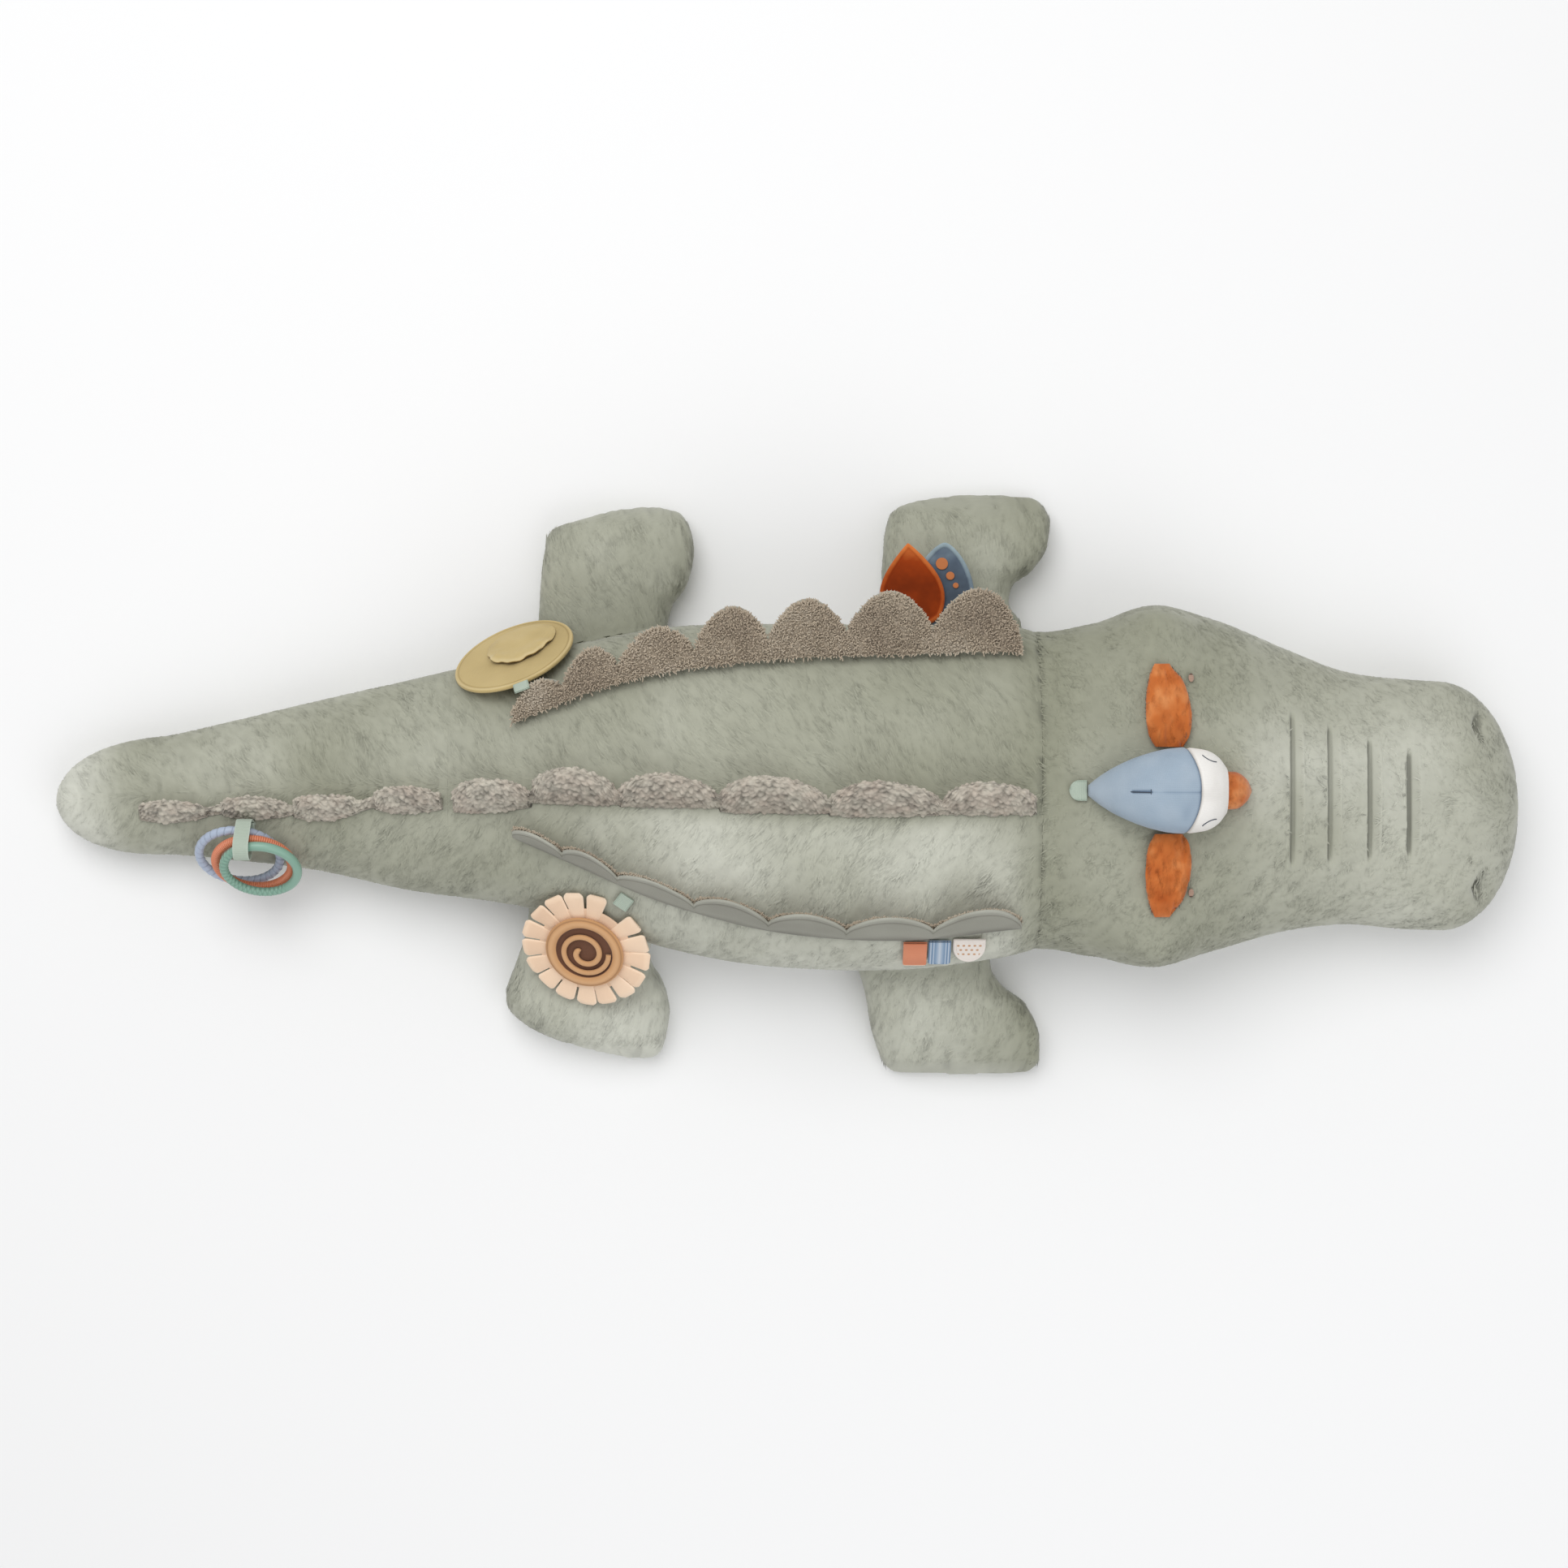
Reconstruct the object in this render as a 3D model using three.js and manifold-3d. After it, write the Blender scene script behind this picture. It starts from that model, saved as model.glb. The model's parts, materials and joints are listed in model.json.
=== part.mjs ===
// A stuffed crocodile that lies flat on its belly, with a plush bird, a flower, a disc, leaves, tags and
// rings sewn on by ribbons. Millimetres: +X runs to the snout, +Y to the toy's left, +Z up from the floor.
import * as THREE from "three";
import { mergeVertices } from "three/addons/utils/BufferGeometryUtils.js";
import Module from "manifold-3d";

const wasm = await Module();
wasm.setup();

// Driving sizes of the toy
const LENGTH = 1151;
const BODY_WIDTH = 270;
const BODY_HEIGHT = 150;
const BELLY_CUT = 1.8; // how deep the floor presses the stuffed forms flat
const SEAM_GAP = 0.3; // between two sewn pieces
const LAY_GAP = 0.6; // under a piece that lies on the fur
const MID_SHARE = 0.45; // the widest level of a section, as a share of its height
const UNDER_FULLNESS = 3.2; // exponent of the lower half of a section; 2 is an ellipse
const TAIL_ROUND = 81;
const SNOUT_ROUND = 62;
const END_SHIFT = 0.7; // how far the first ring of a rounded end stands back from its tip, in steps
const BISECTIONS = 24;
const AROUND = 24; // points round a section of the tail and the torso
const HEAD_AROUND = 32;

// The body from the tail's tip to the snout. Each row holds the place along LENGTH, the half width as a share
// of BODY_WIDTH, the height as a share of BODY_HEIGHT, the middle line's sideways place as a share of
// BODY_WIDTH, and the exponent of the section's upper half.
const bodyShares = [
  [0.0, 0.174, 0.4, -0.02, 2.0],
  [0.07, 0.174, 0.42, -0.008, 1.95],
  [0.114, 0.199, 0.48, 0.005, 1.85],
  [0.18, 0.248, 0.57, 0.021, 1.85],
  [0.245, 0.307, 0.68, 0.023, 1.95],
  [0.311, 0.357, 0.79, 0.035, 2.05],
  [0.365, 0.404, 0.88, 0.033, 2.15],
  [0.42, 0.463, 0.94, 0.016, 2.25],
  [0.486, 0.493, 0.98, -0.005, 2.3],
  [0.574, 0.498, 1.0, -0.012, 2.3],
  [0.645, 0.482, 0.985, 0.006, 2.3],
  [0.674, 0.459, 0.95, 0.008, 2.3],
  [0.705, 0.48, 0.965, 0.008, 2.35],
  [0.749, 0.52, 0.975, 0.02, 2.4],
  [0.793, 0.475, 0.93, 0.022, 2.4],
  [0.836, 0.414, 0.83, 0.01, 2.4],
  [0.88, 0.369, 0.74, -0.014, 2.4],
  [0.924, 0.365, 0.69, -0.033, 2.4],
  [1.0, 0.36, 0.65, -0.044, 2.4],
];

// Joints between the big stuffed forms
const TAIL_JOINT_SHARE = 0.2767;
const NECK_SHARE = 0.6694;
const TAIL_SWING = 10; // degrees each way
const TAIL_SWING_SPARE = 1;
const TAIL_STATIONS = 11;
const TIP_STATIONS = 4;
const TORSO_STATIONS = 17;

// Head: eye mounds, sewn snout channels and nostril dimples
const eyeMoundShare = { along: 0.7476, side: 0.418, height: 0.8 };
const EYE_MOUND_RISE = 15;
const EYE_MOUND_SPREAD = 21;
const channelShares = [
  { along: 0.836, half: 0.225 },
  { along: 0.862, half: 0.204 },
  { along: 0.8895, half: 0.182 },
  { along: 0.9165, half: 0.16 },
];
const CHANNEL_DEPTH = 7;
const CHANNEL_HALF_WIDTH = 6;
const nostrilShare = { along: 0.9657, side: 0.235, height: 0.5 };
const NOSTRIL_DEPTH = 9;
const NOSTRIL_SPREAD = 8;
const HEAD_STATIONS = 13;
const SNOUT_STATIONS = 5;

// Embroidered eyes
const eyeStitchShare = { along: 0.7665, side: 0.3 };
const EYE_STITCH_LENGTH = 7;
const EYE_STITCH_WIDTH = 4.2;
const EYE_STITCH_THICKNESS = 1.4;
const SPHERE_COLUMNS = 10;
const SPHERE_ROWS = 6;

// Spine ridge of stuffed scallops. Each row holds start and end along LENGTH, the seam's sideways place as a
// share of BODY_WIDTH, and the scallop's height and thickness as shares of SPINE_HEIGHT and SPINE_THICKNESS.
const SPINE_HEIGHT = 34;
const SPINE_THICKNESS = 24;
const SPINE_END_GAP = 1.5;
const SPINE_STEPS = 6;
const SPINE_ARC_POINTS = 7;
const spineTailShares = [
  [0.0621, 0.1116, -0.062, 0.6, 0.7],
  [0.1208, 0.1699, -0.05, 0.62, 0.72],
  [0.1699, 0.2168, -0.052, 0.7, 0.8],
  [0.2263, 0.2751, -0.03, 0.78, 0.78],
];
const spineBackShares = [
  [0.2795, 0.3336, -0.022, 0.95, 0.95],
  [0.3336, 0.3914, 0.006, 1.0, 1.0],
  [0.3914, 0.4574, -0.006, 0.95, 0.92],
  [0.4574, 0.5287, -0.018, 1.0, 1.0],
  [0.5287, 0.6021, -0.03, 0.95, 0.98],
  [0.6021, 0.6665, -0.028, 0.9, 0.92],
];
const spineLeanShare = 0.42; // sideways lean over height
const SPINE_SWELL = 0.6; // exponents of a scallop along the ridge and of its section; lower is fuller
const SPINE_CROWN = 0.8;
const spineValleyShare = 0.45; // height between two scallops over their full height

// Side ridges: the seam that they stand on, and the bounds and heights of their scallops
const sideSeamShares = [
  [0.3176, 0.148],
  [0.3567, 0.2185],
  [0.3949, 0.2815],
  [0.4305, 0.326],
  [0.4922, 0.374],
  [0.5521, 0.3926],
  [0.6043, 0.3926],
  [0.6564, 0.3815],
];
const sideScallopShares = [
  [0.321, 0.3541, 0.5],
  [0.3541, 0.3905, 0.7],
  [0.3905, 0.4409, 0.74],
  [0.4409, 0.4896, 0.9],
  [0.4896, 0.5408, 0.92],
  [0.5408, 0.5977, 1.0],
  [0.5977, 0.6564, 1.0],
];
const SIDE_RIDGE_HEIGHT = 50;
const sideValleyShare = 0.3;
const TERRY_THICKNESS = 6;
const COTTON_THICKNESS = 3.2;
const LEFT_RIDGE_LEAN = 66; // degrees outward from upright
const RIGHT_RIDGE_LEAN = -21;
const SIDE_RIDGE_LIFT = 3;
const SIDE_RIDGE_STEPS = 5;
const SIDE_RIDGE_SWELL = 0.7;
const ridgeCrownShare = 0.35; // extra thickness at the middle of a flap's height

// Legs. Each row of a leg holds the place outwards as a share of LEG_LENGTH from the root, the rear and front
// edges as shares of LEG_WIDTH from the root's middle, and the thickness as a share of LEG_HEIGHT.
const LEG_LENGTH = 140;
const LEG_WIDTH = 120;
const LEG_HEIGHT = 52;
const LEG_TUCK = 30; // how far the root reaches in under the flank
const LEG_AROUND = 14;
const LEG_FULLNESS = 2.6;
const LEG_CREASE_SPARE = 3; // height of the lifting crease above the leg's root
const legs = [
  {
    name: "leg_rear_left",
    side: 1,
    alongShare: 0.373,
    rows: [
      [0.0, -0.42, 0.44, 0.8],
      [0.245, -0.415, 0.443, 0.86],
      [0.416, -0.398, 0.485, 0.95],
      [0.531, -0.39, 0.577, 1.0],
      [0.716, -0.365, 0.627, 1.0],
      [0.852, -0.307, 0.602, 0.9],
      [0.93, -0.057, 0.552, 0.7],
      [0.973, 0.135, 0.485, 0.46],
    ],
    tip: [0.995, 0.318, 0.2],
  },
  {
    name: "leg_front_left",
    side: 1,
    alongShare: 0.615,
    rows: [
      [0.0, -0.45, 0.46, 0.8],
      [0.237, -0.453, 0.463, 0.86],
      [0.33, -0.462, 0.388, 0.92],
      [0.444, -0.462, 0.413, 0.97],
      [0.516, -0.462, 0.522, 1.0],
      [0.63, -0.453, 0.622, 1.0],
      [0.723, -0.445, 0.647, 0.96],
      [0.816, -0.42, 0.655, 0.84],
      [0.88, -0.387, 0.63, 0.66],
      [0.944, -0.178, 0.597, 0.4],
    ],
    tip: [0.98, 0.172, 0.18],
  },
  {
    name: "leg_rear_right",
    side: -1,
    alongShare: 0.364,
    rows: [
      [0.0, -0.38, 0.44, 0.8],
      [0.24, -0.39, 0.44, 0.84],
      [0.322, -0.412, 0.438, 0.88],
      [0.43, -0.454, 0.42, 0.94],
      [0.544, -0.504, 0.496, 1.0],
      [0.615, -0.529, 0.529, 1.0],
      [0.722, -0.512, 0.554, 1.0],
      [0.836, -0.362, 0.538, 0.9],
      [0.929, -0.112, 0.512, 0.72],
      [0.994, 0.179, 0.471, 0.46],
    ],
    tip: [1.03, 0.354, 0.2],
  },
  {
    name: "leg_front_right",
    side: -1,
    alongShare: 0.605,
    rows: [
      [0.0, -0.5, 0.38, 0.8],
      [0.218, -0.524, 0.359, 0.86],
      [0.332, -0.491, 0.426, 0.94],
      [0.425, -0.466, 0.568, 1.0],
      [0.582, -0.437, 0.668, 1.0],
      [0.746, -0.374, 0.684, 0.78],
      [0.796, -0.341, 0.676, 0.6],
      [0.846, -0.274, 0.626, 0.3],
    ],
    tip: [0.86, 0.18, 0.16],
  },
];

// Plush bird on the head. The rows hold the place along BIRD_LENGTH, the half width as a share of BIRD_WIDTH
// and the height as a share of BIRD_HEIGHT.
const BIRD_LENGTH = 122;
const BIRD_WIDTH = 64;
const BIRD_HEIGHT = 46;
const BIRD_FULLNESS = 2.2;
const BIRD_AROUND = 14;
const birdStartShare = 0.698; // its tail's place along LENGTH
const birdSideShare = 0.008;
const birdBodyShares = [
  [0.0, 0.06, 0.22],
  [0.07, 0.17, 0.4],
  [0.17, 0.29, 0.62],
  [0.3, 0.4, 0.82],
  [0.45, 0.48, 0.95],
  [0.56, 0.5, 1.0],
  [0.64, 0.49, 1.0],
];
const birdHeadShares = [
  [0.64, 0.49, 1.0],
  [0.72, 0.46, 0.95],
  [0.79, 0.38, 0.82],
  [0.84, 0.28, 0.66],
];
const birdBeakShares = [
  [0.84, 0.2, 0.46],
  [0.91, 0.17, 0.38],
  [0.97, 0.09, 0.24],
];
const beakTipShare = 1;
const birdWingRows = [
  [0.0, -0.3, 0.3, 0.7],
  [0.14, -0.42, 0.42, 0.95],
  [0.35, -0.47, 0.47, 1.0],
  [0.6, -0.46, 0.42, 0.95],
  [0.8, -0.4, 0.3, 0.8],
  [0.93, -0.32, 0.12, 0.55],
];
const wingTipShare = 1;
const wingTipAcrossShare = -0.18;
const WING_LENGTH = 64;
const WING_WIDTH = 38;
const WING_THICKNESS = 10;
const WING_AROUND = 10;
const WING_FULLNESS = 2.5;
const wingTipHeightShare = 0.33;
const wingPlaceShare = 0.5; // where the wings grow from the bird, along BIRD_LENGTH
const WING_ROOT_GAP = 0.5;

// Ribbons
const RIBBON_WIDTH = 12;
const RIBBON_THICKNESS = 1.6;
const EDGE_RIBBON_LENGTH = 12.6;
const LOOP_ARC_POINTS = 6;

// Rings on the tail
const RING_TUBE = 7.5;
const RING_CLEARANCE = 0.8; // between two rings, and between a ring and its ribbon
const RING_TILT = 50; // degrees from level
const RING_SEGMENTS = 24;
const RING_SIDES = 8;
const ringAlongShare = 0.139; // the ribbon's place along LENGTH
const ringSideShare = -0.109; // where the lowest ring passes the ribbon, as a share of BODY_WIDTH
const rings = [
  { name: "ring_blue", diameter: 70, turn: -15, colour: 0xb9c3d2 },
  { name: "ring_orange", diameter: 66, turn: 8, colour: 0xd98a66 },
  { name: "ring_green", diameter: 64, turn: 22, colour: 0x86a896 },
];

// Flower
const FLOWER_DIAMETER = 101;
const FLOWER_TILT = 32;
const FLOWER_TURN = -14; // the ribbon's side of the flower, in degrees from straight up the flank
const FLOWER_PETALS = 17;
const PETAL_THICKNESS = 3.2;
const petalNotchShare = 0.74;
const petalGapShare = 0.08;
const petalCornerShares = [[0.04, 0.93], [0.2, 1], [0.8, 1], [0.96, 0.93]]; // across the petal, and out
const FLOWER_DISC_DIAMETER = 62;
const FLOWER_DISC_THICKNESS = 5;
const FLOWER_RIM_THICKNESS = 3;
const SPIRAL_TURNS = 1.6;
const SPIRAL_OPENING = 0.6; // below 1 the spiral opens quickly near its middle
const SPIRAL_BAND = 4.6;
const SPIRAL_INNER = 3;
const SPIRAL_THICKNESS = 3;
const SPIRAL_STEPS = 44;
const spiralTaperShare = 0.1;
const flowerShare = { along: 0.3675, side: -0.477 };
const DISC_SIDES = 36;
const SEAT_RINGS = 9;
const flankLevelShare = 0.82; // where a flank's run is measured, as a share of the half width

// Yellow disc
const PAD_DIAMETER = 97;
const PAD_THICKNESS = 4;
const PAD_TILT = 60;
const PAD_TURN = 0; // the ribbon's side of the disc, in degrees from straight up the flank
const padShare = { along: 0.3195, side: 0.35 };
const FLAP_DIAMETER = 56;
const FLAP_THICKNESS = 2.6;
const flapOffsetShare = { along: 0.08, out: 0.1 };

// Leaves that are sewn to the left flank where it is widest
const LEAF_LENGTH = 61;
const LEAF_WIDTH = 46;
const LEAF_THICKNESS = 3.4;
const LEAF_SLOPE = 6; // degrees down from level, outwards
const LEAF_STEPS = 7;
// Exponents of a leaf's outline: where it is widest, and how full it is; lower is fuller
const pointedLeaf = { belly: 0.9, fullness: 0.9 };
const bluntLeaf = { belly: 1.15, fullness: 0.55 };
const LEAF_ROOT_WIDTH = 38;
const LEAF_SPACING = 4.2;
const LEAF_ROOT_GAP = 1.6; // between the flank and the leaves' roots
const LEAF_RISE = 10; // of the roots over the widest line of the flank
const DOT_THICKNESS = 0.8;
const DOT_DIAMETERS = [9.5, 6.5, 4.5];
const dotPlaceShares = [0.72, 0.57, 0.45];
const dotAsideShares = [-0.04, 0.11, 0.21]; // of LEAF_WIDTH
const DOT_SIDES = 12;
const DOT_GAP = 0.3;

// Tags under the right ridge
const TAG_LENGTH = 26;
const TAG_THICKNESS = 2.4;
const TAG_TUCK = 2;
const TAG_LIFT = 0.9; // of a tag's root over the skin
const TAG_CURVE_STEPS = 5;
const TAG_CORNER = 3;
const tagStraightShare = 0.33; // of a round tag
const tags = [
  { name: "tag_orange", alongShare: 0.5866, width: 18, colour: 0xd07a4a },
  { name: "tag_striped", alongShare: 0.6029, width: 17, colour: 0x9db3cc },
  { name: "tag_round", alongShare: 0.6224, width: 25, colour: 0xe9dfd3, round: true },
];
const tagSideShare = -0.4; // where the tags leave the ridge's seam
const TAG_SLOPE = 47;

const toRadians = THREE.MathUtils.degToRad;
const tailTipX = -LENGTH / 2;
const placeAlong = (share) => tailTipX + share * LENGTH;
const tailJointX = placeAlong(TAIL_JOINT_SHARE);
const neckX = placeAlong(NECK_SHARE);

// A value of a table's column at a place between its rows, on a smooth curve through them.
function smoothAt(rows, place, column) {
  let i = 0;
  while (i < rows.length - 2 && place > rows[i + 1][0]) i += 1;
  const [x0, x1] = [rows[i][0], rows[i + 1][0]];
  const [y0, y1] = [rows[i][column], rows[i + 1][column]];
  const slope = (a, b) => (rows[b][column] - rows[a][column]) / (rows[b][0] - rows[a][0]);
  const m0 = i > 0 ? slope(i - 1, i + 1) : slope(i, i + 1);
  const m1 = i < rows.length - 2 ? slope(i, i + 2) : slope(i, i + 1);
  const t = Math.min(Math.max((place - x0) / (x1 - x0), 0), 1);
  const d = x1 - x0;
  return (
    (2 * t ** 3 - 3 * t ** 2 + 1) * y0 +
    (t ** 3 - 2 * t ** 2 + t) * d * m0 +
    (3 * t ** 2 - 2 * t ** 3) * y1 +
    (t ** 3 - t ** 2) * d * m1
  );
}

const signedPower = (value, power) => Math.sign(value) * Math.abs(value) ** power;
const roundedEnd = (distance, radius) =>
  distance >= radius ? 1 : Math.sqrt(Math.max(1 - (1 - distance / radius) ** 2, 0));

// The section of the stuffed body at a place along it.
function sectionAt(x) {
  const share = (x - tailTipX) / LENGTH;
  const end = roundedEnd(x - tailTipX, TAIL_ROUND) * roundedEnd(-tailTipX - x, SNOUT_ROUND);
  const height = smoothAt(bodyShares, share, 2) * BODY_HEIGHT;
  return {
    half: smoothAt(bodyShares, share, 1) * BODY_WIDTH * end,
    mid: MID_SHARE * height,
    up: (1 - MID_SHARE) * height * end,
    down: (MID_SHARE * height + BELLY_CUT) * end,
    side: smoothAt(bodyShares, share, 3) * BODY_WIDTH,
    fullness: smoothAt(bodyShares, share, 4),
  };
}

const bell = (distance, spread) => Math.exp(-0.5 * (distance / spread) ** 2);

// How far the eye mounds and nostrils push the skin out from the section's middle.
function faceRelief(x, y, z, section) {
  let relief = 0;
  for (const side of [1, -1]) {
    const mound = new THREE.Vector3(
      placeAlong(eyeMoundShare.along),
      section.side + side * eyeMoundShare.side * BODY_WIDTH,
      eyeMoundShare.height * BODY_HEIGHT,
    );
    relief += EYE_MOUND_RISE * bell(mound.distanceTo(new THREE.Vector3(x, y, z)), EYE_MOUND_SPREAD);
    const nostril = new THREE.Vector3(
      placeAlong(nostrilShare.along),
      section.side + side * nostrilShare.side * BODY_WIDTH,
      nostrilShare.height * BODY_HEIGHT,
    );
    relief -= NOSTRIL_DEPTH * bell(nostril.distanceTo(new THREE.Vector3(x, y, z)), NOSTRIL_SPREAD);
  }
  return relief;
}

// How deep the sewn channels draw the snout's top in.
function channelDepth(x, y, section) {
  let depth = 0;
  for (const channel of channelShares) {
    const across = Math.abs(y - section.side) / (channel.half * BODY_WIDTH);
    const away = Math.abs(x - placeAlong(channel.along)) / CHANNEL_HALF_WIDTH;
    if (across < 1 && away < 1) depth += CHANNEL_DEPTH * (1 - across ** 4) * (1 - away);
  }
  return depth;
}

// A point of the stuffed body's skin, grown outwards by a distance.
function bodyPoint(x, angle, grow = 0) {
  const section = sectionAt(x);
  const rise = Math.sin(angle);
  const power = 2 / (rise >= 0 ? section.fullness : UNDER_FULLNESS);
  const across = signedPower(Math.cos(angle), power);
  const upward = signedPower(rise, power);
  let y = section.side + (section.half + grow) * across;
  let z = section.mid + ((rise >= 0 ? section.up : section.down) + grow) * upward;
  if (x > neckX) {
    const relief = faceRelief(x, y, z, section);
    const reach = Math.hypot(y - section.side, z - section.mid);
    y += (relief * (y - section.side)) / reach;
    z += (relief * (z - section.mid)) / reach;
    if (rise > 0) z -= channelDepth(x, y, section);
  }
  return new THREE.Vector3(x, y, Math.max(z, -grow));
}

// The height of the body's upper skin over a point of the floor.
function topOf(x, y) {
  let [left, right] = [0, Math.PI];
  for (let i = 0; i < BISECTIONS; i += 1) {
    const middle = (left + right) / 2;
    if (bodyPoint(x, middle).y > y) left = middle;
    else right = middle;
  }
  return bodyPoint(x, (left + right) / 2).z;
}

const ringOf = (count, point) =>
  Array.from({ length: count }, (_, i) => point((2 * Math.PI * i) / count, i));

// A closed skin over rings of points, with a fan to a point at each end.
function skinOf(ringList, start, end) {
  const count = ringList[0].length;
  const points = [...ringList.flat(), start, end];
  const faces = [];
  for (let r = 0; r < ringList.length - 1; r += 1) {
    for (let i = 0; i < count; i += 1) {
      const [a, b] = [r * count + i, r * count + ((i + 1) % count)];
      faces.push(a, b, b + count, a, b + count, a + count);
    }
  }
  const last = (ringList.length - 1) * count;
  for (let i = 0; i < count; i += 1) {
    faces.push(points.length - 2, (i + 1) % count, i);
    faces.push(points.length - 1, last + i, last + ((i + 1) % count));
  }
  const geometry = new THREE.BufferGeometry().setFromPoints(points);
  geometry.setIndex(faces);
  return facingOut(geometry);
}

// The same geometry with its faces turned to the outside.
function facingOut(geometry) {
  const p = geometry.attributes.position;
  const [a, b, c] = [new THREE.Vector3(), new THREE.Vector3(), new THREE.Vector3()];
  let volume = 0;
  const index = geometry.index.array;
  for (let i = 0; i < index.length; i += 3) {
    a.fromBufferAttribute(p, index[i]);
    b.fromBufferAttribute(p, index[i + 1]);
    c.fromBufferAttribute(p, index[i + 2]);
    volume += a.dot(b.cross(c));
  }
  if (volume < 0) {
    for (let i = 0; i < index.length; i += 3) [index[i], index[i + 1]] = [index[i + 1], index[i]];
  }
  return geometry;
}

const middleOf = (points) =>
  points.reduce((sum, p) => sum.add(p), new THREE.Vector3()).divideScalar(points.length);

// Places from one value to another in equal steps, both ends included.
const steps = (from, to, count) =>
  Array.from({ length: count }, (_, i) => from + ((to - from) * i) / (count - 1));

// Places along a rounded end, closer together near its tip, without the tip itself.
const endSteps = (tip, inward, radius, count) =>
  Array.from({ length: count }, (_, i) =>
    tip + inward * radius * (1 - Math.cos((Math.PI / 2) * ((i + END_SHIFT) / (count + END_SHIFT)))));

const bodyRing = (x, count, grow = 0) => ringOf(count, (angle) => bodyPoint(x, angle, grow));

// Moves a ring's points back from the tail joint, so that the two faces open like a book on both sides.
function openedForSwing(points, x, direction) {
  const slope = Math.tan(toRadians((TAIL_SWING + TAIL_SWING_SPARE) / 2));
  const side = sectionAt(x).side;
  return points.map((p) =>
    new THREE.Vector3(x + direction * (SEAM_GAP / 2 + slope * Math.abs(p.y - side)), p.y, p.z));
}

const sectionMiddle = (x) => new THREE.Vector3(x, sectionAt(x).side, sectionAt(x).mid);

// Solids as manifold-3d knows them, to cut a piece by its neighbour
function solidOf(geometry) {
  const bare = new THREE.BufferGeometry().setAttribute("position", geometry.getAttribute("position"));
  if (geometry.index) bare.setIndex(geometry.index);
  const merged = mergeVertices(bare, 1e-4);
  return new wasm.Manifold(
    new wasm.Mesh({
      numProp: 3,
      vertProperties: new Float32Array(merged.attributes.position.array),
      triVerts: new Uint32Array(merged.index.array),
    }),
  );
}

function geometryOf(solid) {
  const mesh = solid.getMesh();
  const geometry = new THREE.BufferGeometry();
  geometry.setAttribute("position", new THREE.BufferAttribute(mesh.vertProperties, 3));
  geometry.setIndex(new THREE.BufferAttribute(mesh.triVerts, 1));
  return geometry;
}

const fabric = (colour, roughness = 0.95) =>
  new THREE.MeshStandardMaterial({ color: colour, roughness, metalness: 0 });

const FUR = fabric(0xb4baa6);
const KNIT = fabric(0xb3a595);
const TERRY = fabric(0xa89c90);
const COTTON = fabric(0xa09c96, 0.9);
const SAGE_RIBBON = fabric(0xb4c4b6, 0.8);

// The scene graph: one group for each piece that moves by itself, placed at its hinge
const crocodile = new THREE.Group();
crocodile.name = "crocodile";
const bodies = new Map([["torso", crocodile]]);

function addBody(name, parent, pivot) {
  const group = new THREE.Group();
  group.name = name + "_hinge";
  const home = bodies.get(parent);
  home.updateWorldMatrix(true, false);
  group.position.copy(pivot).sub(home.getWorldPosition(new THREE.Vector3()));
  home.add(group);
  bodies.set(name, group);
}

function addPiece(body, name, geometry, material) {
  const home = bodies.get(body);
  home.updateWorldMatrix(true, false);
  const pivot = home.getWorldPosition(new THREE.Vector3());
  const mesh = new THREE.Mesh(geometry.translate(-pivot.x, -pivot.y, -pivot.z), material);
  mesh.name = name;
  home.add(mesh);
}

// Torso, tail and head
function torsoSkin(grow = 0) {
  const places = steps(tailJointX, neckX - SEAM_GAP / 2, TORSO_STATIONS);
  const ringList = places.map((x) => bodyRing(x, AROUND, grow));
  ringList[0] = openedForSwing(ringList[0], tailJointX, 1);
  const start = sectionMiddle(tailJointX);
  start.x += SEAM_GAP / 2;
  return skinOf(ringList, start, sectionMiddle(places.at(-1)));
}

function tailSkin() {
  const tip = endSteps(tailTipX, 1, TAIL_ROUND, TIP_STATIONS);
  const rest = steps(tailTipX + TAIL_ROUND, tailJointX, TAIL_STATIONS);
  const ringList = [...tip, ...rest].map((x) => bodyRing(x, AROUND));
  ringList[ringList.length - 1] = openedForSwing(ringList.at(-1), tailJointX, -1);
  const end = sectionMiddle(tailJointX);
  end.x -= SEAM_GAP / 2;
  return skinOf(ringList, sectionMiddle(tailTipX), end);
}

function headSkin() {
  const noseX = -tailTipX;
  const plain = steps(neckX + SEAM_GAP / 2, noseX - SNOUT_ROUND, HEAD_STATIONS);
  const channels = channelShares.flatMap(({ along }) =>
    [-1, 0, 1].map((edge) => placeAlong(along) + edge * CHANNEL_HALF_WIDTH));
  const clear = plain.filter((x, i) =>
    i === 0 || channels.every((c) => Math.abs(c - x) > CHANNEL_HALF_WIDTH));
  const places = [...clear, ...channels].sort((a, b) => a - b);
  const snout = endSteps(noseX, -1, SNOUT_ROUND, SNOUT_STATIONS).reverse();
  const ringList = [...places, ...snout].map((x) => bodyRing(x, HEAD_AROUND));
  return skinOf(ringList, sectionMiddle(places[0]), sectionMiddle(noseX));
}

const tailPivot = new THREE.Vector3(tailJointX, sectionAt(tailJointX).side, 0);
const neckSection = sectionAt(neckX);
const neckPivot = new THREE.Vector3(neckX, neckSection.side, neckSection.mid + neckSection.up);
addBody("tail", "torso", tailPivot);
addBody("head", "torso", neckPivot);
addPiece("torso", "torso", torsoSkin(), FUR);
addPiece("tail", "tail", tailSkin(), FUR);
addPiece("head", "head", headSkin(), FUR);

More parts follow.
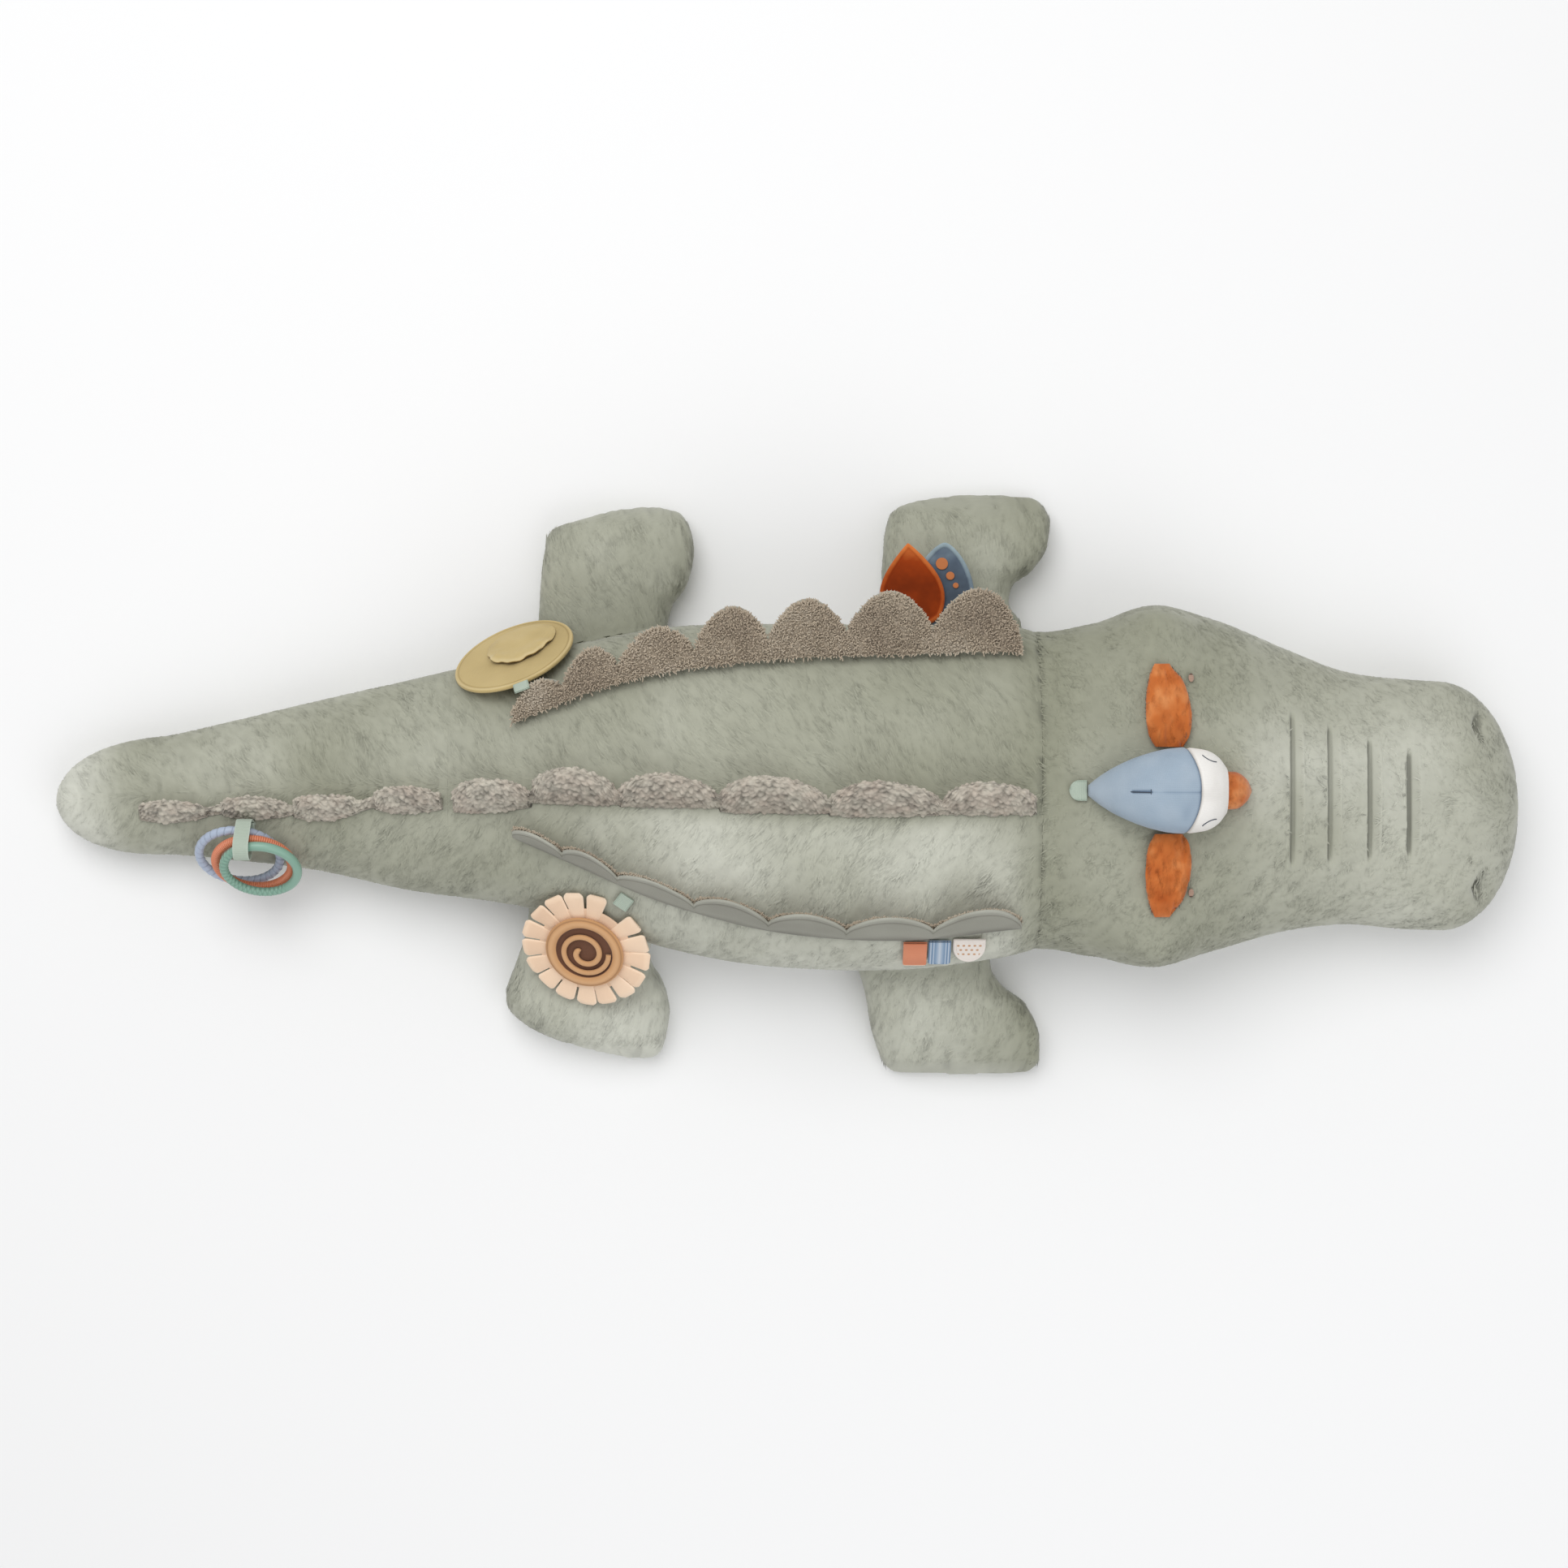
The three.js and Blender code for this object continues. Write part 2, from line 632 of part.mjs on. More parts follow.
// A small embroidered patch that lies on the skin.
function eyeStitch(side) {
  const x = placeAlong(eyeStitchShare.along);
  const y = sectionAt(x).side + side * eyeStitchShare.side * BODY_WIDTH;
  const step = EYE_STITCH_WIDTH / 2;
  const slopeX = (topOf(x + step, y) - topOf(x - step, y)) / (2 * step);
  const slopeY = (topOf(x, y + step) - topOf(x, y - step)) / (2 * step);
  const normal = new THREE.Vector3(-slopeX, -slopeY, 1).normalize();
  const lift = EYE_STITCH_THICKNESS / 2 + LAY_GAP;
  const geometry = mergeVertices(new THREE.SphereGeometry(1 / 2, SPHERE_COLUMNS, SPHERE_ROWS)
    .deleteAttribute("normal").deleteAttribute("uv")
    .scale(EYE_STITCH_WIDTH, EYE_STITCH_LENGTH, EYE_STITCH_THICKNESS));
  geometry.applyQuaternion(new THREE.Quaternion().setFromUnitVectors(new THREE.Vector3(0, 0, 1), normal));
  return geometry.translate(x + normal.x * lift, y + normal.y * lift, topOf(x, y) + normal.z * lift);
}

for (const [name, side] of [["eye_stitch_left", 1], ["eye_stitch_right", -1]])
  addPiece("head", name, eyeStitch(side), fabric(0x8f8078));

// Spine ridge: one run of stuffed scallops that lean to the toy's left.
function spineRidge(rows) {
  const ringList = [];
  rows.forEach(([from, to, side, height, thickness], n) => {
    const [start, end] = [placeAlong(from), placeAlong(to)];
    const joined = n > 0 && rows[n - 1][1] === from;
    for (let i = joined ? 1 : 0; i <= SPINE_STEPS; i += 1) {
      const share = i / SPINE_STEPS;
      const next = rows[n + 1];
      const open = (i === 0 && n === 0) || (i === SPINE_STEPS && !next);
      const inset = open ? (i ? -SPINE_END_GAP : SPINE_END_GAP) : 0;
      const x = start + (end - start) * share + inset;
      const swell = Math.sin(Math.PI * share) ** SPINE_SWELL;
      const blend = (valley) => valley + (1 - valley) * swell;
      const lift = SPINE_HEIGHT * height * blend(spineValleyShare);
      const half = (SPINE_THICKNESS / 2) * thickness * blend(spineValleyShare);
      const y0 = (side + (next && share > 0.5 ? (next[2] - side) * (share - 0.5) : 0)) * BODY_WIDTH;
      const arc = steps(0, Math.PI, SPINE_ARC_POINTS).map((angle) => {
        const up = lift * Math.sin(angle) ** SPINE_CROWN;
        const y = y0 + half * Math.cos(angle) + spineLeanShare * up;
        const z = Math.max(topOf(x, y0) + up, topOf(x, y)) + LAY_GAP;
        return new THREE.Vector3(x, y, z);
      });
      const under = new THREE.Vector3(x, y0, topOf(x, y0) + LAY_GAP);
      ringList.push([...arc, under]);
    }
  });
  return skinOf(ringList, middleOf(ringList[0]), middleOf(ringList.at(-1)));
}

addPiece("torso", "spine_ridge_back", spineRidge(spineBackShares), KNIT);
addPiece("tail", "spine_ridge_tail", spineRidge(spineTailShares), KNIT);

// One layer of a side ridge: a scalloped flap that stands on the seam and leans by an angle.
function ridgeLayer(side, lean, from, to) {
  const direction = new THREE.Vector3(0, side * Math.sin(toRadians(lean)), Math.cos(toRadians(lean)));
  const across = new THREE.Vector3(0, -side * direction.z, side * direction.y);
  const ringList = [];
  sideScallopShares.forEach(([start, end, height], n) => {
    for (let i = n ? 1 : 0; i <= SIDE_RIDGE_STEPS; i += 1) {
      const share = i / SIDE_RIDGE_STEPS;
      const place = start + (end - start) * share;
      const x = placeAlong(place);
      const y = sectionAt(x).side + side * smoothAt(sideSeamShares, place, 1) * BODY_WIDTH;
      const swell = Math.sin(Math.PI * share) ** SIDE_RIDGE_SWELL;
      const next = sideScallopShares[n + 1];
      const peak = height + (next && i === SIDE_RIDGE_STEPS ? (next[2] - height) / 2 : 0);
      const flap = SIDE_RIDGE_HEIGHT * peak * (sideValleyShare + (1 - sideValleyShare) * swell);
      const base = new THREE.Vector3(x, y, topOf(x, y) + LAY_GAP).addScaledVector(direction, SIDE_RIDGE_LIFT);
      const at = (up, out) => {
        const p = base.clone().addScaledVector(direction, up).addScaledVector(across, out);
        p.z = Math.max(p.z, topOf(x, p.y) + LAY_GAP);
        return p;
      };
      const crown = (to - from) * ridgeCrownShare;
      const outer = Math.abs(to) > Math.abs(from) ? to + crown : to;
      const inner = Math.abs(from) > Math.abs(to) ? from - crown : from;
      const soft = (to - from) / 4;
      ringList.push([
        at(0, from), at(0, to), at(flap / 2, outer), at(flap - Math.abs(soft), to - soft),
        at(flap, (from + to) / 2), at(flap - Math.abs(soft), from + soft), at(flap / 2, inner),
      ]);
    }
  });
  return skinOf(ringList, middleOf(ringList[0]), middleOf(ringList.at(-1)));
}

const ridges = [["ridge_left", 1, LEFT_RIDGE_LEAN], ["ridge_right", -1, RIGHT_RIDGE_LEAN]];
for (const [name, side, lean] of ridges) {
  const half = SEAM_GAP / 2;
  addPiece("torso", name + "_terry", ridgeLayer(side, lean, half, half + TERRY_THICKNESS), TERRY);
  addPiece("torso", name + "_cotton", ridgeLayer(side, lean, -half - COTTON_THICKNESS, -half), COTTON);
}

// Legs: stuffed clubs that lie on the floor and come out from under the flanks.
const grownTorso = solidOf(torsoSkin(SEAM_GAP));

function legRoot({ side, alongShare }) {
  const x = placeAlong(alongShare);
  const section = sectionAt(x);
  return new THREE.Vector3(x, section.side + side * (section.half - LEG_TUCK), 0);
}

function legSkin(leg) {
  const root = legRoot(leg);
  const outward = (share) => root.y + leg.side * share * LEG_LENGTH;
  const ringList = leg.rows.map(([out, rear, front, thick]) => {
    const height = thick * LEG_HEIGHT;
    const [middle, half] = [((rear + front) / 2) * LEG_WIDTH, ((front - rear) / 2) * LEG_WIDTH];
    return ringOf(LEG_AROUND, (angle) => {
      const up = signedPower(Math.sin(angle), 2 / LEG_FULLNESS);
      const across = signedPower(Math.cos(angle), 2 / LEG_FULLNESS);
      const reach = up < 0 ? MID_SHARE * height + BELLY_CUT : (1 - MID_SHARE) * height;
      const z = Math.max(MID_SHARE * height + reach * up, 0);
      return new THREE.Vector3(root.x + middle + half * across, outward(out), z);
    });
  });
  const [out, across, thick] = leg.tip;
  const tip = new THREE.Vector3(root.x + across * LEG_WIDTH, outward(out), thick * LEG_HEIGHT);
  return geometryOf(solidOf(skinOf(ringList, middleOf(ringList[0]), tip)).subtract(grownTorso));
}

for (const leg of legs) {
  const pivot = legRoot(leg);
  pivot.y += leg.side * (LEG_TUCK + SEAM_GAP);
  pivot.z = leg.rows[1][3] * LEG_HEIGHT + LEG_CREASE_SPARE;
  addBody(leg.name, "torso", pivot);
  addPiece(leg.name, leg.name, legSkin(leg), FUR);
}

// Bird: stuffed forms lofted along X that lie on the head
const birdX = (share) => placeAlong(birdStartShare) + share * BIRD_LENGTH;
const birdY = birdSideShare * BODY_WIDTH;

function birdRing(x, half, height) {
  const seat = topOf(x, birdY) + LAY_GAP;
  return ringOf(BIRD_AROUND, (angle) => {
    const y = birdY + half * signedPower(Math.cos(angle), 2 / BIRD_FULLNESS);
    const up = (1 + signedPower(Math.sin(angle), 2 / BIRD_FULLNESS)) / 2;
    return new THREE.Vector3(x, y, Math.max(seat + height * up, topOf(x, y) + LAY_GAP));
  });
}

function birdLoft(rows, startGap, tip) {
  const ringList = rows.map(([share, half, height], i) =>
    birdRing(birdX(share) + (i ? 0 : startGap), half * BIRD_WIDTH, height * BIRD_HEIGHT));
  const end = middleOf(ringList.at(-1));
  if (tip) end.x = birdX(tip);
  return skinOf(ringList, middleOf(ringList[0]), end);
}

// The bird turns about the top of the ribbon behind it.
const birdPivot = new THREE.Vector3(birdX(0), birdY, topOf(birdX(0), birdY) + 3 * LAY_GAP + RIBBON_THICKNESS);
addBody("bird", "head", birdPivot);
addPiece("bird", "bird_body", birdLoft(birdBodyShares, 0), fabric(0xa3b7cf, 0.9));
addPiece("bird", "bird_head", birdLoft(birdHeadShares, SEAM_GAP), fabric(0xeae6dd, 0.9));
addPiece("bird", "bird_beak", birdLoft(birdBeakShares, SEAM_GAP, beakTipShare), fabric(0xcf7a3c));

// A ribbon's end, folded over and sewn down, as a low box that lies on the skin.
function ribbonTab(x, y, length, width) {
  const seat = topOf(x, y) + LAY_GAP;
  return new THREE.BoxGeometry(length, width, RIBBON_THICKNESS)
    .translate(x, y, seat + RIBBON_THICKNESS / 2 + LAY_GAP);
}

addPiece("head", "bird_ribbon",
  ribbonTab(birdX(0) - RIBBON_WIDTH / 2 - SEAM_GAP, birdY, RIBBON_WIDTH, RIBBON_WIDTH), SAGE_RIBBON);

// Wings: flat stuffed leaves that lie on the head beside the bird.
function wingSkin(side) {
  const rootX = birdX(wingPlaceShare);
  const rootY = birdY + side * (BIRD_WIDTH / 2 + WING_ROOT_GAP);
  const outward = (share) => rootY + side * share * WING_LENGTH;
  const ringList = birdWingRows.map(([out, rear, front, thick]) => {
    const middle = ((rear + front) / 2) * WING_WIDTH;
    const half = ((front - rear) / 2) * WING_WIDTH;
    return ringOf(WING_AROUND, (angle) => {
      const x = rootX + middle + half * Math.cos(angle);
      const up = (1 + signedPower(Math.sin(angle), 2 / WING_FULLNESS)) / 2;
      const y = outward(out);
      return new THREE.Vector3(x, y, topOf(x, y) + SEAM_GAP + up * thick * WING_THICKNESS);
    });
  });
  const tipX = rootX + wingTipAcrossShare * WING_WIDTH;
  const tipY = outward(wingTipShare);
  const tipZ = topOf(tipX, tipY) + SEAM_GAP + WING_THICKNESS * wingTipHeightShare;
  return skinOf(ringList, middleOf(ringList[0]), new THREE.Vector3(tipX, tipY, tipZ));
}

for (const [name, side] of [["bird_wing_left", 1], ["bird_wing_right", -1]]) {
  const x = birdX(wingPlaceShare);
  const y = birdY + side * (BIRD_WIDTH / 2 + WING_ROOT_GAP);
  addBody(name, "bird", new THREE.Vector3(x, y, topOf(x, y) + WING_THICKNESS + SEAM_GAP));
  addPiece(name, name, wingSkin(side), fabric(0xcf7a3c));
}

// Rings on the tail. They lie in parallel planes that follow the near slope, and pass one ribbon loop.
const ringX = placeAlong(ringAlongShare);
const ringNormal = new THREE.Vector3(0, -Math.sin(toRadians(RING_TILT)), Math.cos(toRadians(RING_TILT)));
const ringDown = new THREE.Vector3(0, -ringNormal.z, ringNormal.y);
const ringPitch = RING_TUBE + RING_CLEARANCE;
const tubeRadius = RING_TUBE / 2;

function ringCentre(ring, passing, n) {
  const radius = (ring.diameter - RING_TUBE) / 2;
  const turn = toRadians(ring.turn);
  return passing.clone().addScaledVector(ringNormal, n * ringPitch)
    .addScaledVector(ringDown, radius * Math.cos(turn))
    .add(new THREE.Vector3(radius * Math.sin(turn), 0, 0));
}

// How high the ribbon holds the lowest ring, so that it just clears the tail all round.
function ringPassing() {
  const y = ringSideShare * BODY_WIDTH;
  const ring = rings[0];
  const radius = (ring.diameter - RING_TUBE) / 2;
  const level = ringCentre(ring, new THREE.Vector3(ringX, y, 0), 0);
  let lift = 0;
  for (const angle of steps(0, 2 * Math.PI, 4 * RING_SEGMENTS)) {
    const p = level.clone().addScaledVector(ringDown, radius * Math.cos(angle))
      .add(new THREE.Vector3(radius * Math.sin(angle), 0, 0));
    const section = sectionAt(p.x);
    for (const out of [-1, 0, 1]) {
      const edge = p.y + (out * tubeRadius) / 2;
      if (Math.abs(edge - section.side) < section.half)
        lift = Math.max(lift, topOf(p.x, edge) + tubeRadius + 2 * LAY_GAP - p.z);
    }
  }
  return new THREE.Vector3(ringX, y, lift);
}

const passing = ringPassing();
const ringSweep = Math.max(...rings.map(({ turn, diameter }) => {
  const half = RIBBON_WIDTH / 2;
  return half * Math.abs(Math.tan(toRadians(turn))) + half ** 2 / (diameter - RING_TUBE);
}));
const loopHalf = tubeRadius + 2 * RING_CLEARANCE + ringSweep;
const loopEnd = (rings.length - 1) * ringPitch;

// The ribbon: a long loop round the three tubes, seen along X, with its foot on the tail.
function ringRibbon() {
  const outline = (half) => {
    const shape = new THREE.Path();
    shape.absarc(0, 0, half, Math.PI, 2 * Math.PI, false);
    shape.absarc(0, loopEnd, half, 0, Math.PI, false);
    shape.closePath();
    return shape;
  };
  const shape = new THREE.Shape(outline(loopHalf + RIBBON_THICKNESS).getPoints(LOOP_ARC_POINTS));
  shape.holes.push(new THREE.Path(outline(loopHalf).getPoints(LOOP_ARC_POINTS)));
  const geometry = new THREE.ExtrudeGeometry(shape, { depth: RIBBON_WIDTH, bevelEnabled: false });
  geometry.translate(0, 0, -RIBBON_WIDTH / 2);
  const lengthwise = new THREE.Vector3(1, 0, 0);
  geometry.applyMatrix4(new THREE.Matrix4().makeBasis(ringDown.clone().negate(), ringNormal, lengthwise))
    .translate(passing.x, passing.y, passing.z);
  const foot = passing.clone().addScaledVector(ringNormal, -loopHalf - RIBBON_THICKNESS / 2);
  const footY = foot.y - RIBBON_THICKNESS;
  const from = new THREE.Vector3(ringX, footY, topOf(ringX, footY) + LAY_GAP + RIBBON_THICKNESS / 2);
  const stem = new THREE.BoxGeometry(RIBBON_WIDTH, RIBBON_THICKNESS, 1);
  stem.scale(1, 1, from.distanceTo(foot));
  stem.applyQuaternion(new THREE.Quaternion().setFromUnitVectors(
    new THREE.Vector3(0, 0, 1), foot.clone().sub(from).normalize()));
  const middle = from.clone().add(foot).divideScalar(2);
  stem.translate(middle.x, middle.y, middle.z);
  return { geometry: geometryOf(solidOf(geometry).add(solidOf(stem))), from };
}

const ribbon = ringRibbon();
addBody("ring_ribbon", "tail", ribbon.from);
addPiece("ring_ribbon", "ring_ribbon", ribbon.geometry, SAGE_RIBBON);
rings.forEach((ring, n) => {
  const centre = ringCentre(ring, passing, n);
  const radius = (ring.diameter - RING_TUBE) / 2;
  const geometry = new THREE.TorusGeometry(radius, tubeRadius, RING_SIDES, RING_SEGMENTS);
  geometry.applyQuaternion(new THREE.Quaternion().setFromUnitVectors(new THREE.Vector3(0, 0, 1), ringNormal));
  geometry.translate(centre.x, centre.y, centre.z);
  addBody(ring.name, "ring_ribbon", centre);
  addPiece(ring.name, ring.name, geometry, fabric(ring.colour, 0.45));
});

// A place and tilt on a flank, seated so that a disc there just clears the skin: the piece's own +Z faces
// out of the flank and its +Y points down the slope.
function flankFrame(share, side, tilt, turn, diameter) {
  const x = placeAlong(share.along);
  const y = sectionAt(x).side + share.side * BODY_WIDTH;
  const middle = sectionAt(x);
  const flankY = middle.side + side * flankLevelShare * middle.half;
  const step = diameter / 2;
  const slopeX = (topOf(x + step, flankY) - topOf(x - step, flankY)) / (2 * step);
  const slopeY = (topOf(x, flankY + SEAM_GAP) - topOf(x, flankY - SEAM_GAP)) / (2 * SEAM_GAP);
  const yaw = Math.atan(-slopeX / slopeY);
  const frame = new THREE.Matrix4()
    .makeTranslation(x, y, 0)
    .multiply(new THREE.Matrix4().makeRotationZ(yaw))
    .multiply(new THREE.Matrix4().makeRotationX(-side * toRadians(tilt)))
    .multiply(new THREE.Matrix4().makeRotationZ(toRadians(turn) + (side < 0 ? Math.PI : 0)));
  let lift = 0;
  for (const share of steps(0, 1, SEAT_RINGS)) {
    for (const angle of steps(0, 2 * Math.PI, DISC_SIDES)) {
      const reach = (share * diameter) / 2;
      const p = new THREE.Vector3(reach * Math.cos(angle), reach * Math.sin(angle), 0).applyMatrix4(frame);
      const section = sectionAt(p.x);
      if (Math.abs(p.y - section.side) < section.half)
        lift = Math.max(lift, topOf(p.x, p.y) + LAY_GAP - p.z);
    }
  }
  return new THREE.Matrix4().makeTranslation(0, 0, lift).multiply(frame);
}

// The ribbon that holds a disc at its upper edge.
function edgeRibbon(diameter, thickness, frame) {
  const up = thickness - RIBBON_THICKNESS / 2 - SEAM_GAP;
  return new THREE.BoxGeometry(RIBBON_WIDTH, EDGE_RIBBON_LENGTH, RIBBON_THICKNESS)
    .translate(0, -(diameter + EDGE_RIBBON_LENGTH) / 2 - SEAM_GAP, up)
    .applyMatrix4(frame);
}

const flatDisc = (diameter, thickness, sides) =>
  new THREE.CylinderGeometry(diameter / 2, diameter / 2, thickness, sides)
    .rotateX(Math.PI / 2).translate(0, 0, thickness / 2);

// Flower: petals cut as tabs from one layer, a dished disc and a raised spiral on it.
function petalLayer() {
  const shape = new THREE.Shape();
  const outer = FLOWER_DIAMETER / 2;
  const pitch = (2 * Math.PI) / FLOWER_PETALS;
  for (let i = 0; i < FLOWER_PETALS; i += 1) {
    const start = -Math.PI / 2 + i * pitch + petalGapShare * pitch;
    const width = pitch * (1 - 2 * petalGapShare);
    for (const [share, out] of [[0, petalNotchShare], ...petalCornerShares, [1, petalNotchShare]]) {
      const angle = start + share * width;
      const [px, py] = [outer * out * Math.cos(angle), outer * out * Math.sin(angle)];
      if (i === 0 && share === 0) shape.moveTo(px, py);
      else shape.lineTo(px, py);
    }
  }
  shape.closePath();
  return new THREE.ExtrudeGeometry(shape, { depth: PETAL_THICKNESS, bevelEnabled: false });
}

function flowerDisc() {
  const outer = FLOWER_DISC_DIAMETER / 2;
  const rim = FLOWER_RIM_THICKNESS;
  const profile = [
    [0, 0], [outer, 0], [outer, rim], [outer - rim, FLOWER_DISC_THICKNESS],
    [outer - 2 * rim, FLOWER_DISC_THICKNESS], [outer - 3 * rim, rim], [0, rim],
  ].map(([r, z]) => new THREE.Vector2(r, z));
  const turned = new THREE.LatheGeometry(profile, DISC_SIDES).rotateX(Math.PI / 2);
  return facingOut(mergeVertices(turned.deleteAttribute("normal").deleteAttribute("uv")));
}

function spiralBand() {
  const outer = FLOWER_DISC_DIAMETER / 2 - 3 * FLOWER_RIM_THICKNESS - SPIRAL_BAND / 2 - SEAM_GAP;
  const at = (share, offset) => {
    const angle = share * SPIRAL_TURNS * 2 * Math.PI;
    const radius = SPIRAL_INNER + (outer - SPIRAL_INNER) * share ** SPIRAL_OPENING + offset;
    return new THREE.Vector2(radius * Math.cos(angle), radius * Math.sin(angle));
  };
  const places = steps(0, 1, SPIRAL_STEPS);
  const taper = (share) => (SPIRAL_BAND / 2) * (1 - spiralTaperShare * share);
  const points = [
    ...places.map((share) => at(share, taper(share))),
    ...places.reverse().map((share) => at(share, -taper(share))),
  ];
  return new THREE.ExtrudeGeometry(new THREE.Shape(points), { depth: SPIRAL_THICKNESS, bevelEnabled: false });
}

const flowerFrame = flankFrame(flowerShare, -1, FLOWER_TILT, FLOWER_TURN, FLOWER_DIAMETER);
const flowerPivot = new THREE.Vector3(0, -FLOWER_DIAMETER / 2 - RIBBON_WIDTH / 2, PETAL_THICKNESS);
addBody("flower", "torso", flowerPivot.applyMatrix4(flowerFrame));
addPiece("flower", "flower_petals", petalLayer().applyMatrix4(flowerFrame), fabric(0xe6bf9b, 0.9));
addPiece("flower", "flower_disc",
  flowerDisc().translate(0, 0, PETAL_THICKNESS + SEAM_GAP).applyMatrix4(flowerFrame), fabric(0xc99a66, 0.9));
const spiralSeat = PETAL_THICKNESS + FLOWER_RIM_THICKNESS + 2 * SEAM_GAP;
addPiece("flower", "flower_spiral",
  spiralBand().translate(0, 0, spiralSeat).applyMatrix4(flowerFrame), fabric(0xb98a5e, 0.9));
addPiece("torso", "flower_ribbon", edgeRibbon(FLOWER_DIAMETER, PETAL_THICKNESS, flowerFrame), SAGE_RIBBON);

// Yellow disc with its round flap
const padFrame = flankFrame(padShare, 1, PAD_TILT, PAD_TURN, PAD_DIAMETER);
const padPoint = (across, out, up) => new THREE.Vector3(across, out, up).applyMatrix4(padFrame);
const flapX = flapOffsetShare.along * PAD_DIAMETER;
const flapY = flapOffsetShare.out * PAD_DIAMETER;
addBody("disc", "torso", padPoint(0, -PAD_DIAMETER / 2 - RIBBON_WIDTH / 2, PAD_THICKNESS));
addPiece("disc", "disc_pad",
  flatDisc(PAD_DIAMETER, PAD_THICKNESS, DISC_SIDES).applyMatrix4(padFrame), fabric(0xcdb46e, 0.9));
addPiece("torso", "disc_ribbon", edgeRibbon(PAD_DIAMETER, PAD_THICKNESS, padFrame), SAGE_RIBBON);
addBody("disc_flap", "disc", padPoint(flapX, flapY + FLAP_DIAMETER / 2, PAD_THICKNESS + SEAM_GAP));
addPiece("disc_flap", "disc_flap",
  flatDisc(FLAP_DIAMETER, FLAP_THICKNESS, DISC_SIDES)
    .translate(flapX, flapY, PAD_THICKNESS + SEAM_GAP).applyMatrix4(padFrame), fabric(0xcdb46e, 0.9));

// Leaves: outlines from a formula, a pointed one and a blunt one, side by side at the flank.
function leafShape({ belly, fullness }) {
  const edge = (share) => {
    const swell = Math.sin(Math.PI * share ** belly) ** fullness;
    return LEAF_ROOT_WIDTH / 2 * (1 - share) + (LEAF_WIDTH / 2 - LEAF_ROOT_WIDTH / 4) * swell;
  };
  const places = steps(0, 1, LEAF_STEPS + 1).slice(0, -1);
  const points = [
    ...places.map((share) => new THREE.Vector2(edge(share), share * LEAF_LENGTH)),
    new THREE.Vector2(0, LEAF_LENGTH),
    ...places.reverse().map((share) => new THREE.Vector2(-edge(share), share * LEAF_LENGTH)),
  ];
  return new THREE.ExtrudeGeometry(new THREE.Shape(points), { depth: LEAF_THICKNESS, bevelEnabled: false });
}

// The rust leaf lies on the blue one and rises with it.
const leaves = [
  { name: "leaf_blue", parent: "torso", along: 0.6058, outline: bluntLeaf, turn: -3, level: 0, colour: 0x7d93ab },
  { name: "leaf_rust", parent: "leaf_blue", along: 0.5871, outline: pointedLeaf, turn: 4, level: 1, colour: 0xa9542b },
];

function leafFrame(leaf) {
  const x = placeAlong(leaf.along);
  const { side, half, mid } = sectionAt(x);
  return new THREE.Matrix4()
    .makeTranslation(x, side + half + LEAF_ROOT_GAP, mid + LEAF_RISE + LEAF_SPACING * leaf.level)
    .multiply(new THREE.Matrix4().makeRotationX(-toRadians(LEAF_SLOPE)))
    .multiply(new THREE.Matrix4().makeRotationZ(toRadians(leaf.turn)));
}

for (const leaf of leaves) {
  const frame = leafFrame(leaf);
  addBody(leaf.name, leaf.parent, new THREE.Vector3(0, 0, LEAF_THICKNESS).applyMatrix4(frame));
  addPiece(leaf.name, leaf.name, leafShape(leaf.outline).applyMatrix4(frame), fabric(leaf.colour));
}

const blueFrame = leafFrame(leaves[0]);
DOT_DIAMETERS.forEach((diameter, n) => {
  const geometry = flatDisc(diameter, DOT_THICKNESS, DOT_SIDES)
    .translate(dotAsideShares[n] * LEAF_WIDTH, dotPlaceShares[n] * LEAF_LENGTH, LEAF_THICKNESS + DOT_GAP)
    .applyMatrix4(blueFrame);
  addPiece("leaf_blue", "leaf_dot_" + (n + 1), geometry, fabric(0xc98a63));
});

// Tags: folded ribbons that hang from the right ridge's seam over the flank.
function tagShape({ width, round }) {
  const shape = new THREE.Shape();
  const half = width / 2;
  shape.moveTo(-half, 0);
  shape.lineTo(half, 0);
  if (round) {
    const straight = TAG_LENGTH * tagStraightShare;
    shape.absellipse(0, straight, half, TAG_LENGTH - straight, 0, Math.PI, false);
  } else {
    shape.absarc(half - TAG_CORNER, TAG_LENGTH - TAG_CORNER, TAG_CORNER, 0, Math.PI / 2, false);
    shape.absarc(TAG_CORNER - half, TAG_LENGTH - TAG_CORNER, TAG_CORNER, Math.PI / 2, Math.PI, false);
  }
  shape.closePath();
  const options = { depth: TAG_THICKNESS, bevelEnabled: false, curveSegments: TAG_CURVE_STEPS };
  return new THREE.ExtrudeGeometry(shape, options);
}

for (const tag of tags) {
  const x = placeAlong(tag.alongShare);
  const y = sectionAt(x).side + tagSideShare * BODY_WIDTH;
  const frame = new THREE.Matrix4()
    .makeTranslation(x, y - TAG_TUCK, topOf(x, y) + TAG_LIFT)
    .multiply(new THREE.Matrix4().makeRotationX(toRadians(TAG_SLOPE)))
    .multiply(new THREE.Matrix4().makeRotationZ(Math.PI));
  addBody(tag.name, "torso", new THREE.Vector3(0, 0, TAG_THICKNESS).applyMatrix4(frame));
  addPiece(tag.name, tag.name, tagShape(tag).applyMatrix4(frame), fabric(tag.colour, 0.9));
}

export default crocodile;
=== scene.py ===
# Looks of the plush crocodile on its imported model. Metres: +X runs to the snout, +Y to the toy's left, +Z up.
import json
import math

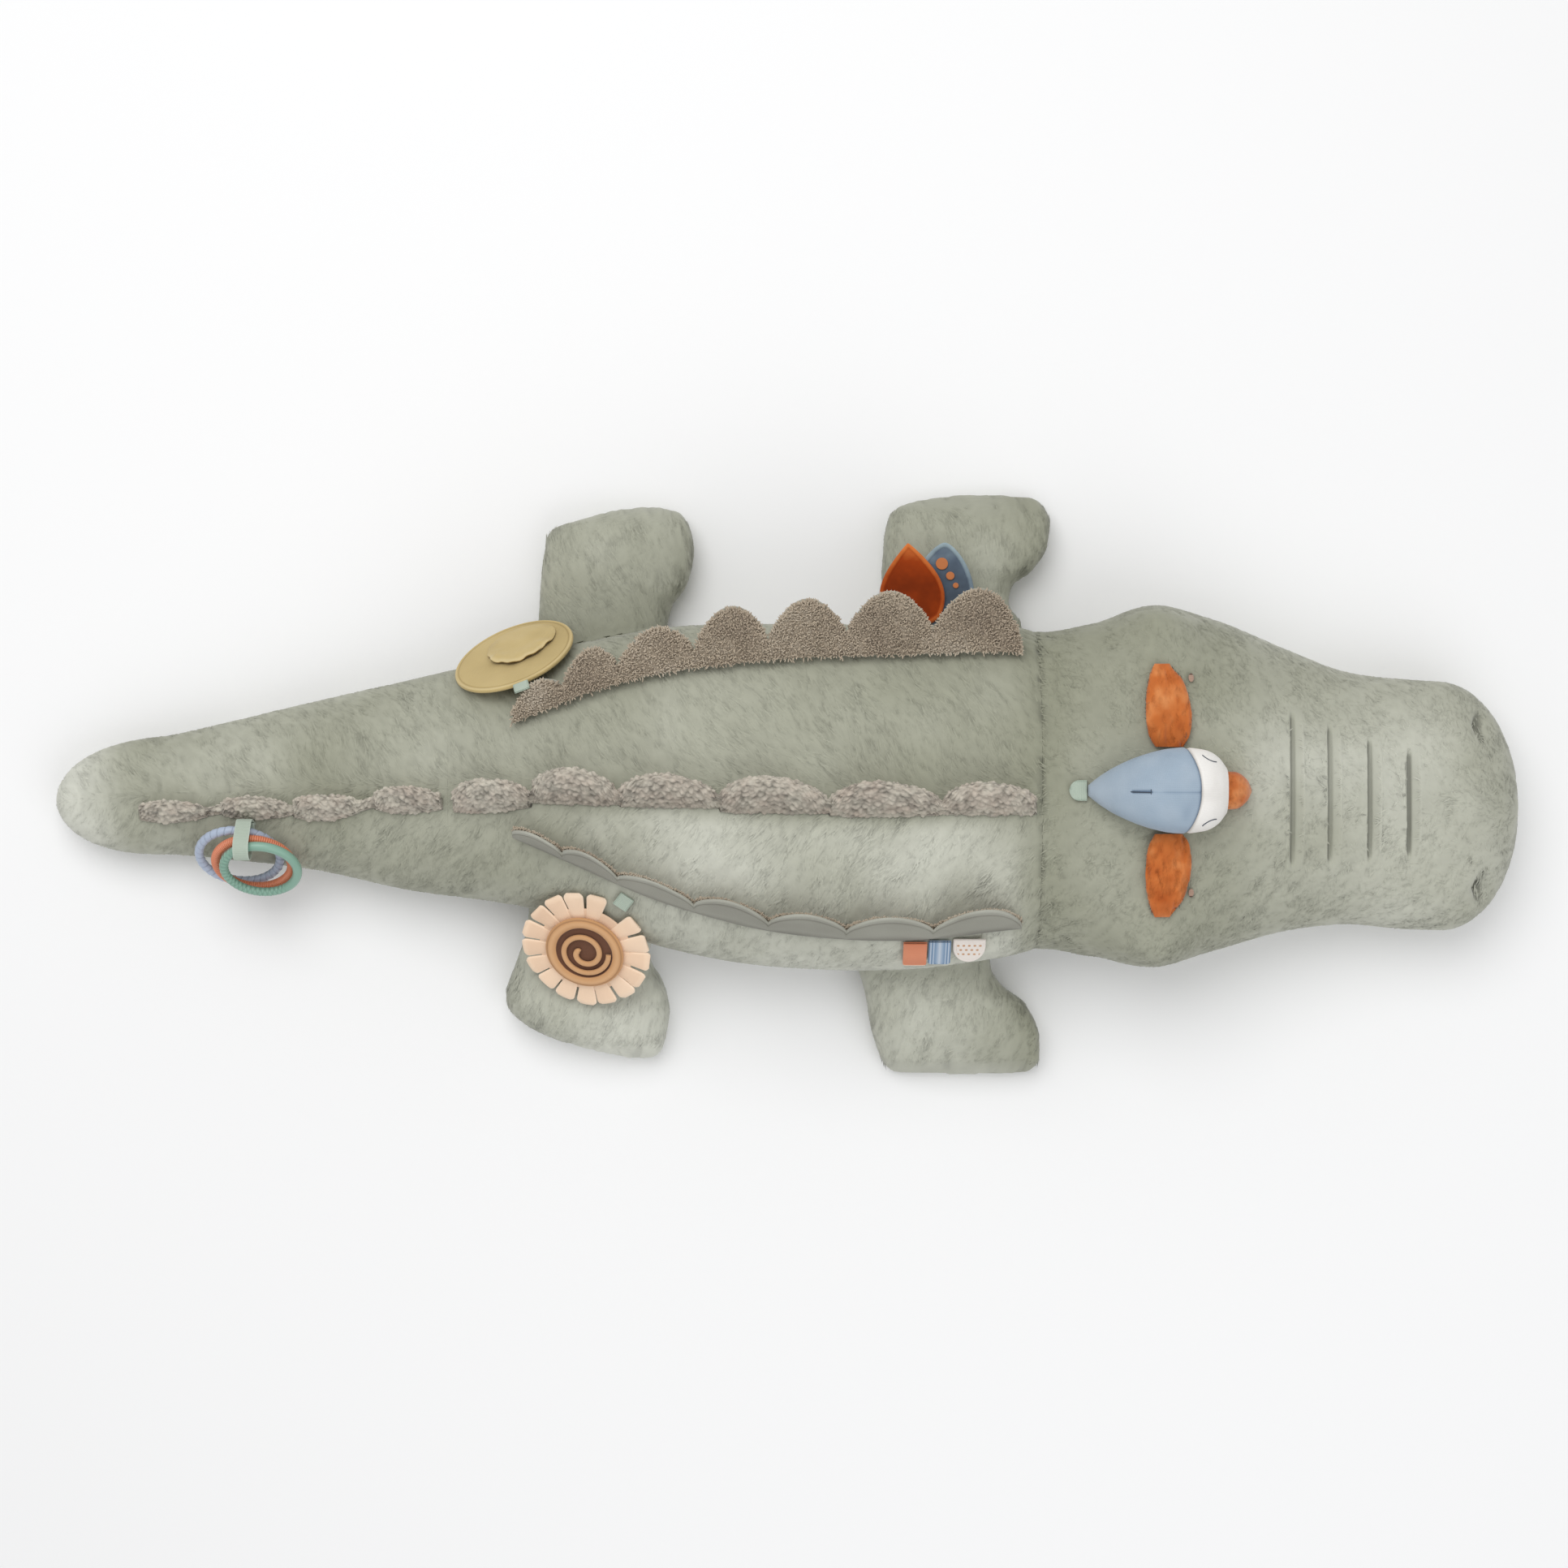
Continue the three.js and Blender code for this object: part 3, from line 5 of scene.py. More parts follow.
import bpy
import numpy as np
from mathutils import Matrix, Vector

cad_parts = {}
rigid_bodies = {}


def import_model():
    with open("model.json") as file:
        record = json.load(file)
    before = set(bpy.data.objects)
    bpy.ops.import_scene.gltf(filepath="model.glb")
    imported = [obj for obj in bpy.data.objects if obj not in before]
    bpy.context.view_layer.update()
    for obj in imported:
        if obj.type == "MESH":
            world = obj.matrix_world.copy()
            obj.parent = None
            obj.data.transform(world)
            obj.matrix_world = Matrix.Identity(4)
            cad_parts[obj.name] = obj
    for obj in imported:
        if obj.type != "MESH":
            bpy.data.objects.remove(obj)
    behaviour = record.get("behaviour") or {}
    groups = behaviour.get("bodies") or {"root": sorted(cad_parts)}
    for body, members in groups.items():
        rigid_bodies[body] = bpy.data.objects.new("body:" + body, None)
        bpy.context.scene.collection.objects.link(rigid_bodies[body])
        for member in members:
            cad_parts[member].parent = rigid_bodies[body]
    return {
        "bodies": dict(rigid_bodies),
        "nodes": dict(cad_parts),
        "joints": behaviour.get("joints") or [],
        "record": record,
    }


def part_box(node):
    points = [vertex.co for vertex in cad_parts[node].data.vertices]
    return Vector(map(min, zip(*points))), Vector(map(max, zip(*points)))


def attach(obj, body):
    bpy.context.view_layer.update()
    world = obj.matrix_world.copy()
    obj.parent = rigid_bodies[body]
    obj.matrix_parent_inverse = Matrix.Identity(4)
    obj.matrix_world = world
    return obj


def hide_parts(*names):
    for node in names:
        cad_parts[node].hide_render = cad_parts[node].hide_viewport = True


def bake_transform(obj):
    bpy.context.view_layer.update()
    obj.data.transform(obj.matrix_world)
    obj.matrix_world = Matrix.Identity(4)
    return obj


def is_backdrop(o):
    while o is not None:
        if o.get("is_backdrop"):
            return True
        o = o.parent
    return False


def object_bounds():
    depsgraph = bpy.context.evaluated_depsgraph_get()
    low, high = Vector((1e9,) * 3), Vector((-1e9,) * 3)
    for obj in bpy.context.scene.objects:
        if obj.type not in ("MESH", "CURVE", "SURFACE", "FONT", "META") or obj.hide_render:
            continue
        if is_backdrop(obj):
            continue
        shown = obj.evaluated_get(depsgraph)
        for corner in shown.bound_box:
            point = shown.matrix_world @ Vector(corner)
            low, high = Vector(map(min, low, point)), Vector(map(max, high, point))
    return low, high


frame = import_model()
CAD_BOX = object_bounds()
MM = 0.001

# The body's tables and sizes, as in the part's source
LENGTH, BODY_WIDTH, BODY_HEIGHT = 1.151, 0.270, 0.150
BELLY_CUT, SEAM_GAP, LAY_GAP = 1.8 * MM, 0.3 * MM, 0.6 * MM
MID_SHARE, UNDER_FULLNESS = 0.45, 3.2
TAIL_ROUND, SNOUT_ROUND = 0.081, 0.062
BODY_SHARES = [
    [0.0, 0.174, 0.4, -0.02, 2.0],
    [0.07, 0.174, 0.42, -0.008, 1.95],
    [0.114, 0.199, 0.48, 0.005, 1.85],
    [0.18, 0.248, 0.57, 0.021, 1.85],
    [0.245, 0.307, 0.68, 0.023, 1.95],
    [0.311, 0.357, 0.79, 0.035, 2.05],
    [0.365, 0.404, 0.88, 0.033, 2.15],
    [0.42, 0.463, 0.94, 0.016, 2.25],
    [0.486, 0.493, 0.98, -0.005, 2.3],
    [0.574, 0.498, 1.0, -0.012, 2.3],
    [0.645, 0.482, 0.985, 0.006, 2.3],
    [0.674, 0.459, 0.95, 0.008, 2.3],
    [0.705, 0.48, 0.965, 0.008, 2.35],
    [0.749, 0.52, 0.975, 0.02, 2.4],
    [0.793, 0.475, 0.93, 0.022, 2.4],
    [0.836, 0.414, 0.83, 0.01, 2.4],
    [0.88, 0.369, 0.74, -0.014, 2.4],
    [0.924, 0.365, 0.69, -0.033, 2.4],
    [1.0, 0.36, 0.65, -0.044, 2.4],
]
TAIL_TIP_X = -LENGTH / 2
TAIL_JOINT_X = TAIL_TIP_X + 0.2767 * LENGTH
NECK_X = TAIL_TIP_X + 0.6694 * LENGTH
EYE_MOUND = (0.7476, 0.418, 0.8)
EYE_MOUND_RISE, EYE_MOUND_SPREAD = 0.015, 0.021
CHANNELS = [(0.836, 0.225), (0.862, 0.204), (0.8895, 0.182), (0.9165, 0.16)]
CHANNEL_DEPTH, CHANNEL_REAR, CHANNEL_FRONT = 0.007, 2 * MM, 9 * MM
NOSTRIL = (0.9657, 0.235, 0.5)
NOSTRIL_DEPTH, NOSTRIL_SPREAD = 0.009, 0.008


def place_along(share):
    return TAIL_TIP_X + share * LENGTH


def smooth_at(rows, place, column):
    """A table's column at places between its rows, on a smooth curve through them."""
    rows = np.asarray(rows, float)
    xs, ys = rows[:, 0], rows[:, column]
    slope = np.empty(len(xs))
    slope[1:-1] = (ys[2:] - ys[:-2]) / (xs[2:] - xs[:-2])
    slope[0] = (ys[1] - ys[0]) / (xs[1] - xs[0])
    slope[-1] = (ys[-1] - ys[-2]) / (xs[-1] - xs[-2])
    i = np.searchsorted(xs[1:-1], place)
    d = xs[i + 1] - xs[i]
    t = np.clip((place - xs[i]) / d, 0, 1)
    return (
        (2 * t**3 - 3 * t**2 + 1) * ys[i]
        + (t**3 - 2 * t**2 + t) * d * slope[i]
        + (3 * t**2 - 2 * t**3) * ys[i + 1]
        + (t**3 - t**2) * d * slope[i + 1]
    )


def signed_power(value, power):
    return np.sign(value) * np.abs(value) ** power


def rounded_end(distance, radius):
    inside = np.clip(1 - distance / radius, 0, 1)
    return np.sqrt(np.clip(1 - inside**2, 0, 1))


def section_at(x):
    """Half width, middle level, reach up and down, sideways place and fullness of the body at x."""
    x = np.asarray(x, float)
    share = (x - TAIL_TIP_X) / LENGTH
    end = rounded_end(x - TAIL_TIP_X, TAIL_ROUND) * rounded_end(-TAIL_TIP_X - x, SNOUT_ROUND)
    height = smooth_at(BODY_SHARES, share, 2) * BODY_HEIGHT
    half = smooth_at(BODY_SHARES, share, 1) * BODY_WIDTH * end
    side = smooth_at(BODY_SHARES, share, 3) * BODY_WIDTH
    fullness = smooth_at(BODY_SHARES, share, 4)
    mid = MID_SHARE * height
    return half, mid, (height - mid) * end, (mid + BELLY_CUT) * end, side, fullness


def bell(distance, spread):
    return np.exp(-0.5 * (distance / spread) ** 2)


def face_relief(x, y, z, side):
    relief = 0
    for sign in (1, -1):
        for (along, out, level), rise, spread in (
            (EYE_MOUND, EYE_MOUND_RISE, EYE_MOUND_SPREAD),
            (NOSTRIL, -NOSTRIL_DEPTH, NOSTRIL_SPREAD),
        ):
            dx = x - place_along(along)
            dy = y - side - sign * out * BODY_WIDTH
            dz = z - level * BODY_HEIGHT
            relief = relief + rise * bell(np.sqrt(dx**2 + dy**2 + dz**2), spread)
    return relief


def channel_depth(x, y, side):
    depth = 0
    for along, half in CHANNELS:
        across = np.abs(y - side) / (half * BODY_WIDTH)
        past = x - place_along(along)
        away = np.where(past < 0, -past / CHANNEL_REAR, past / CHANNEL_FRONT)
        inside = (across < 1) & (away < 1)
        depth = depth + inside * CHANNEL_DEPTH * (1 - np.minimum(across, 1) ** 4) * (1 - away)
    return depth


def body_point(x, angle):
    """Points of the stuffed body's outer surface."""
    x, angle = np.broadcast_arrays(np.asarray(x, float), np.asarray(angle, float))
    half, mid, up, down, side, fullness = section_at(x)
    rise = np.sin(angle)
    power = 2 / np.where(rise >= 0, fullness, UNDER_FULLNESS)
    y = side + half * signed_power(np.cos(angle), power)
    z = mid + np.where(rise >= 0, up, down) * signed_power(rise, power)
    on_head = x > NECK_X
    relief = np.where(on_head, face_relief(x, y, z, side), 0)
    reach = np.maximum(np.hypot(y - side, z - mid), 1e-9)
    y = y + relief * (y - side) / reach
    z = z + relief * (z - mid) / reach
    z = z - np.where(on_head & (rise > 0), channel_depth(x, y, side), 0)
    return np.stack([x, y, np.maximum(z, 0)], -1)


HALVINGS = 24


def top_of(x, y):
    """The height of the body's upper surface over points of the floor."""
    x, y = np.broadcast_arrays(np.asarray(x, float), np.asarray(y, float))
    left, right = np.zeros(x.shape), np.full(x.shape, math.pi)
    for _ in range(HALVINGS):
        middle = (left + right) / 2
        beyond = body_point(x, middle)[..., 1] > y
        left, right = np.where(beyond, middle, left), np.where(beyond, right, middle)
    return body_point(x, (left + right) / 2)[..., 2]


# Smooth noise over space, the same on each run
LATTICE_SIZE = 32
LATTICE = np.random.default_rng(7).random((LATTICE_SIZE,) * 3)


def noise(points, size, shift=0.0):
    """Smooth noise from 0 to 1, with lumps of about that size."""
    q = np.asarray(points) / size + shift
    i = np.floor(q).astype(int)
    f = q - i
    f = f * f * (3 - 2 * f)
    total = 0
    for corner in range(8):
        o = np.array([corner & 1, corner >> 1 & 1, corner >> 2 & 1])
        weight = np.prod(np.where(o, f, 1 - f), axis=-1)
        j = (i + o) % LATTICE_SIZE
        total = total + weight * LATTICE[j[..., 0], j[..., 1], j[..., 2]]
    return total


def smooth_step(value, low, high):
    t = np.clip((value - low) / (high - low), 0, 1)
    return t * t * (3 - 2 * t)


def unit(v):
    return v / np.maximum(np.linalg.norm(v, axis=-1, keepdims=True), 1e-12)


def linked(tree, a, b):
    tree.links.new(a, b)


# Meshes from arrays
def new_piece(name, points, faces, material, uv=None, tone=None, palette=None, normals=None):
    """A smooth mesh object. uv holds metres for each face corner. A piece has a tone for each point, or a
    palette: a tone and a patch value. A point shades by its normal in normals where that isn't zero."""
    points = np.asarray(points, np.float32).reshape(-1, 3)
    blocks = [np.asarray(f, np.int32) for f in faces if len(f)]
    corners = np.concatenate([b.ravel() for b in blocks])
    sizes = np.concatenate([np.full(len(b), b.shape[1]) for b in blocks])
    starts = np.concatenate(([0], np.cumsum(sizes)[:-1])).astype(np.int32)
    mesh = bpy.data.meshes.new(name)
    mesh.vertices.add(len(points))
    mesh.vertices.foreach_set("co", points.ravel())
    mesh.loops.add(len(corners))
    mesh.loops.foreach_set("vertex_index", corners)
    mesh.polygons.add(len(sizes))
    mesh.polygons.foreach_set("loop_start", starts)
    mesh.polygons.foreach_set("use_smooth", np.ones(len(sizes), bool))
    if uv is not None:
        layer = mesh.uv_layers.new(name="weave")
        layer.data.foreach_set("uv", np.asarray(uv, np.float32).ravel())
    for key, values in zip(("tone", "patch"), palette or (tone,)):
        if values is not None:
            attribute = mesh.attributes.new(key, "FLOAT", "POINT")
            attribute.data.foreach_set("value", np.asarray(values, np.float32))
    if palette is not None:
        both = np.clip(np.stack(palette, -1), 0, 1)
        layer = mesh.uv_layers.new(name="OFBake")
        layer.data.foreach_set("uv", (0.02 + 0.96 * both[corners]).astype(np.float32).ravel())
    mesh.update(calc_edges=True)
    mesh.validate()
    if normals is not None:
        mesh.normals_split_custom_set_from_vertices(normals)
    mesh.materials.append(material)
    piece = bpy.data.objects.new(name, mesh)
    bpy.context.scene.collection.objects.link(piece)
    return piece


def tube_faces(rows, columns):
    """Faces of a grid that is closed around, and of the fans to its two end points, which come after it."""
    r, c = np.meshgrid(np.arange(rows - 1), np.arange(columns), indexing="ij")
    a, b = r * columns + c, r * columns + (c + 1) % columns
    sides = np.stack([a, b, b + columns, a + columns], -1).reshape(-1, 4)
    ring = np.arange(columns)
    after = (ring + 1) % columns
    last = (rows - 1) * columns
    start, end = rows * columns, rows * columns + 1
    caps = np.concatenate([
        np.stack([np.full(columns, start), after, ring], -1),
        np.stack([np.full(columns, end), last + ring, last + after], -1),
    ])
    return sides, caps


def volume_of(points, faces):
    total = 0
    for block in faces:
        p = points[block]
        for k in range(1, block.shape[1] - 1):
            total += np.einsum("ij,ij->i", p[:, 0], np.cross(p[:, k], p[:, k + 1])).sum()
    return total


def facing_out(points, faces):
    return faces if volume_of(points, faces) > 0 else [f[:, ::-1] for f in faces]


def closed_faces(points, grid):
    """Faces of the closed body over a grid's rings, for its points with_ends."""
    return facing_out(points, list(tube_faces(*grid.shape[:2])))


def solid_of(grid, flat=None, tone=0.5):
    """Points, faces, grain in metres and tones of a closed solid over rings of points."""
    rows, columns = grid.shape[:2]
    points = with_ends(grid)
    faces = closed_faces(points, grid)
    if flat is None:
        along = np.concatenate([[0], np.cumsum(np.linalg.norm(np.diff(grid, axis=0), axis=-1).mean(1))])
        step = np.linalg.norm(grid - np.roll(grid, 1, axis=1), axis=-1).mean()
        flat = np.stack(np.broadcast_arrays(along[:, None], np.arange(columns) * step), -1)
        place = with_ends(flat)
        corners = [unwrapped(place[f], columns * step) for f in faces]
    else:
        place = with_ends(flat)
        corners = [place[f] for f in faces]
    tones = with_ends(np.broadcast_to(tone, (rows, columns))[..., None])[:, 0]
    return points, faces, np.concatenate([c.reshape(-1, 2) for c in corners]), tones


def with_ends(grid):
    """A grid's values in a row, and after them the means of its first and last ring."""
    return np.concatenate([grid.reshape(-1, grid.shape[-1]), [grid[0].mean(0), grid[-1].mean(0)]])


def piece_of(name, solids, material):
    """One piece made of several solids."""
    points, quads, triangles, quad_uv, triangle_uv, tones = [], [], [], [], [], []
    first = 0
    for more, faces, uv, tone in solids:
        points.append(more)
        quads.append(faces[0] + first)
        triangles.append(faces[1] + first)
        quad_uv.append(uv[:faces[0].size])
        triangle_uv.append(uv[faces[0].size:])
        tones.append(tone)
        first += len(more)
    faces = [np.concatenate(quads), np.concatenate(triangles)]
    uv = np.concatenate(quad_uv + triangle_uv)
    return new_piece(name, np.concatenate(points), faces, material, uv=uv, tone=np.concatenate(tones))


def unwrapped(corners, length):
    """Corners of each face, with those past the seam moved on by the whole way around."""
    high = corners[..., 1].max(1, keepdims=True)
    corners = corners.copy()
    corners[..., 1] += length * (high - corners[..., 1] > length / 2)
    return corners


def outward(grid):
    """Unit normals of a grid that is closed around."""
    along = np.gradient(grid, axis=0)
    aside = (np.roll(grid, -1, axis=1) - np.roll(grid, 1, axis=1)) / 2
    n = unit(np.cross(along, aside))
    out = grid - grid.mean(1, keepdims=True)
    return n * np.sign(np.sum(n * out, axis=(0, 1)).sum() or 1)


# Fur: a skin with lying strands, and on it many thin wisps of hair, each closed with a flat root
WISP_FACES = np.array([[0, 1, 2], [0, 3, 1], [1, 3, 2], [2, 3, 0]])
# Wisps are painted darker at the root and lighter towards the tip: painted shade down among the pile
WISP_TONES = np.array([0.5, 0.5, 0.64, 0.8])
ROOT_DEPTH, TIP_DEPTH = 0.85, 0.32


def wisps(place, normal, flow, bend, length, width, depth, rng):
    """Points, faces, tones and shading normals of wisps that lie along flow with their roots at depth."""
    n, t = unit(normal), unit(flow - normal * np.sum(flow * normal, -1, keepdims=True))
    b = np.cross(t, n)
    count = len(place)
    w = (width * rng.uniform(0.7, 1.3, count))[:, None]
    l = (length * rng.uniform(0.7, 1.3, count))[:, None]
    lift = (depth * rng.uniform(-0.2, 0.2, count))[:, None] - TIP_DEPTH * depth
    stray = rng.uniform(-0.12, 0.12, count)[:, None]
    # A wisp follows the skin where it curves away
    fall = np.clip(bend(t)[:, None] * l**2 / 2, 0, 0.7 * l)
    root = place - n * ROOT_DEPTH * depth
    tip = place + t * np.sqrt(l**2 - fall**2) + n * (lift - fall) + b * stray * l
    points = np.stack([root - b * w / 2, root + b * w / 2, root + n * 0.5 * w + t * 0.12 * l, tip], 1)
    tone = WISP_TONES + rng.uniform(-0.16, 0.22, count)[:, None]
    faces = (np.arange(count) * 4)[:, None, None] + WISP_FACES
    shade = unit(np.stack([n - 0.25 * b, n + 0.25 * b, n - 0.1 * t, n + 0.15 * t], 1))
    return points.reshape(-1, 3), faces.reshape(-1, 3), tone.ravel(), shade.reshape(-1, 3)


def scatter(grid, spacing, keep, rng):
    """About one place for each spacing squared of a grid: its row, column and place in the face."""
    a, b = grid[:-1], grid[1:]
    a1, b1 = np.roll(a, -1, axis=1), np.roll(b, -1, axis=1)
    area = np.linalg.norm(np.cross(b1 - a, b - a1), axis=-1) / 2
    count = np.floor(area * keep / spacing**2 + rng.random(area.shape)).astype(int)
    r, c = np.nonzero(count)
    times = count[r, c]
    r, c = np.repeat(r, times), np.repeat(c, times)
    return r, c, rng.random(len(r)), rng.random(len(r))


def between(values, r, c, u, v):
    """A grid's values at places inside its faces."""
    c1 = (c + 1) % values.shape[1]
    if values.ndim == 3:
        u, v = u[:, None], v[:, None]
    return (
        values[r, c] * (1 - u) * (1 - v) + values[r + 1, c] * u * (1 - v)
        + values[r, c1] * (1 - u) * v + values[r + 1, c1] * u * v
    )


def bend_over(grid, n, r, c):
    """A function for how much a grid's surface curves away along directions at places in its faces."""
    c1 = (c + 1) % grid.shape[1]
    a, b = grid[r + 1, c] - grid[r, c], grid[r, c1] - grid[r, c]
    aa, ab, bb = (np.sum(p * q, -1) for p, q in ((a, a), (a, b), (b, b)))
    room = np.maximum(aa * bb - ab**2, 1e-18)

    def along(t):
        ta, tb = np.sum(t * a, -1), np.sum(t * b, -1)
        i, j = (ta * bb - tb * ab) / room, (tb * aa - ta * ab) / room
        turn = i[:, None] * (n[r + 1, c] - n[r, c]) + j[:, None] * (n[r, c1] - n[r, c])
        return np.sum(turn * t, -1)
    return along


def with_rims(skin):
    """A skin with one more row near each end and a ring turned in behind it, so that its rim shades well."""
    first, last = skin[0], skin[-1]
    return np.concatenate([
        [first + 0.03 * (first.mean(0) - first), first, 0.85 * first + 0.15 * skin[1]], skin[1:-1],
        [0.85 * last + 0.15 * skin[-2], last, last + 0.03 * (last.mean(0) - last)]])


def turned(flow, normal, angle):
    """Directions turned about their normals."""
    angle = angle[:, None]
    return flow * np.cos(angle) + np.cross(normal, flow) * np.sin(angle)


def strands(a, b, long, wide, shift=0.0):
    """0 in the partings between lying strands, 1 on them: a runs with the pile and b across it, in metres."""
    place = np.stack(np.broadcast_arrays(a, b, 0 * a), -1)
    b = b + 0.9 * wide * (noise(place, 3.0 * wide, 2.3 + shift) - 0.5) * 3
    a = a + 0.8 * long * (noise(place, 1.4 * long, 4.9 + shift) - 0.5)

    def streaks(length, width, start):
        return noise(np.stack(np.broadcast_arrays(a / length, b / width, 0 * a), -1), 1.0, start + shift)
    return 0.72 * streaks(long, wide, 6.1) + 0.28 * streaks(2 * long, 2.3 * wide, 1.3)


def fur(name, grid, flow, material, keep, strand, spacing=2.9, length=9.0, width=1.9, depth=1.7,
        spread=0.2, seed=1, inset=0.0, darker=0.0, pale=None, clear=None):
    """A furry piece inside a grid: its strands lie up to depth under the grid's surface, where keep is 1.
    spacing, length, width and depth are in mm; spread is how far wisps turn off the flow, in radians."""
    rng = np.random.default_rng(seed)
    n = outward(grid)
    inset = np.broadcast_to(inset, grid.shape[:2])
    lumps = noise(grid, 0.016, 0.4) - 0.5
    dashes = smooth_step(strand, 0.33, 0.22)
    depth_here = keep * depth * MM * (0.5 + 0.5 * lumps + 0.6 * (0.5 - strand) + 0.15 * dashes)
    skin = grid - n * (depth_here + inset)[..., None]
    skin[..., 2] = np.maximum(skin[..., 2], 0.2 * MM)
    skin = with_rims(skin)
    points = with_ends(skin)
    sides, caps = closed_faces(points, skin)
    # The tone is painted shade: darker in the partings between strands, most at the dashes, and darker still
    # where darker paints shade into seams and creases
    tone = 0.62 + keep * (0.3 * (strand - 0.5) - 0.1 * dashes + 0.04 * lumps) - darker
    tone = with_ends(with_rims(tone[..., None]))[:, 0]
    r, c, u, v = scatter(grid, spacing * MM, keep[:-1], rng)
    place = between(grid, r, c, u, v)
    if clear is not None:
        stays = clear(place)
        place, r, c, u, v = place[stays], r[stays], c[stays], u[stays], v[stays]
    normal = unit(between(n, r, c, u, v))
    course = unit(between(flow, r, c, u, v))
    course = turned(course, normal, (noise(place, 0.04, 3.3) - 0.5) * 0.9 + rng.normal(0, spread, len(place)))
    long = length * MM * (0.8 + 0.4 * noise(place, 0.02, 5.1))
    sink = between(inset, r, c, u, v)[:, None]
    hair, hair_faces, hair_tone, shade = wisps(
        place - normal * sink, normal, course, bend_over(grid, n, r, c), long, width * MM, depth * MM, rng)
    hair[:, 2] = np.maximum(hair[:, 2], 0.5 * MM)
    # Wisps over the partings get the same painted shade
    hair_tone = hair_tone + np.repeat(0.3 * (between(strand, r, c, u, v) - 0.5), 4)
    caps = np.concatenate([caps, hair_faces + len(points)])
    shade = np.concatenate([np.zeros_like(points), shade])
    points = np.concatenate([points, hair])
    tone = np.concatenate([tone, hair_tone])
    patch = (fur_paleness if pale is None else pale)(points) + rng.uniform(-0.02, 0.02, len(points))
    palette = np.clip(tone, 0, 1), np.clip(patch, 0, 1)
    return new_piece(name, points, [sides, caps], material, palette=palette, normals=shade)


def fur_paleness(points):
    """0 in the olive patches, 1 in the pale ones."""
    x, y = points[:, 0], points[:, 1]
    side = section_at(x)[4]
    near_side = smooth_step(side - y, 0.005, 0.03)
    on_back = smooth_step(x, -0.25, -0.1) * (1 - smooth_step(x, 0.17, 0.2))
    on_head = smooth_step(x, 0.19, 0.21)
    value = 0.4 + 0.42 * (noise(points, 0.075, 1.7) - 0.5) + 0.18 * (noise(points, 0.028, 9.2) - 0.5)
    value = value + 0.34 * near_side * on_back - 0.1 * on_head * (1 - smooth_step(x, 0.3, 0.38))
    value = value + 0.16 * on_head * smooth_step(x, 0.32, 0.37) + 0.55 * smooth_step(-x, 0.5, 0.56)
    return value - 0.2 * bell(x - NECK_X, 0.02)


# Materials
def new_material(name, roughness=0.9, sheen=0.0, specular=0.3):
    material = bpy.data.materials.new(name)
    material.use_nodes = True
    shader = material.node_tree.nodes["Principled BSDF"]
    shader.inputs["Roughness"].default_value = roughness
    shader.inputs["Specular IOR Level"].default_value = specular
    shader.inputs["Sheen Weight"].default_value = sheen
    shader.inputs["Sheen Roughness"].default_value = 0.5
    return material, material.node_tree, shader


def srgb(r, g, b):
    def linear(v):
        v /= 255
        return v / 12.92 if v <= 0.04045 else ((v + 0.055) / 1.055) ** 2.4
    return (linear(r), linear(g), linear(b), 1)


def ramp(tree, factor, stops):
    node = tree.nodes.new("ShaderNodeValToRGB")
    elements = node.color_ramp.elements
    while len(elements) < len(stops):
        elements.new(0.5)
    for element, (position, colour) in zip(elements, stops):
        element.position, element.color = position, colour
    linked(tree, factor, node.inputs["Fac"])
    return node.outputs["Color"]


def mixed(tree, factor, a, b, blend="MIX"):
    node = tree.nodes.new("ShaderNodeMix")
    node.data_type, node.blend_type = "RGBA", blend
    for socket, value in ((node.inputs[0], factor), (node.inputs[6], a), (node.inputs[7], b)):
        if isinstance(value, bpy.types.NodeSocket):
            linked(tree, value, socket)
        else:
            socket.default_value = value
    return node.outputs[2]


def attribute_of(tree, name):
    node = tree.nodes.new("ShaderNodeAttribute")
    node.attribute_name = name
    return node.outputs["Fac"]


def pile_material(name, olive, middle, pale, sheen=0.25):
    """Pile whose colour follows the tone of each lock and the large patches."""
    material, tree, shader = new_material(name, 0.95, sheen, 0.15)
    tone, patch = attribute_of(tree, "tone"), attribute_of(tree, "patch")
    columns = []
    for base in (olive, middle, pale):
        columns.append(ramp(tree, tone, [
            (place, srgb(*[min(255, v * share) for v in base]))
            for place, share in ((0.0, 0.7), (0.4, 0.9), (0.7, 1), (1.0, 1.06))]))
    low = tree.nodes.new("ShaderNodeMapRange")
    low.inputs["From Max"].default_value = 0.5
    high = tree.nodes.new("ShaderNodeMapRange")
    high.inputs["From Min"].default_value = 0.5
    for node in (low, high):
        linked(tree, patch, node.inputs["Value"])
    colour = mixed(tree, low.outputs["Result"], columns[0], columns[1])
    colour = mixed(tree, high.outputs["Result"], colour, columns[2])
    linked(tree, colour, shader.inputs["Base Color"])
    return material


FUR = pile_material("fur_sage", (148, 149, 130), (173, 174, 158), (212, 213, 201))


# Camera, floor and light
CAMERA_LENS, CAMERA_PLACE = 68.9, (0, 0.007, 2.4)
FLOOR_REACH = 6


def camera_over_photo():
    data = bpy.data.cameras.new("camera")
    data.lens, data.sensor_width = CAMERA_LENS, 36
    camera = bpy.data.objects.new("camera", data)
    camera.location = CAMERA_PLACE
    bpy.context.scene.collection.objects.link(camera)
    bpy.context.scene.camera = camera


def area_light(name, place, turn, size, power, colour=(1, 1, 1)):
    data = bpy.data.lights.new(name, "AREA")
    data.shape, data.size, data.energy, data.color = "DISK", size, power, colour
    light = bpy.data.objects.new(name, data)
    light.location, light.rotation_euler = place, [math.radians(v) for v in turn]
    bpy.context.scene.collection.objects.link(light)


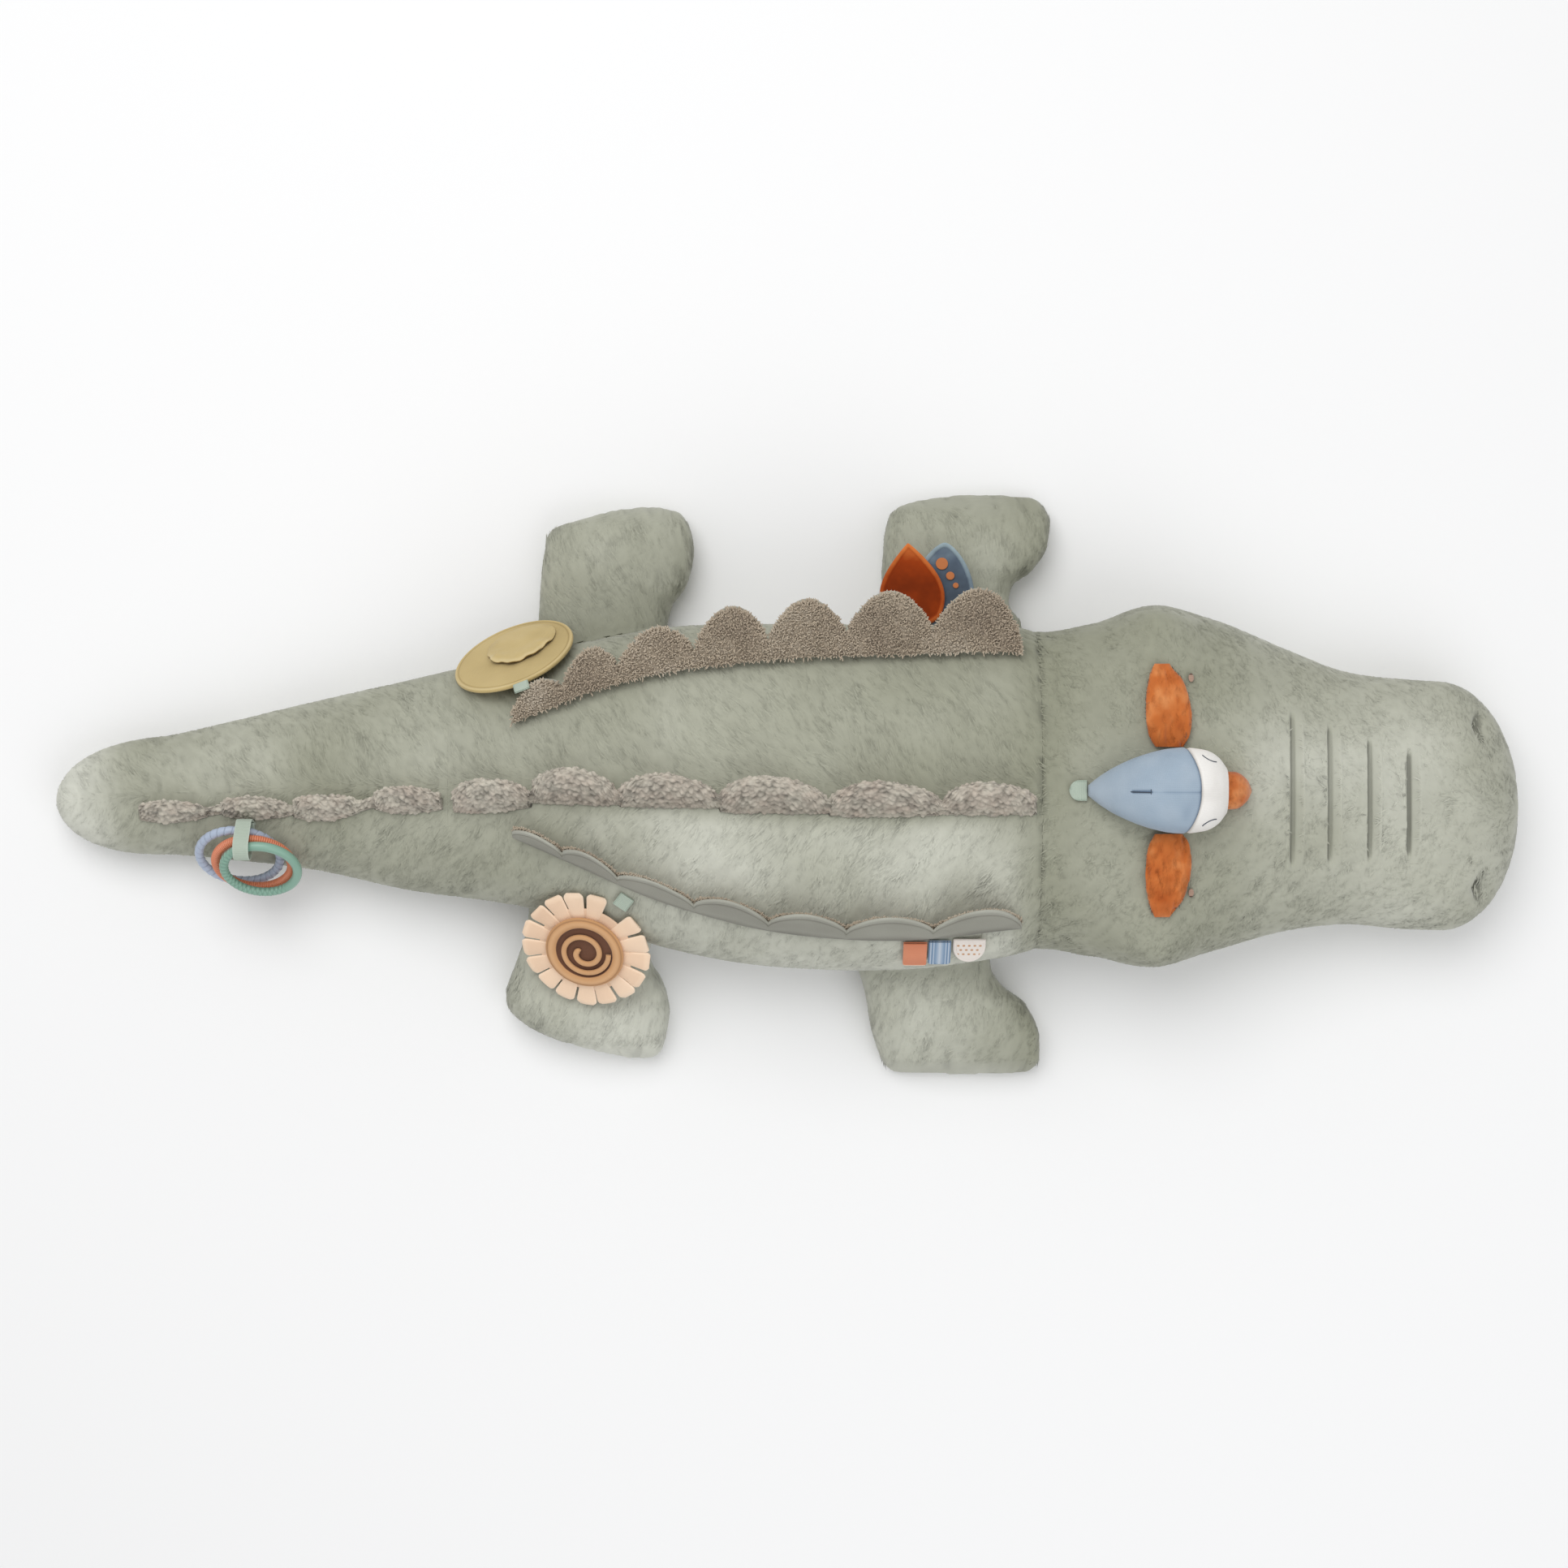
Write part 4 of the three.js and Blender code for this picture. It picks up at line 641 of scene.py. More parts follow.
def studio():
    camera_over_photo()
    area_light("key", (-0.5, 1.2, 2.6), (-25, -12, 0), 2.2, 38)
    area_light("fill", (0.9, -1.3, 2.0), (32, 22, 0), 2.2, 13, (0.95, 0.97, 1))
    world = bpy.data.worlds.new("studio")
    world.use_nodes = True
    world.node_tree.nodes["Background"].inputs["Color"].default_value = (1, 1, 1, 1)
    world.node_tree.nodes["Background"].inputs["Strength"].default_value = 0.56
    bpy.context.scene.world = world
    bpy.context.scene.view_settings.view_transform = "Standard"
    material, _, shader = new_material("floor_paper")
    shader.inputs["Base Color"].default_value = (0.93, 0.93, 0.93, 1)
    corners = [(FLOOR_REACH * x, FLOOR_REACH * y, 0) for x, y in ((-1, -1), (1, -1), (1, 1), (-1, 1))]
    new_piece("floor", corners, [[[0, 1, 2, 3]]], material)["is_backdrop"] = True


studio()


def middle_of(node):
    low, high = (np.array(corner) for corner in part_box(node))
    return (low + high) / 2


def full_turn(columns):
    """Angles of a full turn in so many steps."""
    return np.arange(columns) * 2 * math.pi / columns


def finished(piece, body, node=None):
    """Hide the part a new piece stands for and put the piece on its body. One that lies over a seam has no body
    here.
    """
    if node:
        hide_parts(node)
    if body:
        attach(piece, body)


# Torso, tail and head
SECTION_STEPS = 721


def body_grid(places, columns):
    """Rings of the body's skin at places along it, with equal steps round each, and their points' angles."""
    turn = np.linspace(0, 2 * math.pi, SECTION_STEPS)
    angles = []
    for x in places:
        run = np.linalg.norm(np.diff(body_point(x, turn), axis=0), axis=-1)
        run = np.concatenate([[0], np.cumsum(run)])
        angles.append(np.interp(np.linspace(0, run[-1], columns, endpoint=False), run, turn))
    angles = np.array(angles)
    return body_point(places[:, None], angles), angles


def swept_back(grid, angles, out_share=0.9):
    """The way the pile lies: to the rear and down both flanks."""
    back = -unit(np.gradient(grid, axis=0))
    aside = unit(np.roll(grid, -1, axis=1) - np.roll(grid, 1, axis=1))
    down = np.where(np.sin(angles) > 0, -np.tanh(np.cos(angles) / 0.12), -np.sign(np.cos(angles)))
    return unit(back * (1 - out_share * 0.55) + aside * (down * out_share)[..., None])


def upper_cover(grid):
    """1 where the pile stands, 0 on the pressed belly."""
    n = outward(grid)
    return smooth_step(n[..., 2], -0.85, -0.55) * smooth_step(grid[..., 2], 2 * MM, 7 * MM)


# The skins of tail and head start this far from the torso's at their seams, so that they never cross it
SKIN_GAP = 0.06 * MM
NECK_SEAM_DEPTH, NECK_SEAM_WIDTH = 1.2 * MM, 2.6 * MM


def neck_inset(x):
    return NECK_SEAM_DEPTH * np.exp(-(((x - NECK_X) / NECK_SEAM_WIDTH) ** 2))


def neck_seam_shade(grid):
    """Painted shade in short partings of the pile along the neck's seam."""
    broken = smooth_step(noise(grid, 0.008, 8.8), 0.48, 0.66)
    return 0.4 * bell(grid[..., 0] - NECK_X, NECK_SEAM_WIDTH) * broken


STRAND_LENGTH, STRAND_WIDTH = 6.5 * MM, 2.6 * MM


def body_strands(grid, angles, steep=0.95, shift=0.0):
    """The pile's strands over a grid of the body: they run back and down from the ridge line."""
    run = np.linalg.norm(np.diff(grid, axis=1, append=grid[:, :1]), axis=-1)
    travelled = np.cumsum(run, axis=1) - run
    half_way = np.take_along_axis(travelled, np.argmin(np.abs(angles - math.pi / 2), axis=1)[:, None], 1)
    off = np.sqrt((travelled - half_way) ** 2 + 0.008**2)
    x = grid[..., 0]
    along = off * math.sin(steep) - x * math.cos(steep)
    across = off * math.cos(steep) + x * math.sin(steep) + 0.3 * np.sign(grid[..., 1])
    return strands(along, across, STRAND_LENGTH, STRAND_WIDTH, shift)


torso_grid, torso_angles = body_grid(np.linspace(TAIL_JOINT_X, NECK_X - SKIN_GAP, 252), 290)
# The pile is painted darker along the neck's seam, as shade
torso = fur("torso_fur", torso_grid, swept_back(torso_grid, torso_angles), FUR, upper_cover(torso_grid),
            body_strands(torso_grid, torso_angles), seed=11, inset=neck_inset(torso_grid[..., 0]),
            darker=neck_seam_shade(torso_grid))
finished(torso, "torso", "torso")

tip_places = TAIL_TIP_X + TAIL_ROUND * (1 - np.cos(np.linspace(0.03, 1, 54) * math.pi / 2))
tail_places = np.concatenate([
    tip_places, np.linspace(TAIL_TIP_X + TAIL_ROUND, TAIL_JOINT_X - SKIN_GAP, 130)[1:]])
tail_grid, tail_angles = body_grid(tail_places, 190)
tail = fur("tail_fur", tail_grid, swept_back(tail_grid, tail_angles), FUR, upper_cover(tail_grid),
           body_strands(tail_grid, tail_angles), seed=12)
finished(tail, None, "tail")
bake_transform(tail)

snout_places = -TAIL_TIP_X - SNOUT_ROUND * (1 - np.cos(np.linspace(1, 0.03, 46) * math.pi / 2))
near_channels = [place_along(along) + np.linspace(-3, 9.5, 17) * MM for along, _ in CHANNELS]
head_places = np.unique(np.concatenate([
    np.linspace(NECK_X + SKIN_GAP, -TAIL_TIP_X - SNOUT_ROUND, 200)[:-1], snout_places, *near_channels]))
head_places = head_places[np.append(np.diff(head_places) > 0.25 * MM, True)]
head_grid, head_angles = body_grid(head_places, 270)
EYE_STITCHES = [middle_of("eye_stitch_left"), middle_of("eye_stitch_right")]

# Marks of the face lie above these heights, so that none is drawn on the head's underside
ABOVE_JAW, ABOVE_NOSTRIL, ABOVE_CHEEK = 0.03, 0.04, 0.05
CHANNEL_SEAM, CHANNEL_SEAM_WIDTH = 2.0 * MM, 0.9 * MM
NOSTRIL_FOLD, NOSTRIL_OUT = 6 * MM, 0.0625
BROW_CREASE, BROW_RADIUS = 1.3 * MM, 0.040
EYE_INSET = 0.8 * MM


def pressed_flat(points):
    """1 in the sewn channels across the snout and on the strip of flattened pile in front of each."""
    x, y = points[..., 0], points[..., 1]
    across = y - section_at(x)[4]
    flat = 0
    for along, half in CHANNELS:
        past = x - place_along(along)
        inside = smooth_step(half * BODY_WIDTH - np.abs(across), -2 * MM, 6 * MM)
        strip = smooth_step(past, -2.5 * MM, -1 * MM) * (1 - smooth_step(past, 7 * MM, 10 * MM))
        flat = np.maximum(flat, inside * strip)
    return flat * (points[..., 2] > ABOVE_JAW)


def face_seams(grid):
    """How deep the head's skin is drawn in at its sewn channels, nostrils, eyes and brow creases."""
    x, y, z = np.moveaxis(grid, -1, 0)
    across = y - section_at(x)[4]
    drawn = neck_inset(x)
    for along, half in CHANNELS:
        inside = smooth_step(half * BODY_WIDTH - np.abs(across), -1 * MM, 8 * MM) * (z > ABOVE_JAW)
        drawn = drawn + CHANNEL_SEAM * inside * bell(x - place_along(along), CHANNEL_SEAM_WIDTH)
    for sign in (1, -1):
        aside = across - sign * NOSTRIL_OUT
        fold = bell(x - place_along(NOSTRIL[0]) - 0.35 * np.abs(aside), 2.4 * MM) * bell(aside, 7.5 * MM)
        drawn = drawn + NOSTRIL_FOLD * (fold * (z > ABOVE_NOSTRIL))
        mound = np.hypot(x - place_along(EYE_MOUND[0]), across - sign * EYE_MOUND[1] * BODY_WIDTH)
        crease = bell(mound - BROW_RADIUS, 6 * MM) * (z > ABOVE_CHEEK)
        drawn = drawn + BROW_CREASE * crease * (0.2 + noise(grid, 0.03, 7.0))
    for eye in EYE_STITCHES:
        drawn = drawn + EYE_INSET * bell(np.hypot(x - eye[0], y - eye[1]), 4 * MM) * (z > ABOVE_CHEEK)
    return drawn


def clear_of_eyes(points):
    """True where no wisp would cover a sewn channel or an eye."""
    clear = pressed_flat(points) < 0.35
    for eye in EYE_STITCHES:
        beside = np.hypot(points[:, 0] - eye[0] - 1.5 * MM, (points[:, 1] - eye[1]) * 0.8) > 5 * MM
        clear = clear & (beside | (points[:, 2] < ABOVE_CHEEK))
    return clear


head_seams = face_seams(head_grid)
head_strands = body_strands(head_grid, head_angles, 0.7, 3.0)
# The pile is curlier on the head's left side, and softer than on the body
curly = smooth_step(head_grid[..., 1], -0.01, 0.02)
head_strands = head_strands * (1 - 0.6 * curly) + 0.6 * curly * noise(head_grid, 0.0042, 3.0)
head_strands = 0.5 + 0.8 * (head_strands - 0.5)
# Painted shade darkens the pile along the neck's seam and where the skin is drawn in at the channels, nostrils,
# brow creases and eyes
head = fur("head_fur", head_grid, swept_back(head_grid, head_angles, 0.7), FUR,
           upper_cover(head_grid) * (1 - 0.8 * pressed_flat(head_grid)), head_strands, length=7.0, width=1.8,
           spacing=2.7, depth=2.2, spread=0.6, seed=13, inset=head_seams, clear=clear_of_eyes,
           darker=neck_seam_shade(head_grid) + 0.6 * smooth_step(head_seams, 0.9 * MM, 2 * MM))
finished(head, None, "head")
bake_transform(head)


# Legs: fur clubs that lie on the floor, with their inner ends fitted to the flank
LEG_LENGTH, LEG_WIDTH, LEG_HEIGHT, LEG_TUCK, LEG_FULLNESS = 0.140, 0.120, 0.052, 0.030, 2.6
LEG_CORNER, LEG_COLUMNS = 14 * MM, 150
# For each leg: the side it is on, its place along the body, and rows of share out, rear, front and thickness
LEGS = {
    "leg_rear_left": (1, 0.373, [
        [0.0, -0.42, 0.44, 0.8], [0.245, -0.415, 0.443, 0.86], [0.416, -0.398, 0.485, 0.95],
        [0.531, -0.39, 0.577, 1.0], [0.716, -0.365, 0.627, 1.0], [0.852, -0.307, 0.602, 0.9],
        [0.93, -0.057, 0.552, 0.7], [0.973, 0.135, 0.485, 0.46], [0.995, 0.31, 0.326, 0.2]]),
    "leg_front_left": (1, 0.615, [
        [0.0, -0.45, 0.46, 0.8], [0.237, -0.453, 0.463, 0.86], [0.33, -0.462, 0.388, 0.92],
        [0.444, -0.462, 0.413, 0.97], [0.516, -0.462, 0.522, 1.0], [0.63, -0.453, 0.622, 1.0],
        [0.723, -0.445, 0.647, 0.96], [0.816, -0.42, 0.655, 0.84], [0.88, -0.387, 0.63, 0.66],
        [0.944, -0.178, 0.597, 0.4], [0.98, 0.164, 0.18, 0.18]]),
    "leg_rear_right": (-1, 0.364, [
        [0.0, -0.38, 0.44, 0.8], [0.24, -0.39, 0.44, 0.84], [0.322, -0.412, 0.438, 0.88],
        [0.43, -0.454, 0.42, 0.94], [0.544, -0.504, 0.496, 1.0], [0.615, -0.529, 0.529, 1.0],
        [0.722, -0.512, 0.554, 1.0], [0.836, -0.362, 0.538, 0.9], [0.929, -0.112, 0.512, 0.72],
        [0.994, 0.179, 0.471, 0.46], [1.03, 0.346, 0.362, 0.2]]),
    "leg_front_right": (-1, 0.605, [
        [0.0, -0.5, 0.38, 0.8], [0.218, -0.524, 0.359, 0.86], [0.332, -0.491, 0.426, 0.94],
        [0.425, -0.466, 0.568, 1.0], [0.582, -0.437, 0.668, 1.0], [0.746, -0.374, 0.684, 0.78],
        [0.796, -0.341, 0.676, 0.6], [0.846, -0.274, 0.626, 0.3], [0.86, 0.172, 0.188, 0.16]]),
}


def flank_at(x, z, sign, grow):
    """How far out the body's side is at that height, grown outwards."""
    half, mid, up, down, side, fullness = section_at(x)
    reach = np.where(z >= mid, up, down) + grow
    power = np.where(z >= mid, fullness, UNDER_FULLNESS)
    rise = np.clip(np.abs(z - mid) / reach, 0, 1) ** (power / 2)
    return side + sign * (half + grow) * np.sqrt(np.clip(1 - rise**2, 0, 1)) ** (2 / power)


def rounded_plan(out, rear, front):
    """The leg's outline with every outer corner rounded: what a disc of LEG_CORNER can sweep inside it."""
    apart = np.abs(out[:, None] - out)
    reach = np.where(apart < LEG_CORNER, np.sqrt(np.clip(LEG_CORNER**2 - apart**2, 0, None)), -np.inf)
    highest = (front - reach).min(1)
    lowest = (rear + reach).max(1)
    fits = (highest > lowest) & (out < out[-1] - LEG_CORNER)
    return (lowest - reach)[:, fits].min(1), (highest + reach)[:, fits].max(1)


def leg_grid(sign, along, rows):
    root_x = place_along(along)
    half, _, _, _, side, _ = section_at(root_x)
    root_y = side + sign * (half - LEG_TUCK)
    rows = np.asarray(rows, float)
    out = np.concatenate([np.linspace(0, rows[-3, 0], 66)[:-1], np.linspace(rows[-3, 0], rows[-1, 0], 30)])
    rear, front, thick = (smooth_at(rows, out, k) for k in (1, 2, 3))
    height = (thick * LEG_HEIGHT)[:, None]
    rear, front = rounded_plan(out * LEG_LENGTH, rear * LEG_WIDTH, front * LEG_WIDTH)
    swept = np.isfinite(rear)
    out, height, rear, front = out[swept], height[swept], rear[swept], front[swept]
    middle, half_width = ((rear + front) / 2)[:, None], ((front - rear) / 2)[:, None]
    angle = full_turn(LEG_COLUMNS)
    rise = signed_power(np.sin(angle), 2 / LEG_FULLNESS)
    across = signed_power(np.cos(angle), 2 / LEG_FULLNESS)
    reach = np.where(rise < 0, MID_SHARE * height + BELLY_CUT, (1 - MID_SHARE) * height)
    z = np.maximum(MID_SHARE * height + reach * rise, 0)
    x = root_x + middle + half_width * across
    y = np.broadcast_to(root_y + sign * out[:, None] * LEG_LENGTH, x.shape)
    flank = flank_at(x, z, sign, SEAM_GAP + 0.5 * MM)
    y = np.where(sign * (y - flank) < 0, flank, y)
    return np.stack([x, y, z], -1)


for number, (name, (sign, along, rows)) in enumerate(LEGS.items()):
    grid = leg_grid(sign, along, rows)
    x, y, z = np.moveaxis(grid, -1, 0)
    outwards = np.broadcast_to([-0.35, sign, 0.0], grid.shape)
    lies_out = smooth_step(sign * (y - flank_at(x, z, sign, 0)), 0.6 * MM, 3 * MM)
    lie = strands(sign * y - 0.3 * x, x + 0.3 * sign * y + number, 9 * MM, STRAND_WIDTH)
    outer = (sign * y).max() - LEG_CORNER
    leg = fur(name + "_fur", grid, outwards, FUR, upper_cover(grid) * lies_out, lie, seed=20 + number,
              clear=lambda place: sign * place[:, 1] < outer)
    finished(leg, name, name)


# Spine ridge: stuffed scallops knitted from thick chenille, leaning to the toy's left
SPINE_HEIGHT, SPINE_THICKNESS, SPINE_END_GAP = 0.034, 0.024, 0.0015
SPINE_LEAN, SPINE_SWELL, SPINE_CROWN, SPINE_VALLEY = 0.42, 0.6, 0.8, 0.45
SPINE_SAG = 0.35
KNIT_POINTS, KNIT_PITCH, NUB_CELLS = 96, 5.6 * MM, 96
# Rows of start, end, sideways place, height and thickness of the scallops, as shares
SPINE_TAIL = [
    [0.0621, 0.1116, -0.062, 0.6, 0.7], [0.1208, 0.1699, -0.05, 0.62, 0.72],
    [0.1699, 0.2168, -0.052, 0.7, 0.8], [0.2263, 0.2751, -0.03, 0.78, 0.78]]
SPINE_BACK = [
    [0.2795, 0.3336, -0.022, 0.95, 0.95], [0.3336, 0.3914, 0.006, 1.0, 1.0],
    [0.3914, 0.4574, -0.006, 0.95, 0.92], [0.4574, 0.5287, -0.018, 1.0, 1.0],
    [0.5287, 0.6021, -0.03, 0.95, 0.98], [0.6021, 0.6665, -0.028, 0.9, 0.92]]


def spine_grid(rows, sag, steps, arc_points):
    """Rings across a run of scallops. Its valleys sag to the right by a share of the thickness."""
    xs, y0s, lifts, halves = [], [], [], []
    for n, (start, end, side, height, thickness) in enumerate(rows):
        joined = n > 0 and rows[n - 1][1] == start
        share = np.linspace(0, 1, steps + 1)[1 if joined else 0:]
        following = rows[n + 1] if n + 1 < len(rows) else None
        x = place_along(start + (end - start) * share)
        if n == 0:
            x = np.maximum(x, place_along(start) + SPINE_END_GAP)
        if following is None:
            x = np.minimum(x, place_along(end) - SPINE_END_GAP)
        swell = np.sin(math.pi * share**0.85) ** SPINE_SWELL
        blend = SPINE_VALLEY + (1 - SPINE_VALLEY) * swell
        shift = (following[2] - side) * np.maximum(share - 0.5, 0) if following else 0 * share
        xs.append(x)
        y0s.append((side + shift) * BODY_WIDTH - sag * SPINE_THICKNESS * thickness * (1 - blend))
        lifts.append(SPINE_HEIGHT * height * blend)
        halves.append(SPINE_THICKNESS / 2 * thickness * blend)
    x = np.concatenate(xs)
    gaps = [np.linspace(a, b, 16) for a, b in zip(x, x[1:]) if b - a > 2 * MM]
    even = np.unique(np.concatenate([x] + gaps))
    y0, lift, half = (np.interp(even, x, np.concatenate(v))[:, None] for v in (y0s, lifts, halves))
    x = even[:, None]
    arc = np.linspace(0, math.pi, arc_points)
    up = lift * np.sin(arc) ** SPINE_CROWN
    y = y0 + half * np.cos(arc) + SPINE_LEAN * up
    z = np.maximum(top_of(x, y0) + up, top_of(x, y)) + LAY_GAP
    top = np.stack([np.broadcast_to(x, y.shape), y, z], -1)
    under = y0 + half * np.linspace(-0.8, 0.8, 5)
    floor = np.stack([np.broadcast_to(x, under.shape), under, top_of(x, under) + LAY_GAP], -1)
    return np.concatenate([top, floor], 1)


def popcorn(grid, pitch, rng):
    """Uneven chenille nubs in rows: how far each point stands out from the gaps between them, from 0 to 1."""
    along = np.concatenate([[0], np.cumsum(np.linalg.norm(np.diff(grid, axis=0), axis=-1).mean(1))])[:, None]
    aside = np.cumsum(np.linalg.norm(np.diff(grid, axis=1, prepend=grid[:, :1]), axis=-1), axis=1)
    u = along / pitch + 0.5 * (noise(grid, 0.011, 3.1) - 0.5)
    v = aside / pitch + 0.7 * (noise(grid, 0.014, 6.6) - 0.5)
    shake = rng.uniform(-0.42, 0.42, (NUB_CELLS, NUB_CELLS, 2))
    near = np.full((2, *v.shape), 9.0)
    for row in (-1, 0, 1):
        j = np.floor(v).astype(int) + row
        shifted = u + 0.5 * (j % 2)
        for step in (-1, 0, 1):
            i = np.floor(shifted).astype(int) + step
            s = shake[i % NUB_CELLS, j % NUB_CELLS]
            apart = np.hypot(shifted - (i + 0.5 + s[..., 0]), v - (j + 0.5 + s[..., 1]))
            near[1] = np.minimum(near[1], np.maximum(near[0], apart))
            near[0] = np.minimum(near[0], apart)
    return smooth_step(near[1] - near[0], -0.1, 0.75)


def knitted(name, node, body, rows, sag, seed):
    grid = spine_grid(rows, sag, 100, KNIT_POINTS)
    n = outward(grid)
    rng = np.random.default_rng(seed)
    nub = popcorn(grid, KNIT_PITCH, rng)
    fine = noise(grid, 0.0011) - 0.5
    rough = noise(grid, 0.0034, 2.2) - 0.5
    sunk = np.maximum(1 + 1.5 * (1 - nub) + 2.4 * rough + 0.8 * fine, 0) * MM
    # The strip that lies on the back stays flat
    sunk[:, KNIT_POINTS:] = 0
    skin = grid - n * sunk[..., None]
    points = with_ends(skin)
    faces = closed_faces(points, grid)
    # Painted shade: darker in the gaps between nubs and where the knit sinks into hollows
    gap = (1 - nub) * smooth_step(noise(grid, 0.004, 1.9), 0.42, 0.62)
    tone = np.append((0.74 - 0.5 * gap - 0.9 * rough + 0.4 * fine).ravel(), [0.4, 0.4])
    warm = 0.5 + 0.6 * (noise(points, 0.012, 4.4) - 0.5) + 0.3 * (noise(points, 0.003, 8.1) - 0.5)
    piece = new_piece(name, points, faces, KNIT, palette=(np.clip(tone, 0, 1), np.clip(warm, 0, 1)))
    finished(piece, body, node)
    return piece


KNIT = pile_material("chenille_knit", (180, 166, 153), (185, 177, 164), (192, 188, 174), 0.15)
knitted("spine_back_knit", "spine_ridge_back", "torso", SPINE_BACK, SPINE_SAG, 31)
spine_tail = knitted("spine_tail_knit", "spine_ridge_tail", None, SPINE_TAIL, 0, 32)
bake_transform(spine_tail)


# Side ridges: a terry flap and a cotton flap sewn back to back
SIDE_SEAM = [[0.3176, 0.148], [0.3567, 0.2185], [0.3949, 0.2815], [0.4305, 0.326],
             [0.4922, 0.374], [0.5521, 0.3926], [0.6043, 0.3926], [0.6564, 0.3815]]
SIDE_SCALLOPS = [[0.321, 0.3541, 0.5], [0.3541, 0.3905, 0.7], [0.3905, 0.4409, 0.74], [0.4409, 0.4896, 0.9],
                 [0.4896, 0.5408, 0.92], [0.5408, 0.5977, 1.0], [0.5977, 0.6564, 1.0]]
SIDE_HEIGHT, SIDE_VALLEY, SIDE_LIFT, SIDE_SWELL = 0.050, 0.3, 0.003, 0.7
TERRY_THICKNESS, COTTON_THICKNESS = 0.006, 0.0032
# Each ridge's lean out from upright, in degrees
LEFT_LEAN, RIGHT_LEAN = 66, -21
# Steps up a flap crowd towards its rim by this power, and the rim is rounded above RIM_START
RUNG_POWER, RIM_START = 1.4, 0.88


def way_up(side, lean):
    return np.array([0, side * math.sin(math.radians(lean)), math.cos(math.radians(lean))])


def ridge_grid(side, lean, low, high, steps, rungs, tall=1.0):
    """Rings of a flap that stands on the seam between two distances from its middle plane."""
    up = way_up(side, lean)
    across = np.array([0, -side * up[2], side * up[1]])
    places, flaps = [], []
    for n, (start, end, height) in enumerate(SIDE_SCALLOPS):
        share = np.linspace(0, 1, steps + 1)[1 if n else 0:]
        swell = np.sin(math.pi * share) ** SIDE_SWELL
        peak = np.full(len(share), height)
        if n + 1 < len(SIDE_SCALLOPS):
            peak += (SIDE_SCALLOPS[n + 1][2] - height) / 2 * smooth_step(share, 0.7, 1)
        valley = SIDE_VALLEY
        if n + 1 == len(SIDE_SCALLOPS):
            valley = SIDE_VALLEY * (1 - 0.7 * smooth_step(share, 0.6, 1))
        places.append(start + (end - start) * share)
        flaps.append(SIDE_HEIGHT * peak * (valley + (1 - valley) * swell))
    place, flap = np.concatenate(places), tall * np.concatenate(flaps)[:, None]
    x = place_along(place)
    y = section_at(x)[4] + side * smooth_at(SIDE_SEAM, place, 1) * BODY_WIDTH
    base = np.stack([x, y, top_of(x, y) + LAY_GAP], -1) + up * SIDE_LIFT
    height = 1 - (1 - np.linspace(0, 1, rungs)) ** RUNG_POWER
    middle, half = (low + high) / 2, (high - low) / 2
    round_end = np.sqrt(np.clip(1 - (np.clip(height - RIM_START, 0, 1) / (1 - RIM_START)) ** 2, 0, 1))
    belly = 1 + 0.5 * np.sin(math.pi * height)
    outer = 1 if abs(high) > abs(low) else -1
    far = middle + outer * half * round_end * belly
    near = middle - outer * half * round_end
    run = np.concatenate([height, height[::-1][1:]])
    out = np.concatenate([far, near[::-1][1:]])
    grid = base[:, None] + (flap * run)[..., None] * up + out[:, None] * across
    grid[..., 2] = np.maximum(grid[..., 2], top_of(grid[..., 0], grid[..., 1]) + LAY_GAP)
    return grid


def yarn_ends(root, course, length, radius, rng):
    """Points, faces and tones of short blunt bits of yarn: closed four-sided bodies that bend a little."""
    count = len(root)
    first = unit(np.cross(course, rng.normal(0, 1, course.shape)))
    second = np.cross(course, first)
    l = (length * rng.uniform(0.75, 1.3, count))[:, None]
    bend = first * (0.35 * l)
    rings = []
    for share, wide in ((0, 0.8), (0.45, 1.0), (0.85, 0.85)):
        middle = root + course * l * share + bend * share**2
        rings += [middle + out * radius * wide for out in (first, second, -first, -second)]
    tip = root + course * l + bend
    points = np.stack(rings + [tip], 1)
    base = (np.arange(count) * 13)[:, None, None]
    quads = np.array([[r * 4 + k, r * 4 + (k + 1) % 4, (r + 1) * 4 + (k + 1) % 4, (r + 1) * 4 + k]
                      for r in range(2) for k in range(4)] + [[3, 2, 1, 0]])
    caps = np.array([[8 + k, 8 + (k + 1) % 4, 12] for k in range(4)])
    # Each yarn end is painted darker at its root and lighter towards its tip: painted shade down among the yarn
    tone = np.repeat([0.4, 0.55, 0.66, 0.75], [4, 4, 4, 1]) + rng.uniform(-0.1, 0.1, count)[:, None]
    return points.reshape(-1, 3), [(base + quads).reshape(-1, 4), (base + caps).reshape(-1, 3)], tone.ravel()


TERRY_RUNGS, TERRY_DEPTH = 16, 1.4 * MM
YARN_SPACING, YARN_ROOT, YARN_RADIUS = 1.45 * MM, 1.8 * MM, 0.62 * MM


